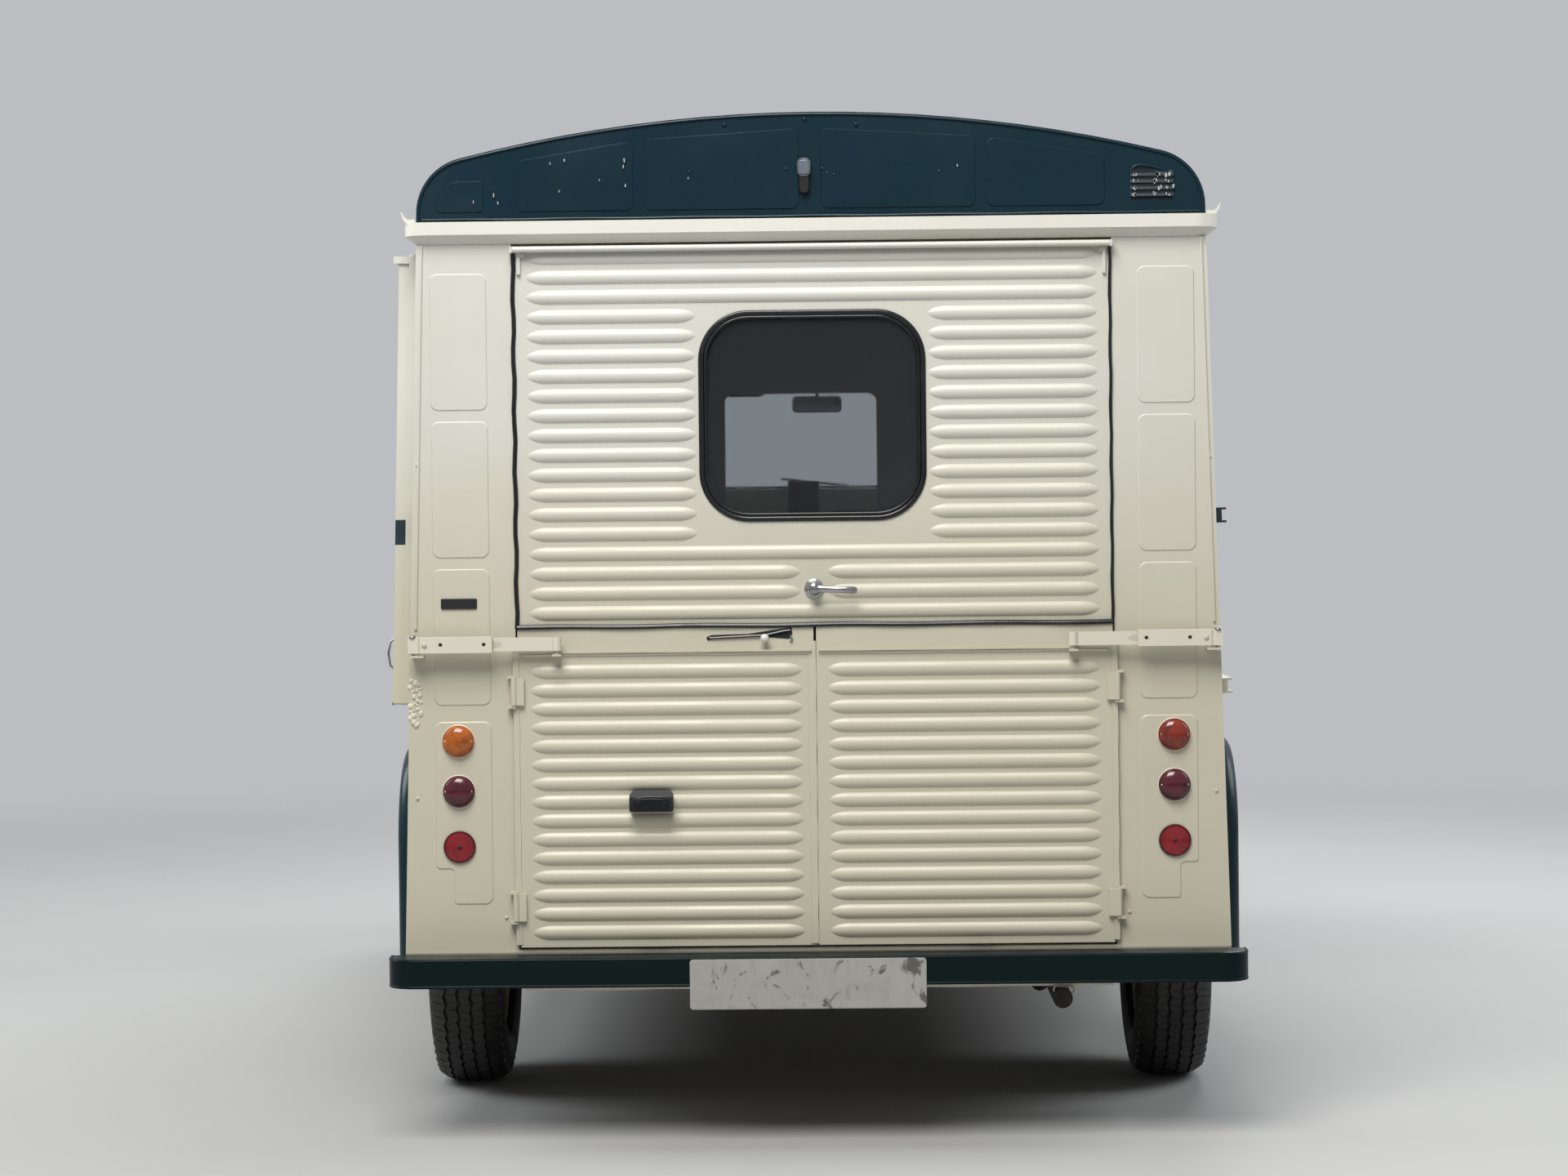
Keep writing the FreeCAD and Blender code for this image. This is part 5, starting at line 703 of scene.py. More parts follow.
def dome_head(radius: float, high: float) -> Form:
    """A domed rivet or screw head."""
    return turned(radius, ((1.0, -0.001), (1.0, high * 0.2), (0.85, high * 0.62), (0.5, high * 0.92),
                           (0.12, high)), 12)


def slotted_head(radius: float, high: float) -> Form:
    """A domed screw head with a slot across it."""
    head = dome_head(radius, high)
    bar = prism(rounded(radius * 1.7, radius * 0.28, radius * 0.12, 2), high * 0.9, high * 1.08)
    return head.add(bar)


def hex_head(radius: float, high: float) -> Form:
    """A hexagonal bolt head on its washer."""
    washer = turned(radius, ((1.35, -0.001), (1.35, high * 0.25), (0.9, high * 0.27)), 18)
    corners = [(radius * math.cos(math.radians(60 * step)), radius * math.sin(math.radians(60 * step)))
               for step in range(6)]
    return washer.add(prism(corners, high * 0.2, high))


def row_of(heads: Form, frames: Iterable[Matrix]) -> Form:
    """Copies of a form, one in each frame."""
    form = Form()
    for frame in frames:
        form.add(heads, frame)
    return form


# Sub-assemblies

@dataclass
class Bodywork:
    """The finishes of the CAD nodes that stay in view."""

    cream: tuple[str, ...] = ("rear_frame", "cab_front", "tailgate", "lower_door_left", "lower_door_right",
                              "side_door", "bonnet", "nose_shell", "hatch_frame")
    striped: tuple[str, ...] = ("wall_left", "wall_right", "hatch_flap", "cab_door_left", "cab_door_right")
    green: tuple[str, ...] = ("roof_shell", "front_wings", "rear_wheel_arches", "grille")
    steel: tuple[str, ...] = ("rear_axle", "front_axle", "knuckle_left", "knuckle_right", "engine_block",
                              "fuel_tank")
    # The rain gutter among these wears the paler cream as a painted highlight
    pale: tuple[str, ...] = ("stay_channel_left", "stay_channel_right", "stay_bar_left", "stay_bar_right",
                             "stay_brackets", "rain_gutter")
    panes: tuple[str, ...] = ("windscreen", "cab_glass_left", "cab_glass_right", "side_door_glass")
    black: tuple[str, ...] = ("plate_lamp", "interior_mirror", "steering_wheel", "dashboard")

    def rows(self) -> list[tuple[tuple[str, ...], Finish]]:
        """The finishes, each after the names of the nodes that wear it."""
        return [(self.cream, CREAM), (self.striped, CREAM_STRIPED), (self.green, GREEN), (self.steel, STEEL),
                # The bumpers wear the green darkened as painted shade
                (self.pale, PALE_AND_LIT), (("bumpers",), GREEN_SHADED), (("exhaust",), SOOTY),
                (("floor_pan",), UNDERFRAME), (("partition",), LINING), (("side_rails",), CREAM_RAILS),
                (("tailgate_handle", "headlamps"), BRIGHT), (self.panes, WINDOW),
                (("rear_window",), REAR_PANE), (("rear_window_seal",), SEAL), (("number_plates",), PLATE),
                (("rear_lamps", "turn_lamps"), AMBER), (("seats",), SEAT), (self.black, BLACK)]

    def dress(self, nodes: dict[str, bpy.types.Object]) -> None:
        """Give each CAD node its finish."""
        for names, finish in self.rows():
            for name in names:
                self.wear(nodes[name], finish)
        for name, node in nodes.items():
            if name.startswith("tyre_"):
                self.wear(node, TYRE)
            elif name.startswith("rim_"):
                self.wear(node, WHEEL)

    @staticmethod
    def wear(node: bpy.types.Object, finish: Finish) -> None:
        """Put one finish in all of a node's slots."""
        material = FINISHES.of(finish)
        if not node.material_slots:
            node.data.materials.append(material)
        for slot in node.material_slots:
            slot.material = material


@dataclass
class Tyre:
    """One tyre: its carcass with moulded rings, and rows of notched blocks between zig-zag grooves."""

    radius: float = 0.325
    deep: float = 0.0075
    seat: float = 0.2033
    bead: float = 0.0607
    around: int = 96
    pitches: int = 52
    zig: float = 0.0024
    # Half of the section: distance across from the middle, and depth below the tread's grooves
    section: Profile = ((0.0, 0.0), (0.030, 0.0), (0.060, 0.002), (0.078, 0.011), (0.0865, 0.028),
                        (0.0905, 0.045), (0.0925, 0.060), (0.0916, 0.0605), (0.0915, 0.066), (0.0900, 0.078),
                        (0.0860, 0.092), (0.0800, 0.101), (0.0790, 0.099), (0.0745, 0.1035), (0.0690, 0.1038))
    # Rows of blocks: near edge, far edge, and how far the cuts lean as a share of the pitch
    rows: tuple[Triple, ...] = ((-0.083, -0.0500, 0.10), (-0.0435, -0.0190, -0.16), (-0.0125, 0.0125, 0.14),
                                (0.0190, 0.0435, -0.16), (0.0500, 0.083, 0.10))
    # The two blocks of a pitch, as shares of it, each with the way its sides lean
    blocks: tuple[Triple, ...] = ((0.014, 0.486, 1.0), (0.514, 0.986, -1.0))
    crown_flat: float = 0.036
    crown_reach: float = 0.045
    crown_drop: float = 0.016

    def build(self, wheel: str, middle: Triple) -> None:
        """Make the tyre round a wheel.

        Args:
            wheel: The wheel's name, such as rear_left.
            middle: The wheel's middle.
        """
        body = "wheel_" + wheel
        tread = Form()
        for low, high, slant in self.rows:
            for pitch in range(self.pitches):
                self.pitch(tread, low, high, pitch / self.pitches, slant)
        tread.moved(Matrix.Translation(middle)).piece("tread_" + wheel, body, "tyre_rubber", TREAD, 34)
        turn = Matrix.Translation(middle) @ Matrix.Rotation(math.radians(90), 4, "Y")
        name = "tyre_%s_moulded" % wheel
        piece = self.carcass().moved(turn).piece(name, body, "tyre_rubber", TYRE, 34)
        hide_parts("tyre_" + wheel)

    def carcass(self) -> Form:
        """Make the turned carcass, its walls and their moulded rings."""
        base = self.radius - self.deep
        half = [(across, base - below) for across, below in self.section]
        half += [(self.bead + 0.002, self.seat + 0.0115), (self.bead, self.seat + 0.0100),
                 (self.bead, self.seat)]
        profile = [(radius, across) for across, radius in reversed(half)]
        profile += [(radius, -across) for across, radius in half[1:]]
        form = revolved(profile, self.around)
        form.faces = form.faces[:-2] + closing_faces(len(profile), self.around)
        return form

    def crown(self, across: float) -> float:
        """The tread's radius at a place across the tyre."""
        past = max(0.0, (abs(across) - self.crown_flat) / self.crown_reach)
        return self.radius - 0.0003 - self.crown_drop * past ** 2

    def pitch(self, form: Form, low: float, high: float, share: float, slant: float) -> None:
        """Add one pitch of a row: two blocks with zig-zag sides, and slanting cuts between them.

        Args:
            form: The tread.
            low: Its near edge across the tyre.
            high: Its far edge.
            share: Its place round the tyre, as a share of a turn.
            slant: How far the cuts lean, as a share of the pitch.
        """
        middle = (low + high) / 2
        for start, end, way in self.blocks:
            lean = self.zig * way
            corners = [(low - lean, start), (low + lean, end), (middle, end + slant / 2),
                       (high + lean, end + slant), (high - lean, start + slant), (middle, start + slant / 2)]
            points = []
            for drop, pull in ((self.deep + 0.002, 0.0), (0.0010, 0.0), (0.0, 0.0007)):
                for across, along in corners:
                    angle = 2 * math.pi * (share + along / self.pitches)
                    inward = pull if across < middle else -pull if across > middle else 0.0
                    radius = self.crown(across) - drop
                    points.append(Vector((across + inward, radius * math.cos(angle),
                                          radius * math.sin(angle))))
            form.add(Form(points, ring_faces(3, 6) + [tuple(range(12, 18))]))


@dataclass
class WheelTrim:
    """Hub cap, nuts and valve of a wheel."""

    cap: float = 0.078
    cap_profile: Profile = ((1.0, 0.033), (1.0, 0.036), (0.96, 0.041), (0.80, 0.050), (0.62, 0.0535),
                            (0.60, 0.062), (0.52, 0.0685), (0.30, 0.0715), (0.05, 0.0722))
    valve_profile: Profile = ((0.0045, 0.0), (0.0040, 0.022), (0.0050, 0.023), (0.0048, 0.036),
                              (0.003, 0.038))
    valve_spot: Triple = (0.158, 0, 0.008)
    nuts: int = 5
    circle: float = 0.100
    nut_out: float = 0.0225

    def build(self, wheel: str, middle: Triple, side: Side) -> None:
        """Make one wheel's trim.

        Args:
            wheel: The wheel's name.
            middle: Its middle.
            side: The side of the truck.
        """
        frame = facing(middle, (side.value, 0, 0))
        body = "wheel_" + wheel
        cap = turned(self.cap, self.cap_profile, 40).moved(frame)
        cap.piece("hub_cap_" + wheel, body, "wheel_paint", WHEEL)
        spots = []
        for nut in range(self.nuts):
            angle = 2 * math.pi * nut / self.nuts
            spots.append(frame @ Matrix.Translation((self.circle * math.cos(angle),
                                                     self.circle * math.sin(angle), self.nut_out)))
        row_of(hex_head(0.0098, 0.015), spots).piece("wheel_nuts_" + wheel, body, "steel", STEEL)
        valve = revolved(self.valve_profile, 12).moved(frame @ Matrix.Translation(self.valve_spot))
        valve.piece("valve_" + wheel, body, "rubber", SEAL)


@dataclass
class Wheels:
    """The tyres and the trim of the four wheels."""

    half_track: float = 0.857
    front: float = 1.370
    rear: float = -1.130
    axle_high: float = 0.325

    def build(self) -> None:
        """Make each wheel's tyre and trim."""
        for end, along in (("front", self.front), ("rear", self.rear)):
            for side in Side:
                wheel = "%s_%s" % (end, side.word)
                middle = (self.half_track * side.value, along, self.axle_high)
                Tyre().build(wheel, middle)
                WheelTrim().build(wheel, middle, side)


@dataclass
class RearLamps:
    """Amber lamps, red lamps and reflectors on the rear pillars."""

    across: float = 0.803
    radius: float = 0.0365
    face: float = REAR - 0.002
    turn_high: float = 0.898
    stop_high: float = 0.785
    reflector_high: float = 0.660
    proud: float = 0.022
    steps: int = 22
    ripple: float = 0.00035
    gasket: Profile = ((1.035, 0.0), (1.035, 0.0022), (0.99, 0.0032), (0.9, 0.0032))
    foot: Profile = ((0.985, 0.003), (0.985, 0.0058), (0.965, 0.0070), (0.9, 0.007))
    reflector_foot: Profile = ((1.0, 0.0005), (1.0, 0.004), (0.96, 0.006), (0.90, 0.006), (0.89, 0.0048))
    rings: int = 9

    def build(self) -> None:
        """Make the lamps and the reflector of each pillar."""
        for side in Side:
            amber = AMBER if side is Side.LEFT else AMBER_RED
            self.domed("turn_lamp_" + side.word, side, self.turn_high, amber)
            self.domed("stop_lamp_" + side.word, side, self.stop_high, DARK_RED)
            self.reflector(side)

    def frame(self, side: Side, high: float) -> Matrix:
        """The frame of a lamp on a pillar, facing rearwards."""
        return rearward(self.across * side.value, self.face, high)

    def domed(self, name: str, side: Side, high: float, finish: Finish) -> None:
        """Make a domed lamp with pressed rings.

        Args:
            name: Its name.
            side: The side of the truck.
            high: The height of its middle.
            finish: The lens's finish.
        """
        radius, frame = self.radius, self.frame(side, high)
        turned(radius, self.gasket, 40).moved(frame).piece(name + "_gasket", "root", "lamp_glass", PALE_AND_LIT)
        turned(radius, self.foot, 40).moved(frame).piece(name + "_foot", "root", "lamp_glass", finish)
        profile = [(radius * 0.93, 0.004)]
        for step in range(self.steps + 1):
            angle = math.pi / 2 * step / self.steps
            ring = self.ripple if step % 2 else 0.0
            profile.append((radius * 0.92 * math.cos(angle) ** 0.8 + 0.0004,
                            0.007 + (self.proud - 0.008) * math.sin(angle) ** 1.25 + ring))
        piece = revolved(profile, 48).moved(frame).piece(name, "root", "lamp_glass", finish, 60)
        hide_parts("rear_lamps")
        spots = [frame @ Matrix.Translation((radius * 0.80 * sign, 0, 0.0125)) for sign in (-1, 1)]
        row_of(slotted_head(0.0026, 0.0022), spots).piece(name + "_screws", "root", "bright_metal", BRIGHT)

    def reflector(self, side: Side) -> None:
        """Make the flat reflector, with its rings of prisms and its middle screw."""
        radius, frame, name = self.radius, self.frame(side, self.reflector_high), "reflector_" + side.word
        foot = turned(radius, self.reflector_foot, 40).moved(frame)
        foot.piece(name + "_foot", "root", "lamp_glass", DARK_RED)
        profile = [(radius * 0.89, 0.004)]
        for ring in range(self.rings):
            profile.append((radius * (0.87 - ring * 0.08), 0.0055 + (0.0005 if ring % 2 else 0.0)))
        revolved(profile, 44).moved(frame).piece(name, "root", "lamp_glass", BRIGHT_RED, 10)
        screw = slotted_head(0.0045, 0.0028).moved(frame @ Matrix.Translation((0, 0, 0.0055)))
        screw.piece(name + "_screw", "root", "bright_metal", BLACK)


@dataclass
class RearDoors:
    """Seals, folds, hinge rail, latch and handle of the tailgate and the lower doors."""

    half: float = 0.667
    gate_low: float = 1.153
    gate_face: float = REAR - 0.002
    leaf_low: float = 0.433
    leaf_face: float = REAR - 0.008
    seal_thick: Triple = (0.0052, 0.0036, 0.0056)
    fold_top: float = 1.112
    meeting_top: float = 1.116
    lip_high: float = 1.0905
    rail_high: float = 1.992
    latch_outline: Profile = ((-0.243, 1.126), (-0.232, 1.131), (-0.150, 1.133), (-0.093, 1.141),
                              (-0.052, 1.146), (-0.050, 1.132), (-0.058, 1.121), (-0.118, 1.126),
                              (-0.160, 1.127), (-0.226, 1.124), (-0.240, 1.118))
    # Places across, out from the face and up
    latch_lever: tuple[Triple, ...] = ((-0.236, 0.0022, 1.1245), (-0.160, 0.0030, 1.1275),
                                       (-0.110, 0.0034, 1.1300), (-0.070, 0.0030, 1.1385),
                                       (-0.055, 0.0022, 1.1405))
    latch_loop: tuple[Triple, ...] = ((-0.0545, 0.001, 1.128), (-0.0505, 0.005, 1.121),
                                      (-0.0545, 0.001, 1.114))
    knob: Profile = ((0.003, 0.0), (0.0035, 0.004), (0.0080, 0.006), (0.0098, 0.011), (0.0085, 0.016),
                     (0.0045, 0.0190), (0.001, 0.0195))
    handle_high: float = 1.233
    handle_base: Profile = ((0.022, 0.0), (0.022, 0.003), (0.0195, 0.005), (0.016, 0.0055), (0.0150, 0.009),
                            (0.0115, 0.012), (0.010, 0.026), (0.012, 0.030), (0.011, 0.038), (0.006, 0.041))
    # Sections of the handle's lever: place along it, distance out and half its height
    handle_lever: tuple[Triple, ...] = ((0.000, 0.034, 0.0085), (0.020, 0.036, 0.0080),
                                        (0.045, 0.037, 0.0072), (0.070, 0.0365, 0.0075),
                                        (0.090, 0.035, 0.0080), (0.096, 0.034, 0.0055))
    lever_half: float = 0.0045
    lever_droop: float = 0.045

    def build(self) -> None:
        """Make the doors' small pieces."""
        self.seals()
        self.folds()
        self.rail()
        self.latch()
        self.handle()

    def seals(self) -> None:
        """Make the black rubber lips that show at the tailgate's sides and foot."""
        out = self.gate_face - 0.001
        left, right, low = self.seal_thick
        for side, thick in ((Side.LEFT, left), (Side.RIGHT, right)):
            x = side.value * (self.half + 0.0010)
            path = [(x + thick * 0.30 * math.sin(step * 1.7), out - 0.001 * math.sin(step * 0.9),
                     self.gate_low - 0.003 + step * 0.035) for step in range(25)]
            tube(path, thick, 8).piece("tailgate_seal_" + side.word, "tailgate", "rubber", SEAL)
        path = [(-self.half + step * self.half / 16, out - 0.0062 - 0.0007 * math.sin(step * 1.3),
                 self.gate_low - 0.0006 + 0.0009 * math.sin(step * 0.8)) for step in range(33)]
        tube(path, low, 8).piece("tailgate_seal_low", "tailgate", "rubber", SEAL)

    def folds(self) -> None:
        """Make the folded strips at the lower doors' outer edges, upper lips and meeting edge."""
        face = self.leaf_face
        for side in Side:
            body = "lower_door_" + side.word
            strip = self.wavy_strip(0.014, self.leaf_low + 0.006, self.fold_top, 0.0016)
            x = self.half * side.value + 0.004 * side.value
            strip = strip.moved(Matrix.Translation((x, face - 0.0004, 0)))
            strip.piece("leaf_fold_" + side.word, body, "cream_paint", CREAM, 30)
            path = [(side.value * (0.010 + step * (self.half - 0.022) / 16), face - 0.0005,
                     self.lip_high + 0.0006 * math.sin(step * 1.1)) for step in range(17)]
            # The lips wear the paler cream as a painted highlight
            tube(path, 0.0034, 8).piece("leaf_lip_" + side.word, body, "cream_paint", PALE_AND_LIT)
        strip = self.wavy_strip(0.0175, self.leaf_low + 0.004, self.meeting_top, 0.0018)
        strip = strip.moved(Matrix.Translation((-0.0062, face - 0.0004, 0)))
        strip.piece("meeting_strip", "lower_door_left", "cream_paint", CREAM, 30)

    @staticmethod
    def wavy_strip(wide: float, low: float, high: float, thick: float) -> Form:
        """An upright strip of folded sheet with slightly uneven edges, facing rearwards.

        Args:
            wide: Its width.
            low: Its lower end.
            high: Its upper end.
            thick: How far it stands out.

        Returns:
            The form, with its back at Y zero and its middle at X zero.
        """
        rows, draw = 28, 0.0006
        points = []
        for row in range(rows + 1):
            z = low + (high - low) * row / rows
            left = -wide / 2 + 0.0007 * math.sin(row * 1.9)
            right = wide / 2 + 0.0006 * math.sin(row * 1.3 + 1)
            lift = thick + 0.0004 * math.sin(row * 0.9)
            points += [Vector((left, 0.0, z)), Vector((left + draw, -lift, z)),
                       Vector((right - draw, -lift, z)), Vector((right, 0.0, z))]
        ends = [(3, 2, 1, 0), tuple(rows * 4 + step for step in range(4))]
        return Form(points, ring_faces(rows + 1, 4) + ends)

    def rail(self) -> None:
        """Make the hinge rail's row of rivets and its folded ends."""
        spots = [rearward(-0.62 + step * 0.062, self.gate_face, self.rail_high) for step in range(21)]
        row_of(dome_head(0.0028, 0.0016), spots).piece("hinge_rivets", "tailgate", "cream_paint", CREAM)
        for side, tall, wide in ((Side.LEFT, 0.048, 0.009), (Side.RIGHT, 0.060, 0.008)):
            x = side.value * (self.half - 0.012)
            frame = rearward(x, self.gate_face - 0.0065, self.rail_high - 0.002 - tall / 2)
            tab = prism(rounded(wide, tall, 0.003, 3), -0.0065, 0.0015, 0.05)
            tab.add(prism(rounded(wide * 2.2, 0.010, 0.003, 3), -0.0065, 0.0022, 0.05),
                    Matrix.Translation((-side.value * wide * 0.5, tall * 0.42, 0)))
            tab.moved(frame).piece("hinge_end_" + side.word, "tailgate", "cream_paint", CREAM, 40, 0.0006)

    def latch(self) -> None:
        """Make the latch slot, a near-black sheet of painted shade, with its lever, white knob and eye on the
        left lower door.
        """
        face, body = self.leaf_face, "lower_door_left"
        slot = prism(self.latch_outline, 0.0002, 0.0009).moved(Matrix.Translation((0, face, 0)) @ UPRIGHT)
        slot.piece("latch_slot", body, "black_plastic", HOLLOW_SHADE)
        lever = tube([(x, face - out, z) for x, out, z in self.latch_lever], 0.0030, 8)
        lever.piece("latch_lever", body, "black_plastic", INK)
        knob = revolved(self.knob, 20).moved(rearward(-0.112, face - 0.004, 1.1235))
        knob.piece("latch_knob", body, "plate_white", WHITE)
        eye = tube([(x, face - out, z) for x, out, z in self.latch_loop], 0.0022, 8)
        eye.piece("latch_eye", body, "steel", DULL)

    def handle(self) -> None:
        """Make the bright turning handle with its stepped base."""
        middle, around = Vector((0, self.gate_face, self.handle_high)), 16
        form = revolved(self.handle_base, 40).moved(facing(middle, BACKWARDS))
        points = []
        for along, out, tall in self.handle_lever:
            for step in range(around):
                angle = 2 * math.pi * step / around
                points.append(middle + Vector((along, -out - math.cos(angle) * self.lever_half,
                                               -along * self.lever_droop + math.sin(angle) * tall)))
        rings = len(self.handle_lever)
        ends = [tuple(range(around)), tuple(range((rings - 1) * around, rings * around))]
        form.add(Form(points, ring_faces(rings, around) + ends))
        piece = form.piece("gate_handle", "tailgate", "bright_metal", BRIGHT)
        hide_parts("tailgate_handle")


@dataclass
class DoorStays:
    """Pin heads, rivets, holes, pressings and seams of the two folding door stays."""

    face: float = REAR - 0.0492
    bar_face: float = REAR - 0.0377
    high: float = 1.116
    pin: Triple = (0.899, REAR - 0.045, 1.134)
    rivet_across: float = 0.872
    holes_across: Pair = (0.836, 0.739)
    pressing_across: float = 0.7195
    pressing_outline: Profile = ((0.000, 0.0075), (0.012, 0.0065), (0.022, 0.0), (0.012, -0.0065),
                                 (0.000, -0.0075))
    seam_across: float = 0.8845
    seam_heights: tuple[float, ...] = (1.0985, 1.108, 1.120, 1.1335)

    def build(self) -> None:
        """Make each stay's small pieces."""
        for side in Side:
            sign, channel = side.value, "stay_channel_" + side.word
            x, y, z = self.pin
            pin = dome_head(0.0085, 0.005).moved(facing((x * sign, y, z), (0, 0, 1)))
            pin.piece("stay_pin_" + side.word, "root", "steel", DULL)
            rivet = dome_head(0.0062, 0.0032).moved(rearward(self.rivet_across * sign, self.face, self.high))
            rivet.piece("stay_rivet_" + side.word, channel, "cream_paint", CREAM)
            # The holes are near-black sheets of painted shade
            spots = [rearward(across * sign, self.face, self.high + 0.001) for across in self.holes_across]
            holes = row_of(prism(rounded(0.008, 0.007, 0.0025, 3), 0.0, 0.0004), spots)
            holes.piece("stay_holes_" + side.word, channel, "steel", HOLLOW_SHADE)
            place = (rearward(self.pressing_across * sign, self.bar_face, self.high)
                     @ Matrix.Scale(sign, 4, (1, 0, 0)) @ Matrix.Rotation(math.pi, 4, "Y"))
            pressing = prism(self.pressing_outline, 0.0, 0.0022, 0.25).moved(place)
            pressing.piece("stay_pressing_" + side.word, "stay_bar_" + side.word, "steel", CREAM)
            path = [(self.seam_across * sign, self.face - 0.0008, z) for z in self.seam_heights]
            seam = tube(path, 0.0011, 6)
            seam.piece("stay_seam_" + side.word, channel, "cream_paint", CREAM)


@dataclass
class PlateLamp:
    """The dark face, brow and screws of the number plate lamp."""

    middle: float = -0.36935
    low: float = 0.738
    out: float = -2.0548
    bottom: float = 0.0015
    top: float = 0.0300
    half: float = 0.0425
    shoulder: float = 0.007
    brow: Profile = ((-0.0455, 0.004), (-0.0450, 0.020), (-0.0400, 0.0285), (-0.020, 0.0330), (0.0, 0.0338),
                     (0.020, 0.0330), (0.0400, 0.0285), (0.0450, 0.020), (0.0455, 0.004))
    screws: Pair = (-0.030, 0.030)

    def build(self) -> None:
        """Make the lamp's face, brow and screws."""
        frame, body = rearward(self.middle, self.out, self.low), "lower_door_left"
        high = self.top - self.shoulder
        outline = [(-self.half, self.bottom), (self.half, self.bottom), (self.half * 0.94, high)]
        for step in range(9):
            angle = math.pi * step / 8
            outline.append((self.half * 0.90 * math.cos(angle), high + 0.0075 * math.sin(angle)))
        outline.append((-self.half * 0.94, high))
        face = prism(outline, 0.0, 0.0014, 0.02).moved(frame)
        face.piece("plate_lamp_face", body, "black_plastic", INK, 40, 0.0006)
        brow = tube([(x, z, 0.0008) for x, z in self.brow], 0.0019, 8).moved(frame)
        brow.piece("plate_lamp_brow", body, "black_plastic", BLACK)
        screws = row_of(slotted_head(0.0020, 0.0012),
                        [frame @ Matrix.Translation((x, 0.020, 0.0014)) for x in self.screws])
        screws.piece("plate_lamp_screws", body, "steel", BLACK)


@dataclass
class Plates:
    """Rims of the blank number plates."""

    wide: float = 0.520
    tall: float = 0.107
    bead: float = 0.0018
    rear: Triple = (-0.022, -2.1325, 0.3605)
    front: Triple = (0.0, 2.1325, 0.4005)

    def build(self) -> None:
        """Make the rolled rim round each plate's edge."""
        for name, middle, out in (("rear", self.rear, -1), ("front", self.front, 1)):
            rim = loop(rounded(self.wide + 0.001, self.tall + 0.001, 0.006), self.bead, 6)
            rim.moved(facing(middle, (0, out, 0))).piece("plate_rim_" + name, "root", "plate_white", PLATE)


@dataclass
class Headlamps:
    """Lenses and rims of the headlamps."""

    across: float = 0.560
    high: float = 1.0753
    front: float = 1.902
    radius: float = 0.095
    rim: Profile = ((0.86, 0.004), (0.88, 0.016), (0.95, 0.017), (0.995, 0.010), (0.995, -0.008),
                    (0.9, -0.010))
    rings: int = 9

    def build(self) -> None:
        """Make each headlamp's rim and lens."""
        for side in Side:
            frame = facing((self.across * side.value, self.front, self.high), (0, 1, 0))
            rim = turned(self.radius, self.rim, 48).moved(frame)
            rim.piece("headlamp_rim_" + side.word, "root", "bright_metal", BRIGHT)
            profile = [(0.85, 0.012)]
            for ring in range(self.rings):
                swell = 0.006 * math.sin(math.pi / 2 * (ring + 1) / self.rings)
                profile.append((0.84 - ring * 0.09, 0.014 + swell + (0.0006 if ring % 2 else 0.0)))
            lens = turned(self.radius, profile, 48).moved(frame)
            lens.piece("headlamp_lens_" + side.word, "root", "glass", CLEAR, 50)


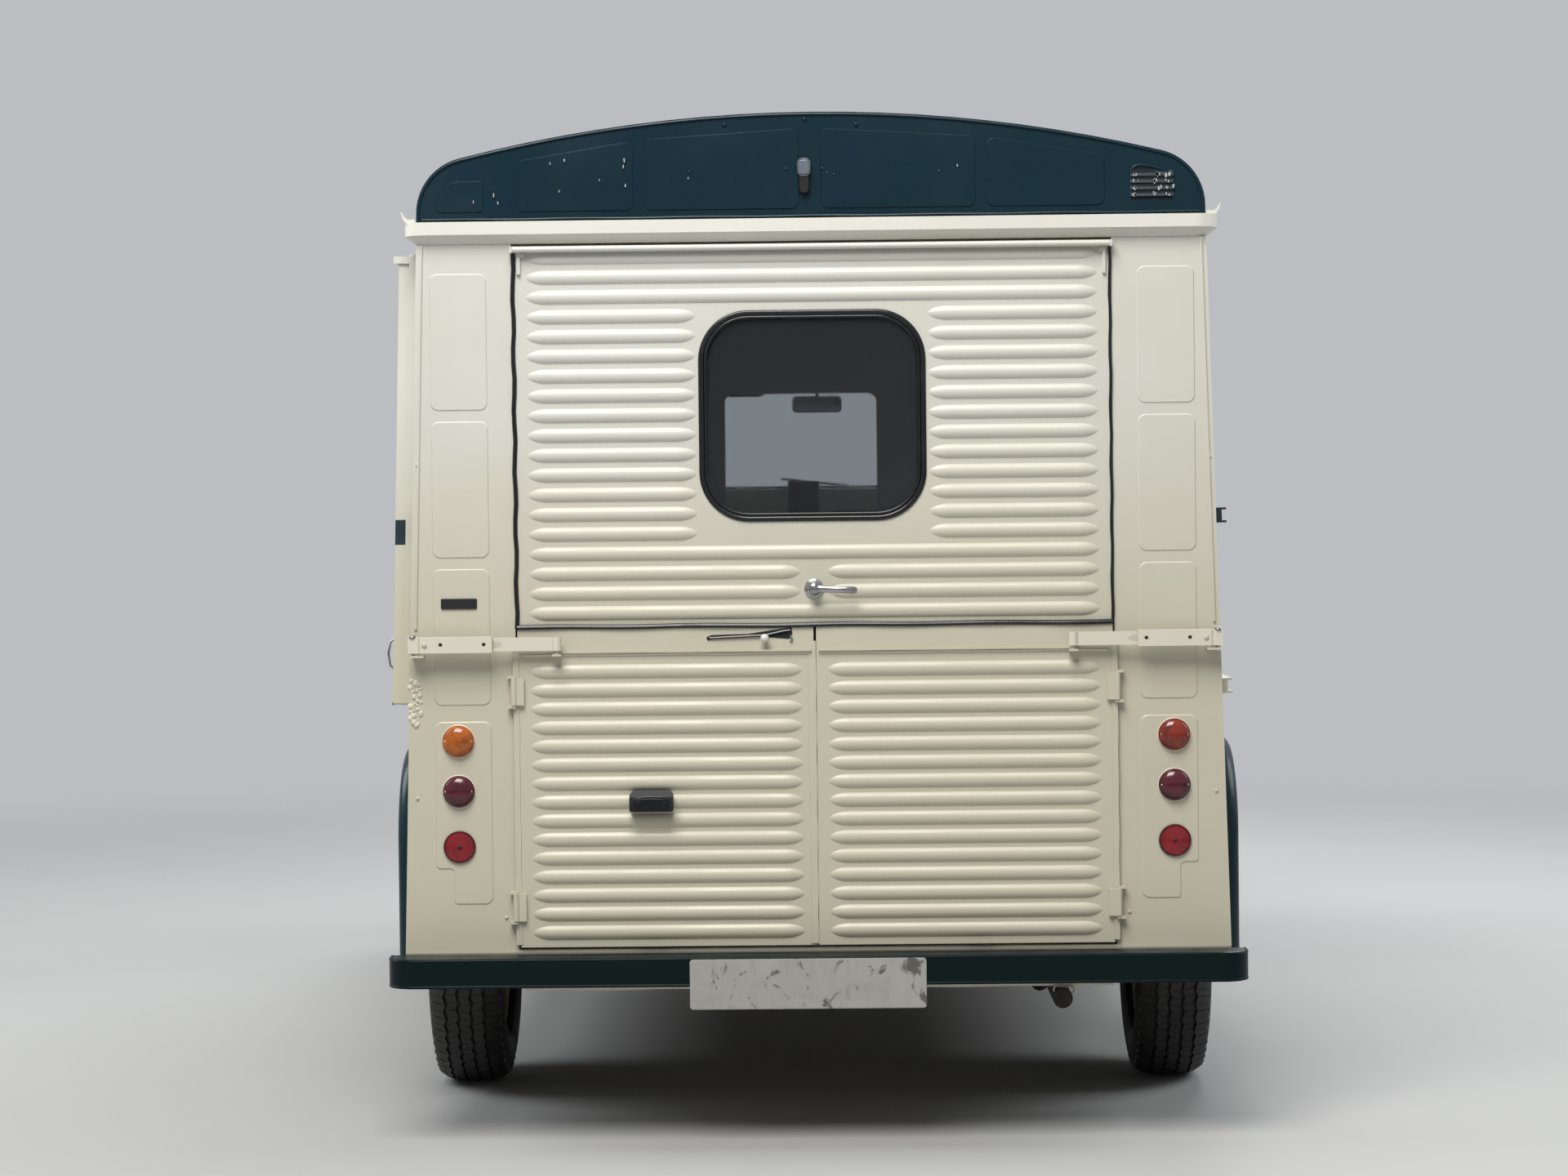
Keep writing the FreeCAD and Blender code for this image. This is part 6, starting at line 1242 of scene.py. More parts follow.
@dataclass
class Seats:
    """Two padded cab seats on their boxes."""

    across: float = 0.330
    wide: float = 0.440
    rear: float = 0.455
    base: float = 0.4203
    grid: int = 28
    channels: int = 5
    drawn: float = 0.035
    fill: float = 0.7
    # Length, thickness and crown of each pad, and its tilt in degrees
    cushion_pad: Triple = (0.42, 0.09, 0.035)
    cushion_tilt: float = 4
    back_pad: Triple = (0.46, 0.07, 0.030)
    back_tilt: float = -98

    def build(self) -> None:
        """Make each seat's cushion, back and box."""
        for side in Side:
            self.cushion(side)
            self.back(side)
            box = prism(rounded(self.wide * 0.92, 0.36, 0.03), self.base + 0.001, self.base + 0.30, 0.06)
            box = box.moved(Matrix.Translation((self.across * side.value, self.rear + 0.23, 0)))
            box.piece("seat_box_" + side.word, "root", "seat_cloth", BLACK, bevel=0.004)

    def pad(self, wide: float, long: float, thick: float, crown: float) -> Form:
        """A crowned pad lying flat, with sides drawn in between its corners and a welted edge.

        Args:
            wide: Its size along X.
            long: Its size along Y.
            thick: Its thickness at its edge.
            crown: How far its middle rises above its edge.

        Returns:
            The form, with its underside at the origin's height.
        """
        count = self.grid
        points, faces = [], []
        for upper in (False, True):
            for row in range(count + 1):
                for column in range(count + 1):
                    u, v = row / count * 2 - 1, column / count * 2 - 1
                    pull = (1 - self.drawn * (1 - abs(u) ** 2) * abs(v) ** 8
                            - self.drawn * (1 - abs(v) ** 2) * abs(u) ** 8)
                    edge = (1 - abs(u) ** 6) * (1 - abs(v) ** 6)
                    channel = 0.5 + 0.5 * math.cos(u * math.pi * self.channels)
                    swell = crown * edge ** 0.5 * (0.86 + 0.14 * (1 - channel ** 4))
                    if upper:
                        z = thick * 0.55 + swell + thick * 0.45 * edge ** 0.25
                    else:
                        z = thick * 0.55 * (1 - edge ** 0.3)
                    points.append(Vector((u * wide / 2 * pull, v * long / 2 * pull, z)))
        for layer in (0, 1):
            for row in range(count):
                for column in range(count):
                    a = layer * (count + 1) ** 2 + row * (count + 1) + column
                    faces.append((a, a + 1, a + count + 2, a + count + 1))
        return Form(points, faces)

    def cushion(self, side: Side) -> None:
        """Make the seat's cushion."""
        place = Matrix.Translation((self.across * side.value, self.rear + 0.245, self.base + 0.315))
        place = place @ Matrix.Rotation(math.radians(self.cushion_tilt), 4, "X")
        form = self.pad(self.wide, *self.cushion_pad).moved(place)
        piece = form.piece("seat_cushion_" + side.word, "root", "seat_cloth", SEAT)
        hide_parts("seats")

    def back(self, side: Side) -> None:
        """Make the seat's back."""
        place = Matrix.Translation((self.across * side.value, self.rear + 0.052, self.base + 0.655))
        place = place @ Matrix.Rotation(math.radians(self.back_tilt), 4, "X")
        form = self.pad(self.wide * 0.96, *self.back_pad).moved(place)
        piece = form.piece("seat_back_" + side.word, "root", "seat_cloth", SEAT)


@dataclass
class RoofEnd:
    """Lamp, vent, rim, bolts, stud and flaked spots on the roof's rear end."""

    face: float = REAR
    half: float = 0.8834
    foot: float = 2.0613
    top: float = 2.300
    crown: float = 3.300
    shoulder: float = 0.127
    rim_inset: float = 0.0052
    rim_bead: float = 0.0034
    fold_bead: float = 0.0030
    fold_half: float = 0.870
    lamp: Pair = (-0.013, 2.155)
    # Width, height and depth of the lamp's lens and cap, and how far each sits above the lamp's middle
    lens_size: Triple = (0.024, 0.050, 0.0150)
    lens_rise: float = -0.014
    cap_size: Triple = (0.029, 0.040, 0.0185)
    cap_rise: float = 0.020
    lamp_corner: float = 0.010
    stud: Pair = (-0.010, 2.2840)
    stud_profile: Profile = ((0.0055, 0.0), (0.0055, 0.004), (0.0032, 0.005), (0.0030, 0.012),
                             (0.0038, 0.0125), (0.0030, 0.0150))
    bolts: Profile = ((-0.190, 2.272), (-0.010, 2.283), (0.105, 2.270), (-0.270, 2.168), (-0.052, 2.172),
                      (0.028, 2.172), (0.040, 2.161), (0.290, 2.163), (0.055, 2.158))
    louvre_low: float = 2.0985
    lip_low: float = 2.1045
    louvre_pitch: float = 0.015
    louvre_middle: float = 0.764
    hood: Profile = ((0.718, 2.150), (0.719, 2.162), (0.727, 2.1705), (0.740, 2.1725), (0.765, 2.1690),
                     (0.790, 2.1610), (0.803, 2.1530))
    # Flaked spots: across, up and size
    spots: tuple[Triple, ...] = ((-0.708, 2.122, 0.8), (-0.699, 2.104, 0.6), (-0.754, 2.106, 0.6),
                                 (-0.581, 2.190, 0.6), (-0.549, 2.197, 0.7), (-0.471, 2.153, 0.45),
                                 (-0.561, 2.129, 0.55), (-0.415, 2.196, 0.8), (-0.417, 2.182, 0.6),
                                 (-0.413, 2.139, 0.7), (-0.272, 2.154, 0.45), (0.330, 2.176, 0.5))

    def build(self) -> None:
        """Make the roof end's fittings."""
        frame = rearward(self.lamp[0], self.face - 0.001, self.lamp[1])
        lens = self.block(self.lens_size, 0.10).moved(frame @ Matrix.Translation((0, self.lens_rise, 0)))
        lens.piece("roof_lamp_lens", "root", "lamp_glass", BROWN, 50, 0.003)
        cap = self.block(self.cap_size, 0.12).moved(frame @ Matrix.Translation((0, self.cap_rise, 0)))
        cap.piece("roof_lamp_cap", "root", "lamp_glass", GREY, 50, 0.003)
        stud = revolved(self.stud_profile, 14)
        stud = stud.moved(Matrix.Translation((self.stud[0], self.face + 0.012, self.stud[1])))
        stud.piece("roof_stud", "root", "steel", DULL)
        self.flakes()
        self.rim()
        self.vent()
        trim = loop(rounded(0.027, 0.038, 0.010, 6), 0.0012, 6)
        trim = trim.moved(frame @ Matrix.Translation((0, self.cap_rise, 0.0180)))
        trim.piece("roof_lamp_rim", "root", "bright_metal", BRIGHT)
        bolts = row_of(dome_head(0.0050, 0.0030), [rearward(x, self.face - 0.0005, z) for x, z in self.bolts])
        bolts.piece("roof_bolts", "root", "green_paint", GREEN)

    def block(self, size: Triple, inset: float) -> Form:
        """A block of the lamp with rounded corners, drawn in by a share towards its front."""
        wide, tall, out = size
        return prism(rounded(wide, tall, self.lamp_corner, 6), 0.0, out, inset)

    def rim(self) -> None:
        """Make the rolled rim that follows the roof's arch, and the fold along its foot."""
        inset = self.rim_inset
        reach, over, shoulder = self.half - inset, self.crown - inset, self.shoulder - inset
        across = self.half - self.shoulder
        high = self.top - self.crown + math.sqrt((self.crown - self.shoulder) ** 2 - across ** 2)
        lean = math.asin(across / (self.crown - self.shoulder))
        right = [(reach, self.foot + (high - self.foot) * step / 3) for step in range(3)]
        for step in range(13):
            angle = (math.pi / 2 - lean) * step / 12
            right.append((across + shoulder * math.cos(angle), high + shoulder * math.sin(angle)))
        for step in range(1, 15):
            angle = lean * (1 - step / 14)
            right.append((over * math.sin(angle), self.top - self.crown + over * math.cos(angle)))
        whole = right + [(-x, z) for x, z in reversed(right[:-1])]
        path = [(x, self.face - 0.0006, z) for x, z in whole]
        tube(path, self.rim_bead, 8).piece("roof_rim", "root", "green_paint", GREEN)
        foot = [(-self.fold_half + self.fold_half * 2 * step / 40, self.face - 0.0006,
                 self.foot + 0.0062 + 0.0006 * math.sin(step)) for step in range(41)]
        tube(foot, self.fold_bead, 8).piece("roof_foot_fold", "root", "green_paint", GREEN)

    def vent(self) -> None:
        """Make the gaps under the louvres, near-black sheets of painted shade, and the pressed hood over
        them.
        """
        gaps = Form()
        for row in range(5):
            wide, shift = (0.094, 0.0) if row < 4 else (0.060, -0.016)
            gap = prism(rounded(wide, 0.0056, 0.002, 3), -0.0005, 0.0032 if row else 0.0006)
            high = self.louvre_low + self.louvre_pitch * row
            gaps.add(gap, rearward(self.louvre_middle + shift, self.face, high))
        gaps.piece("vent_gaps", "root", "black_plastic", HOLLOW_SHADE)
        hood = tube([(x, self.face - 0.0004, z) for x, z in self.hood], 0.0036, 8)
        hood.piece("vent_hood", "root", "green_paint", GREEN)

    def flakes(self) -> None:
        """Make the spots where the paint has flaked to a pale ground."""
        rough = random.Random(11)
        form = Form()
        spots = list(self.spots)
        for row in range(4):
            lip = self.lip_low + self.louvre_pitch * row
            spots += [(0.720 + rough.random() * 0.014, lip + rough.uniform(0, 0.003), rough.uniform(0.4, 0.8))
                      for _ in range(3)]
            spots += [(0.766 + rough.random() * 0.046, lip + rough.uniform(0, 0.004),
                       rough.uniform(0.4, 0.95)) for _ in range(5)]
        for x, z, size in spots:
            wide, tall = 0.0026 if x < 0 else 0.0038, 0.0085
            outline = []
            for step in range(9):
                angle = 2 * math.pi * step / 9
                reach = size * rough.uniform(0.45, 1.0)
                outline.append((wide * reach * math.cos(angle), tall * reach * math.sin(angle)))
            form.add(prism(outline, -0.0015, 0.0004), rearward(x, self.face - 0.0062, z))
        form.piece("roof_flakes", "root", "green_paint", CHALK)


@dataclass
class CornerStrips:
    """Seam strips down the rear corners, the gutter's end tabs and the patch of filler."""

    low: float = 1.150
    top: float = 2.010
    low_across: float = 0.8956
    top_across: float = 0.8723
    tab: Profile = ((0.884, 2.058), (0.906, 2.0605), (0.913, 2.070), (0.918, 2.086), (0.9155, 2.0855),
                    (0.909, 2.0745), (0.902, 2.0695), (0.886, 2.0700))
    lumps: int = 34
    filler_low: float = 0.935
    filler_tall: float = 0.100
    filler_across: float = -0.9035
    lump: Profile = ((0.9, 0.25), (0.6, 0.45), (0.15, 0.55))

    def build(self) -> None:
        """Make the strips, tabs and filler."""
        for side in Side:
            sign = side.value
            path = []
            for step in range(11):
                x = self.low_across + (self.top_across - self.low_across) * step / 10
                path.append((x * sign, REAR - 0.0022, self.low + (self.top - self.low) * step / 10))
            tube(path, 0.0030, 8).piece("corner_strip_" + side.word, "root", "cream_paint", CREAM)
            place = Matrix.Scale(sign, 4, (1, 0, 0)) @ Matrix.Translation((0, REAR - 0.0010, 0)) @ UPRIGHT
            tab = prism(self.tab, -0.0012, 0.0012).moved(place)
            tab.piece("gutter_tab_" + side.word, "root", "cream_paint", PALE_AND_LIT)
        self.filler()

    def filler(self) -> None:
        """Make the lumpy patch of filler under the hatch's corner."""
        rough = random.Random(5)
        form = Form()
        for step in range(self.lumps):
            high = self.filler_low + self.filler_tall * step / (self.lumps - 1)
            across = self.filler_across - 0.0085 * rough.random() + 0.020 * rough.random() ** 2
            size = rough.uniform(0.0035, 0.0078)
            profile = [(size, -0.001)] + [(size * wide, size * tall) for wide, tall in self.lump]
            lump = revolved(profile, 9)
            form.add(lump, rearward(across, REAR - 0.0002, high, rough.uniform(0, 90)))
        form.piece("filler_patch", "root", "cream_paint", FILLER, 80)


@dataclass
class PillarFittings:
    """Blank badge holder and screws on the rear pillars."""

    holder: Pair = (-0.798, 1.207)
    holder_size: Triple = (0.082, 0.024, 0.003)
    screws: Profile = ((0.888, 1.52), (0.893, 1.10), (0.897, 0.77), (0.700, 0.50))

    def build(self) -> None:
        """Make the pillars' small fittings."""
        holder = prism(rounded(*self.holder_size, 3), 0.0, 0.0035, 0.03)
        holder = holder.moved(rearward(self.holder[0], REAR - 0.0022, self.holder[1]))
        holder.piece("blank_holder", "root", "black_plastic", BLACK, 50, 0.0008)
        for side in Side:
            spots = [rearward(x * side.value, REAR - 0.001, z) for x, z in self.screws]
            screws = row_of(slotted_head(0.0040, 0.0022), spots)
            screws.piece("pillar_screws_" + side.word, "root", "cream_paint", CREAM)


@dataclass
class HatchFittings:
    """Hook, lower edge and screws of the serving hatch."""

    rear: float = -1.900
    front: float = 0.100
    low: float = 0.975
    out: float = -0.0525
    # The hook's path: out from the flap, forwards from the hatch's rear edge, and up
    hook: tuple[Triple, ...] = ((0.001, 0.045, 1.055), (0.010, 0.043, 1.062), (0.014, 0.035, 1.090),
                                (0.009, 0.033, 1.118), (0.001, 0.033, 1.123))
    screw_heights: tuple[float, ...] = (1.0, 1.25, 1.5, 1.75, 1.95)

    def build(self) -> None:
        """Make the hatch's fittings."""
        frame = side_frame(Side.LEFT)
        hook = tube([(self.out - out, self.rear + along, z) for out, along, z in self.hook], 0.0026, 8)
        hook.moved(frame).piece("flap_hook", "hatch_flap", "steel", DULL)
        path = [(self.out + 0.002, self.rear + 0.010 + step * 0.165, self.low + 0.002)
                for step in range(13)]
        tube(path, 0.0040, 8).moved(frame).piece("flap_edge", "hatch_flap", "steel", DULL)
        spots = [frame @ facing((-0.0272, y, z), (-1, 0, 0)) for y in (self.rear + 0.02, self.front - 0.02)
                 for z in self.screw_heights]
        row_of(slotted_head(0.0040, 0.0024), spots).piece("hatch_screws", "root", "cream_paint", CREAM)


@dataclass
class WindowRubbers:
    """Rubber strips round the windscreen, the cab door windows and the side door window."""

    strip: float = 0.0085

    def strip_round(self, size: Triple, frame: Matrix, name: str, body: str) -> None:
        """Make one closed strip.

        Args:
            size: The opening's width, its height and the radius of its corners.
            frame: The opening's frame, with X along its width and Y up.
            name: The piece's name.
            body: The body that it rides on.
        """
        wide, tall, corner = size
        loop(rounded(wide, tall, corner, 8), self.strip, 10).moved(frame).piece(name, body, "rubber", SEAL)

    def build(self) -> None:
        """Make every strip."""
        screen = (SCREEN_FOOT @ SCREEN_RAKE @ Matrix.Translation((0, 0, 0.3275))
                  @ facing((0, -0.001, 0), (0, 1, 0)))
        self.strip_round((1.400, 0.445, 0.090), screen, "windscreen_rubber", "root")
        for side in Side:
            cab = side_frame(side) @ facing((-0.001 * side.value, 0.840, 1.600), (side.value, 0, 0))
            self.strip_round((0.540, 0.500, 0.060), cab, "cab_window_rubber_" + side.word,
                             "cab_door_" + side.word)
        door = side_frame(Side.RIGHT) @ facing((0.115, -0.025, 1.640), (1, 0, 0))
        self.strip_round((0.710, 0.420, 0.060), door, "side_window_rubber", "side_door")


@dataclass
class RearWindowSeal:
    """The moulded rubber round the tailgate's window, with a broad outer bead and a thin inner lip."""

    half: float = 0.255
    low: float = 1.384
    top: float = 1.858
    corner: float = 0.112
    face: float = REAR - 0.002
    # The section: inwards from the outer edge, and out from the tailgate's face
    section: Profile = ((0.0, -0.0004), (0.0006, 0.0030), (0.0030, 0.0046), (0.0070, 0.0048),
                        (0.0102, 0.0044), (0.0118, 0.0022), (0.0124, 0.0014), (0.0131, 0.0022),
                        (0.0150, 0.0034), (0.0180, 0.0032), (0.0202, 0.0012), (0.0206, -0.0100),
                        (0.0110, -0.0100), (0.0100, -0.0004))

    def build(self) -> None:
        """Make the seal from loops laid side by side across its section."""
        wide, tall, high = self.half * 2, self.top - self.low, (self.top + self.low) / 2
        points = []
        for inwards, out in self.section:
            ring = rounded(wide - inwards * 2, tall - inwards * 2, self.corner - inwards, 12)
            points += [Vector((x, self.face - out, high + z)) for x, z in ring]
        rings, around = len(self.section), len(ring)
        form = Form(points, ring_faces(rings, around) + closing_faces(rings, around))
        piece = form.piece("rear_window_moulding", "tailgate", "rubber", SEAL, 60)
        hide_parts("rear_window_seal")


@dataclass
class RearUnderside:
    """The rolled edges of the bumpers, the pale lip of the rear beam and the lashing eye."""

    bumper_half: float = 0.9575
    bumper_out: float = 2.130
    corner: float = 0.060
    rear_low: float = 0.356
    front_low: float = 0.396
    bead: float = 0.0042
    inset: float = 0.0032
    lip_left: float = -0.660
    lip_right: float = 0.665
    lip_low: float = 0.3345
    lip_top: float = 0.3475
    eye: Triple = (0.552, REAR - 0.004, 0.3265)
    eye_size: Triple = (0.047, 0.015, 0.0070)
    eye_turn: float = -4

    def build(self) -> None:
        """Make the beads, the lip and the eye."""
        self.rolled_edges("rear", -1, self.rear_low)
        self.rolled_edges("front", 1, self.front_low)
        wide = self.lip_right - self.lip_left
        outline = [(self.lip_left + wide * step / 40, self.lip_low + 0.0009 * math.sin(step * 0.8))
                   for step in range(41)]
        outline += [(self.lip_right, self.lip_top), (self.lip_left, self.lip_top)]
        lip = prism(outline, -0.0015, 0.0015).moved(Matrix.Translation((0, REAR + 0.0018, 0)) @ UPRIGHT)
        lip.piece("rear_beam_lip", "root", "underframe_paint", PALE_AND_LIT, 30)
        eye = loop(rounded(*self.eye_size, 6), 0.0026, 8).moved(rearward(*self.eye, self.eye_turn))
        eye.piece("lashing_eye", "root", "underframe_paint", PALE_AND_LIT)

    def rolled_edges(self, end: str, sign: int, low: float) -> None:
        """Make a round bead along a bumper's upper and lower edge.

        Args:
            end: The truck's end, for the name.
            sign: The way it faces along Y.
            low: The height of the bumper's lower edge.
        """
        form = Form()
        half, out = self.bumper_half - self.inset, self.bumper_out - self.inset
        turn = self.corner - self.inset
        for high in (low + 0.0034, low + 0.0612):
            right = [(half, (out - 0.090) * sign), (half, (out - turn) * sign)]
            for step in range(1, 11):
                angle = math.pi / 2 * step / 10
                y = out - turn + turn * math.sin(angle)
                right.append((half - turn + turn * math.cos(angle), y * sign))
            whole = right + [(0.0, out * sign)] + [(-x, y) for x, y in reversed(right)]
            form.add(tube([(x, y, high) for x, y in whole], self.bead, 8))
        # The beads wear the green darkened as painted shade
        form.piece("bumper_beads_" + end, "root", "green_paint", GREEN_SHADED)


@dataclass
class Wipers:
    """Two wipers on the windscreen."""

    shifts: Pair = (-0.64, 0.0)
    pivot: Triple = (0.300, 0.0, -0.012)
    pivot_profile: Profile = ((0.016, -0.001), (0.016, 0.006), (0.010, 0.012), (0.008, 0.026), (0.004, 0.028))
    arm: tuple[Triple, ...] = ((0.300, 0.022, -0.012), (0.180, 0.026, 0.018), (0.080, 0.018, 0.051))
    blade: tuple[Triple, ...] = ((0.270, 0.018, 0.020), (0.070, 0.014, 0.049), (-0.117, 0.012, 0.070))

    def build(self) -> None:
        """Make each wiper's pivot, arm and blade."""
        screen = Matrix.Translation((0, 0, 0.065)) @ SCREEN_FOOT @ SCREEN_RAKE
        for name, shift in zip(("left", "right"), self.shifts):
            frame = screen @ Matrix.Translation((shift, 0, 0))
            whole = revolved(self.pivot_profile, 20).moved(frame @ facing(self.pivot, (0, 1, 0)))
            whole.add(tube(self.arm, 0.0035, 8), frame).add(tube(self.blade, 0.0042, 8), frame)
            whole.piece("wiper_" + name, "root", "black_plastic", BLACK)


@dataclass
class DoorFittings:
    """Glass of the door mirrors, and the side door's pull and lock."""

    mirror: Triple = (0.188, 1.1395, 1.450)
    mirror_size: Triple = (0.054, 0.112, 0.012)
    base: float = 0.1165
    along: float = 0.335
    # The pull's path: out from the door's face, and up
    pull: Profile = ((0.0, 1.10), (0.020, 1.105), (0.032, 1.125), (0.033, 1.190), (0.020, 1.212),
                     (0.0, 1.217))
    lock: Profile = ((0.013, 0.0), (0.013, 0.003), (0.009, 0.0045), (0.003, 0.0048))
    lock_high: float = 1.040

    def build(self) -> None:
        """Make the doors' fittings."""
        for side in Side:
            across, along, high = self.mirror
            frame = side_frame(side) @ rearward(across * side.value, along, high)
            glass = prism(rounded(*self.mirror_size, 5), 0.0, 0.0012).moved(frame)
            glass.piece("mirror_glass_" + side.word, "cab_door_" + side.word, "bright_metal", BRIGHT)
        frame = side_frame(Side.RIGHT)
        pull = tube([(self.base + out, self.along, high) for out, high in self.pull], 0.0065, 12).moved(frame)
        pull.piece("side_door_pull", "side_door", "bright_metal", BRIGHT)
        spot = (self.base, self.along, self.lock_high)
        lock = revolved(self.lock, 24).moved(frame @ facing(spot, (1, 0, 0)))
        lock.piece("side_door_lock", "side_door", "bright_metal", BRIGHT)


@dataclass
class Cabin:
    """Dials, heater box, sun visors and the interior mirror's glass."""

    # Each dial's place across and its radius
    dials: Profile = ((-0.42, 0.045), (-0.31, 0.045), (-0.215, 0.026))
    dial_face: Pair = (1.1955, 1.295)
    dial_profile: Profile = ((1.0, -0.004), (1.0, 0.004), (0.93, 0.006), (0.88, 0.003), (0.1, 0.003))
    heater: Pair = (-0.0445, 1.215)
    heater_size: Triple = (0.080, 0.107, 0.014)
    heater_low: float = 1.3385
    heater_top: float = 1.5070
    visor: Triple = (0.386, 1.232, 1.838)
    visor_size: Triple = (0.460, 0.130, 0.030)
    visor_arm: Profile = ((1.238, 1.885), (1.246, 1.930), (1.2575, 1.944))
    mirror: Triple = (0, 1.1600, 1.7455)
    mirror_size: Triple = (0.146, 0.043, 0.012)

    def build(self) -> None:
        """Make the cab's small pieces."""
        for number, (x, radius) in enumerate(self.dials):
            ring = turned(radius, self.dial_profile, 32).moved(facing((x, *self.dial_face), (0, -1, 0.12)))
            ring.piece("dial_%d" % number, "root", "black_plastic", BLACK)
        box = prism(rounded(*self.heater_size, 4), self.heater_low, self.heater_top, 0.07)
        box = box.moved(Matrix.Translation((*self.heater, 0)) @ Matrix.Rotation(math.radians(90), 4, "Z"))
        box.piece("dash_heater_box", "root", "black_plastic", BLACK, 40, 0.004)
        for side in Side:
            self.sun_visor(side)
        glass = prism(rounded(*self.mirror_size, 5), 0.0, 0.0008).moved(rearward(*self.mirror))
        glass.piece("cab_mirror_glass", "root", "bright_metal", BRIGHT)

    def sun_visor(self, side: Side) -> None:
        """Make one sun visor with its two arms."""
        across, along, high = self.visor
        board = prism(rounded(*self.visor_size, 5), -0.008, 0.008)
        board = board.moved(facing((across * side.value, along, high), (0, -1, 0.10)))
        for reach in (-0.15, 0.15):
            x = across * side.value + reach
            board.add(tube([(x, y, z) for y, z in self.visor_arm], 0.004, 8))
        board.piece("sun_visor_" + side.word, "root", "cabin_paint", BLACK, 40)


# The studio

@dataclass(frozen=True)
class SoftLamp:
    """One square soft lamp of the studio."""

    name: str
    spot: Triple
    aim: Triple
    power: float
    colour: Colour
    size: float = 4.0

    def hang(self) -> None:
        """Put the lamp in the scene, pointing at its aim."""
        data = bpy.data.lights.new(self.name, "AREA")
        data.shape = "SQUARE"
        data.size = self.size
        data.energy = self.power
        data.color = self.colour
        thing = bpy.data.objects.new(self.name, data)
        thing.location = self.spot
        thing.rotation_euler = (Vector(self.aim) - Vector(self.spot)).to_track_quat("-Z", "Y").to_euler()
        bpy.context.scene.collection.objects.link(thing)


WARM = (1.0, 0.985, 0.95)
COOL = (0.95, 0.98, 1.0)
LAMPS = (SoftLamp("over_rear", (-1.2, -6.0, 6.9), (0, -2.0, 1.1), 640, WARM),
         SoftLamp("over_front", (1.5, 6.0, 6.0), (0, 1.2, 0.8), 430, COOL),
         SoftLamp("over_left", (-6.5, 0, 5.4), (0, 0, 1.0), 340, COOL),
         SoftLamp("over_right", (6.5, 0, 5.4), (0, 0, 1.0), 340, COOL))


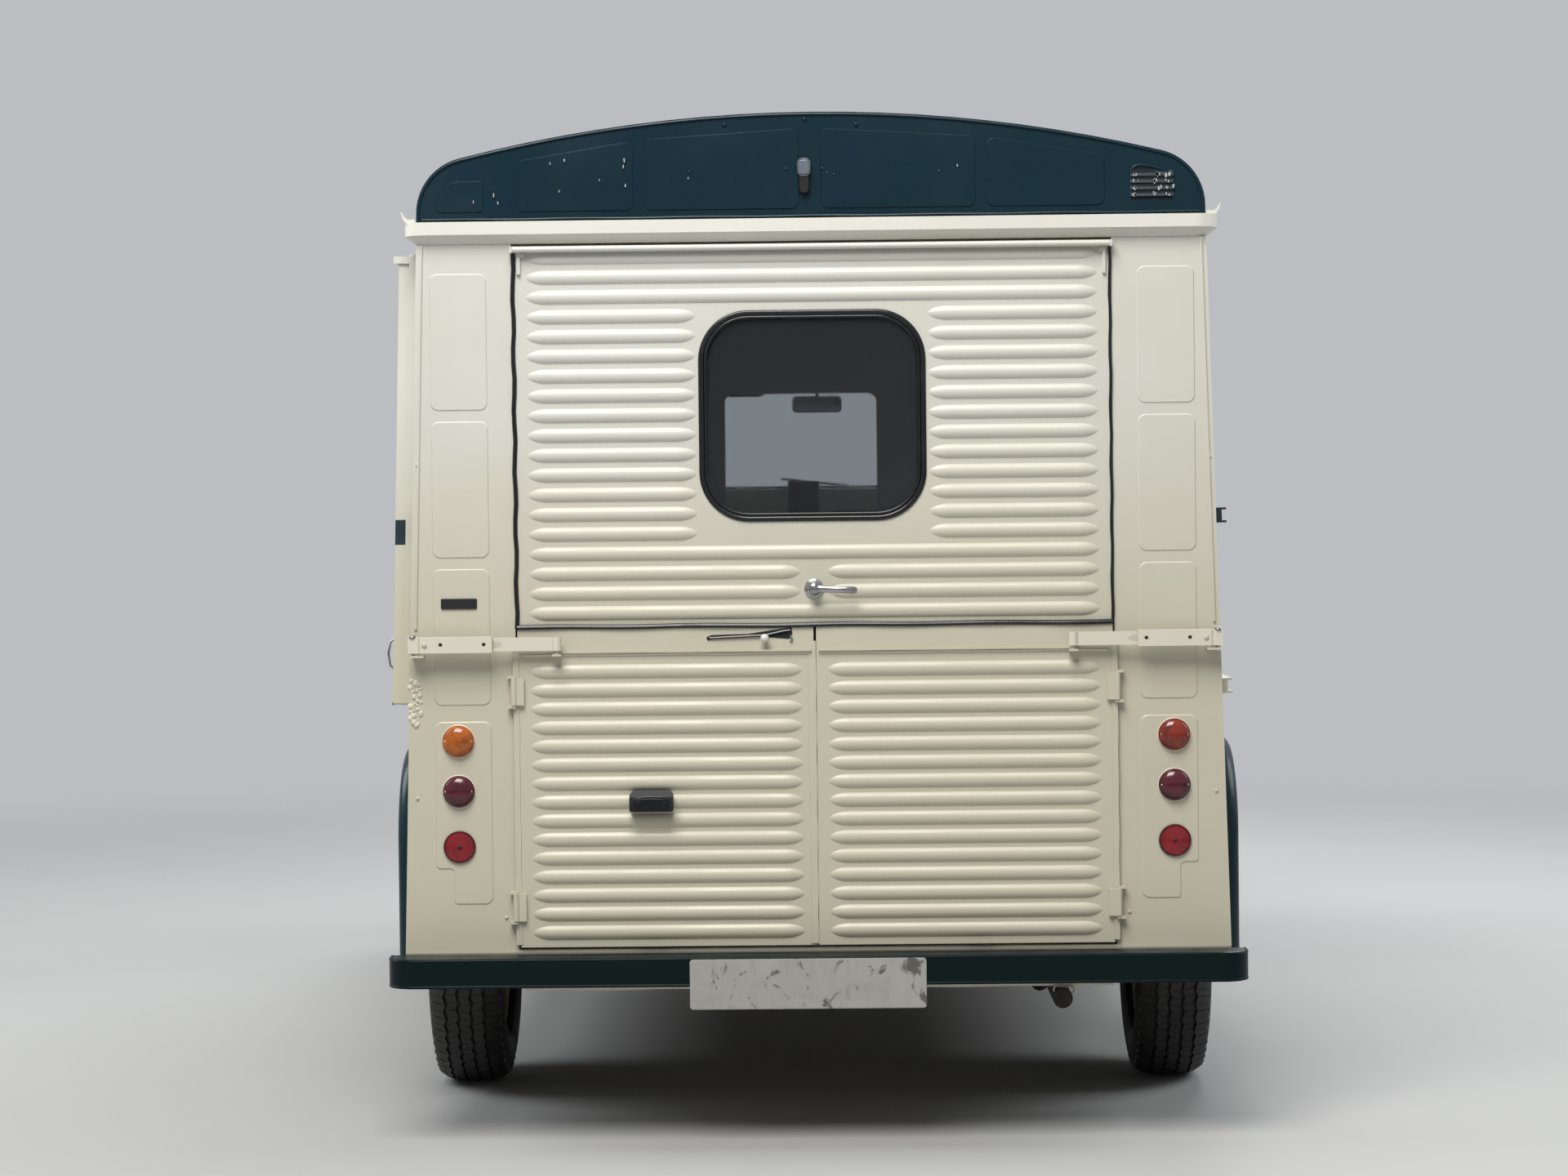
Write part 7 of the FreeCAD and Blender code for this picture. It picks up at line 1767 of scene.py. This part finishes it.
@dataclass
class Studio:
    """The pale floor, the soft lamps, the backdrop and the camera."""

    backdrop: Colour = (0.50, 0.51, 0.53)
    ground: Colour = (0.42, 0.42, 0.415)
    ground_worn: Colour = (0.37, 0.37, 0.365)
    fade: Pair = (3.2, 9.5)
    sky: Colour = (0.92, 0.95, 1.0)
    sky_strength: float = 0.22
    width_px: int = 1920
    focal_px: float = 4368.0
    sensor_mm: float = 36.0
    eye: Triple = (0.037, -10.01, 1.394)
    yaw: float = 0.75
    pitch: float = 1.14
    roll: float = -0.63

    def build(self) -> None:
        """Make the floor, the world, the lamps and the camera."""
        self.floor()
        self.world()
        for lamp in LAMPS:
            lamp.hang()
        self.camera()

    def floor(self) -> None:
        """Make a wide floor that fades into the backdrop far from the truck."""
        mesh = bpy.data.meshes.new("studio_floor")
        form = revolved([(0.001, 0.0), (3.0, 0.0), (9.0, 0.0), (40.0, 0.0), (90.0, 0.0)], 64)
        mesh.from_pydata([tuple(point) for point in form.points], [], form.faces[:-1])
        floor = bpy.data.objects.new("studio_floor", mesh)
        bpy.context.scene.collection.objects.link(floor)
        kit = Shading("studio_floor")
        kit.set(Base_Color=kit.mix(kit.noise(0.6, 4), self.ground, self.ground_worn), Roughness=0.75,
                Specular_IOR_Level=0.3)
        away = kit.node("ShaderNodeVectorMath", operation="LENGTH")
        kit.join(kit.place, away.inputs[0])
        far = kit.ramp(away.outputs["Value"], *self.fade)
        seen = kit.node("ShaderNodeLightPath")
        glow = kit.node("ShaderNodeEmission")
        kit.join(self.backdrop, glow.inputs["Color"])
        blend = kit.node("ShaderNodeMixShader")
        kit.join(kit.maths("MULTIPLY", far, seen.outputs["Is Camera Ray"]), blend.inputs[0])
        kit.join(kit.shader.outputs[0], blend.inputs[1])
        kit.join(glow.outputs[0], blend.inputs[2])
        kit.join(blend.outputs[0], kit.tree.nodes["Material Output"].inputs["Surface"])
        mesh.materials.append(kit.material)

    def world(self) -> None:
        """Set a plain light all round, and the pale backdrop that the camera, gloss and glass see."""
        world = bpy.data.worlds.new("studio")
        bpy.context.scene.world = world
        world.use_nodes = True
        tree = world.node_tree
        light = tree.nodes["Background"]
        light.inputs["Color"].default_value = (*self.sky, 1)
        light.inputs["Strength"].default_value = self.sky_strength
        back = tree.nodes.new("ShaderNodeBackground")
        back.inputs["Color"].default_value = (*self.backdrop, 1)
        back.inputs["Strength"].default_value = 1.0
        path = tree.nodes.new("ShaderNodeLightPath")
        seen = tree.nodes.new("ShaderNodeMath")
        seen.operation = "MAXIMUM"
        also = tree.nodes.new("ShaderNodeMath")
        also.operation = "MAXIMUM"
        tree.links.new(path.outputs["Is Camera Ray"], seen.inputs[0])
        tree.links.new(path.outputs["Is Glossy Ray"], seen.inputs[1])
        tree.links.new(seen.outputs[0], also.inputs[0])
        tree.links.new(path.outputs["Is Transmission Ray"], also.inputs[1])
        blend = tree.nodes.new("ShaderNodeMixShader")
        tree.links.new(also.outputs[0], blend.inputs[0])
        tree.links.new(light.outputs[0], blend.inputs[1])
        tree.links.new(back.outputs[0], blend.inputs[2])
        tree.links.new(blend.outputs[0], tree.nodes["World Output"].inputs["Surface"])

    def camera(self) -> None:
        """Set the camera where the photograph was taken from."""
        data = bpy.data.cameras.new("camera")
        data.sensor_width = self.sensor_mm
        data.lens = self.focal_px * self.sensor_mm / self.width_px
        data.clip_end = 300
        camera = bpy.data.objects.new("camera", data)
        camera.location = self.eye
        yaw, pitch, roll = (math.radians(value) for value in (self.yaw, self.pitch, self.roll))
        camera.rotation_euler = (Matrix.Rotation(yaw, 3, "Z") @ Matrix.Rotation(math.pi / 2 - pitch, 3, "X")
                                 @ Matrix.Rotation(roll, 3, "Z")).to_euler()
        bpy.context.scene.collection.objects.link(camera)
        bpy.context.scene.camera = camera


def main() -> None:
    """Load the frame, build every sub-assembly in order and note the sizes."""
    logging.basicConfig(level=logging.INFO, format="%(name)s: %(message)s")
    random.seed(7)
    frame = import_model()
    bpy.context.scene.view_settings.view_transform = "Standard"
    Studio().build()
    Bodywork().dress(frame["nodes"])
    for part in (Wheels(), RearLamps(), RearDoors(), DoorStays(), RearWindowSeal(), RearUnderside(),
                 RoofEnd(), CornerStrips(), PillarFittings(), HatchFittings(), PlateLamp(), Plates(),
                 Headlamps(), WindowRubbers(), Wipers(), DoorFittings(), Cabin(), Seats()):
        log.info("building %s", type(part).__name__)
        part.build()


if __name__ == "__main__":
    main()
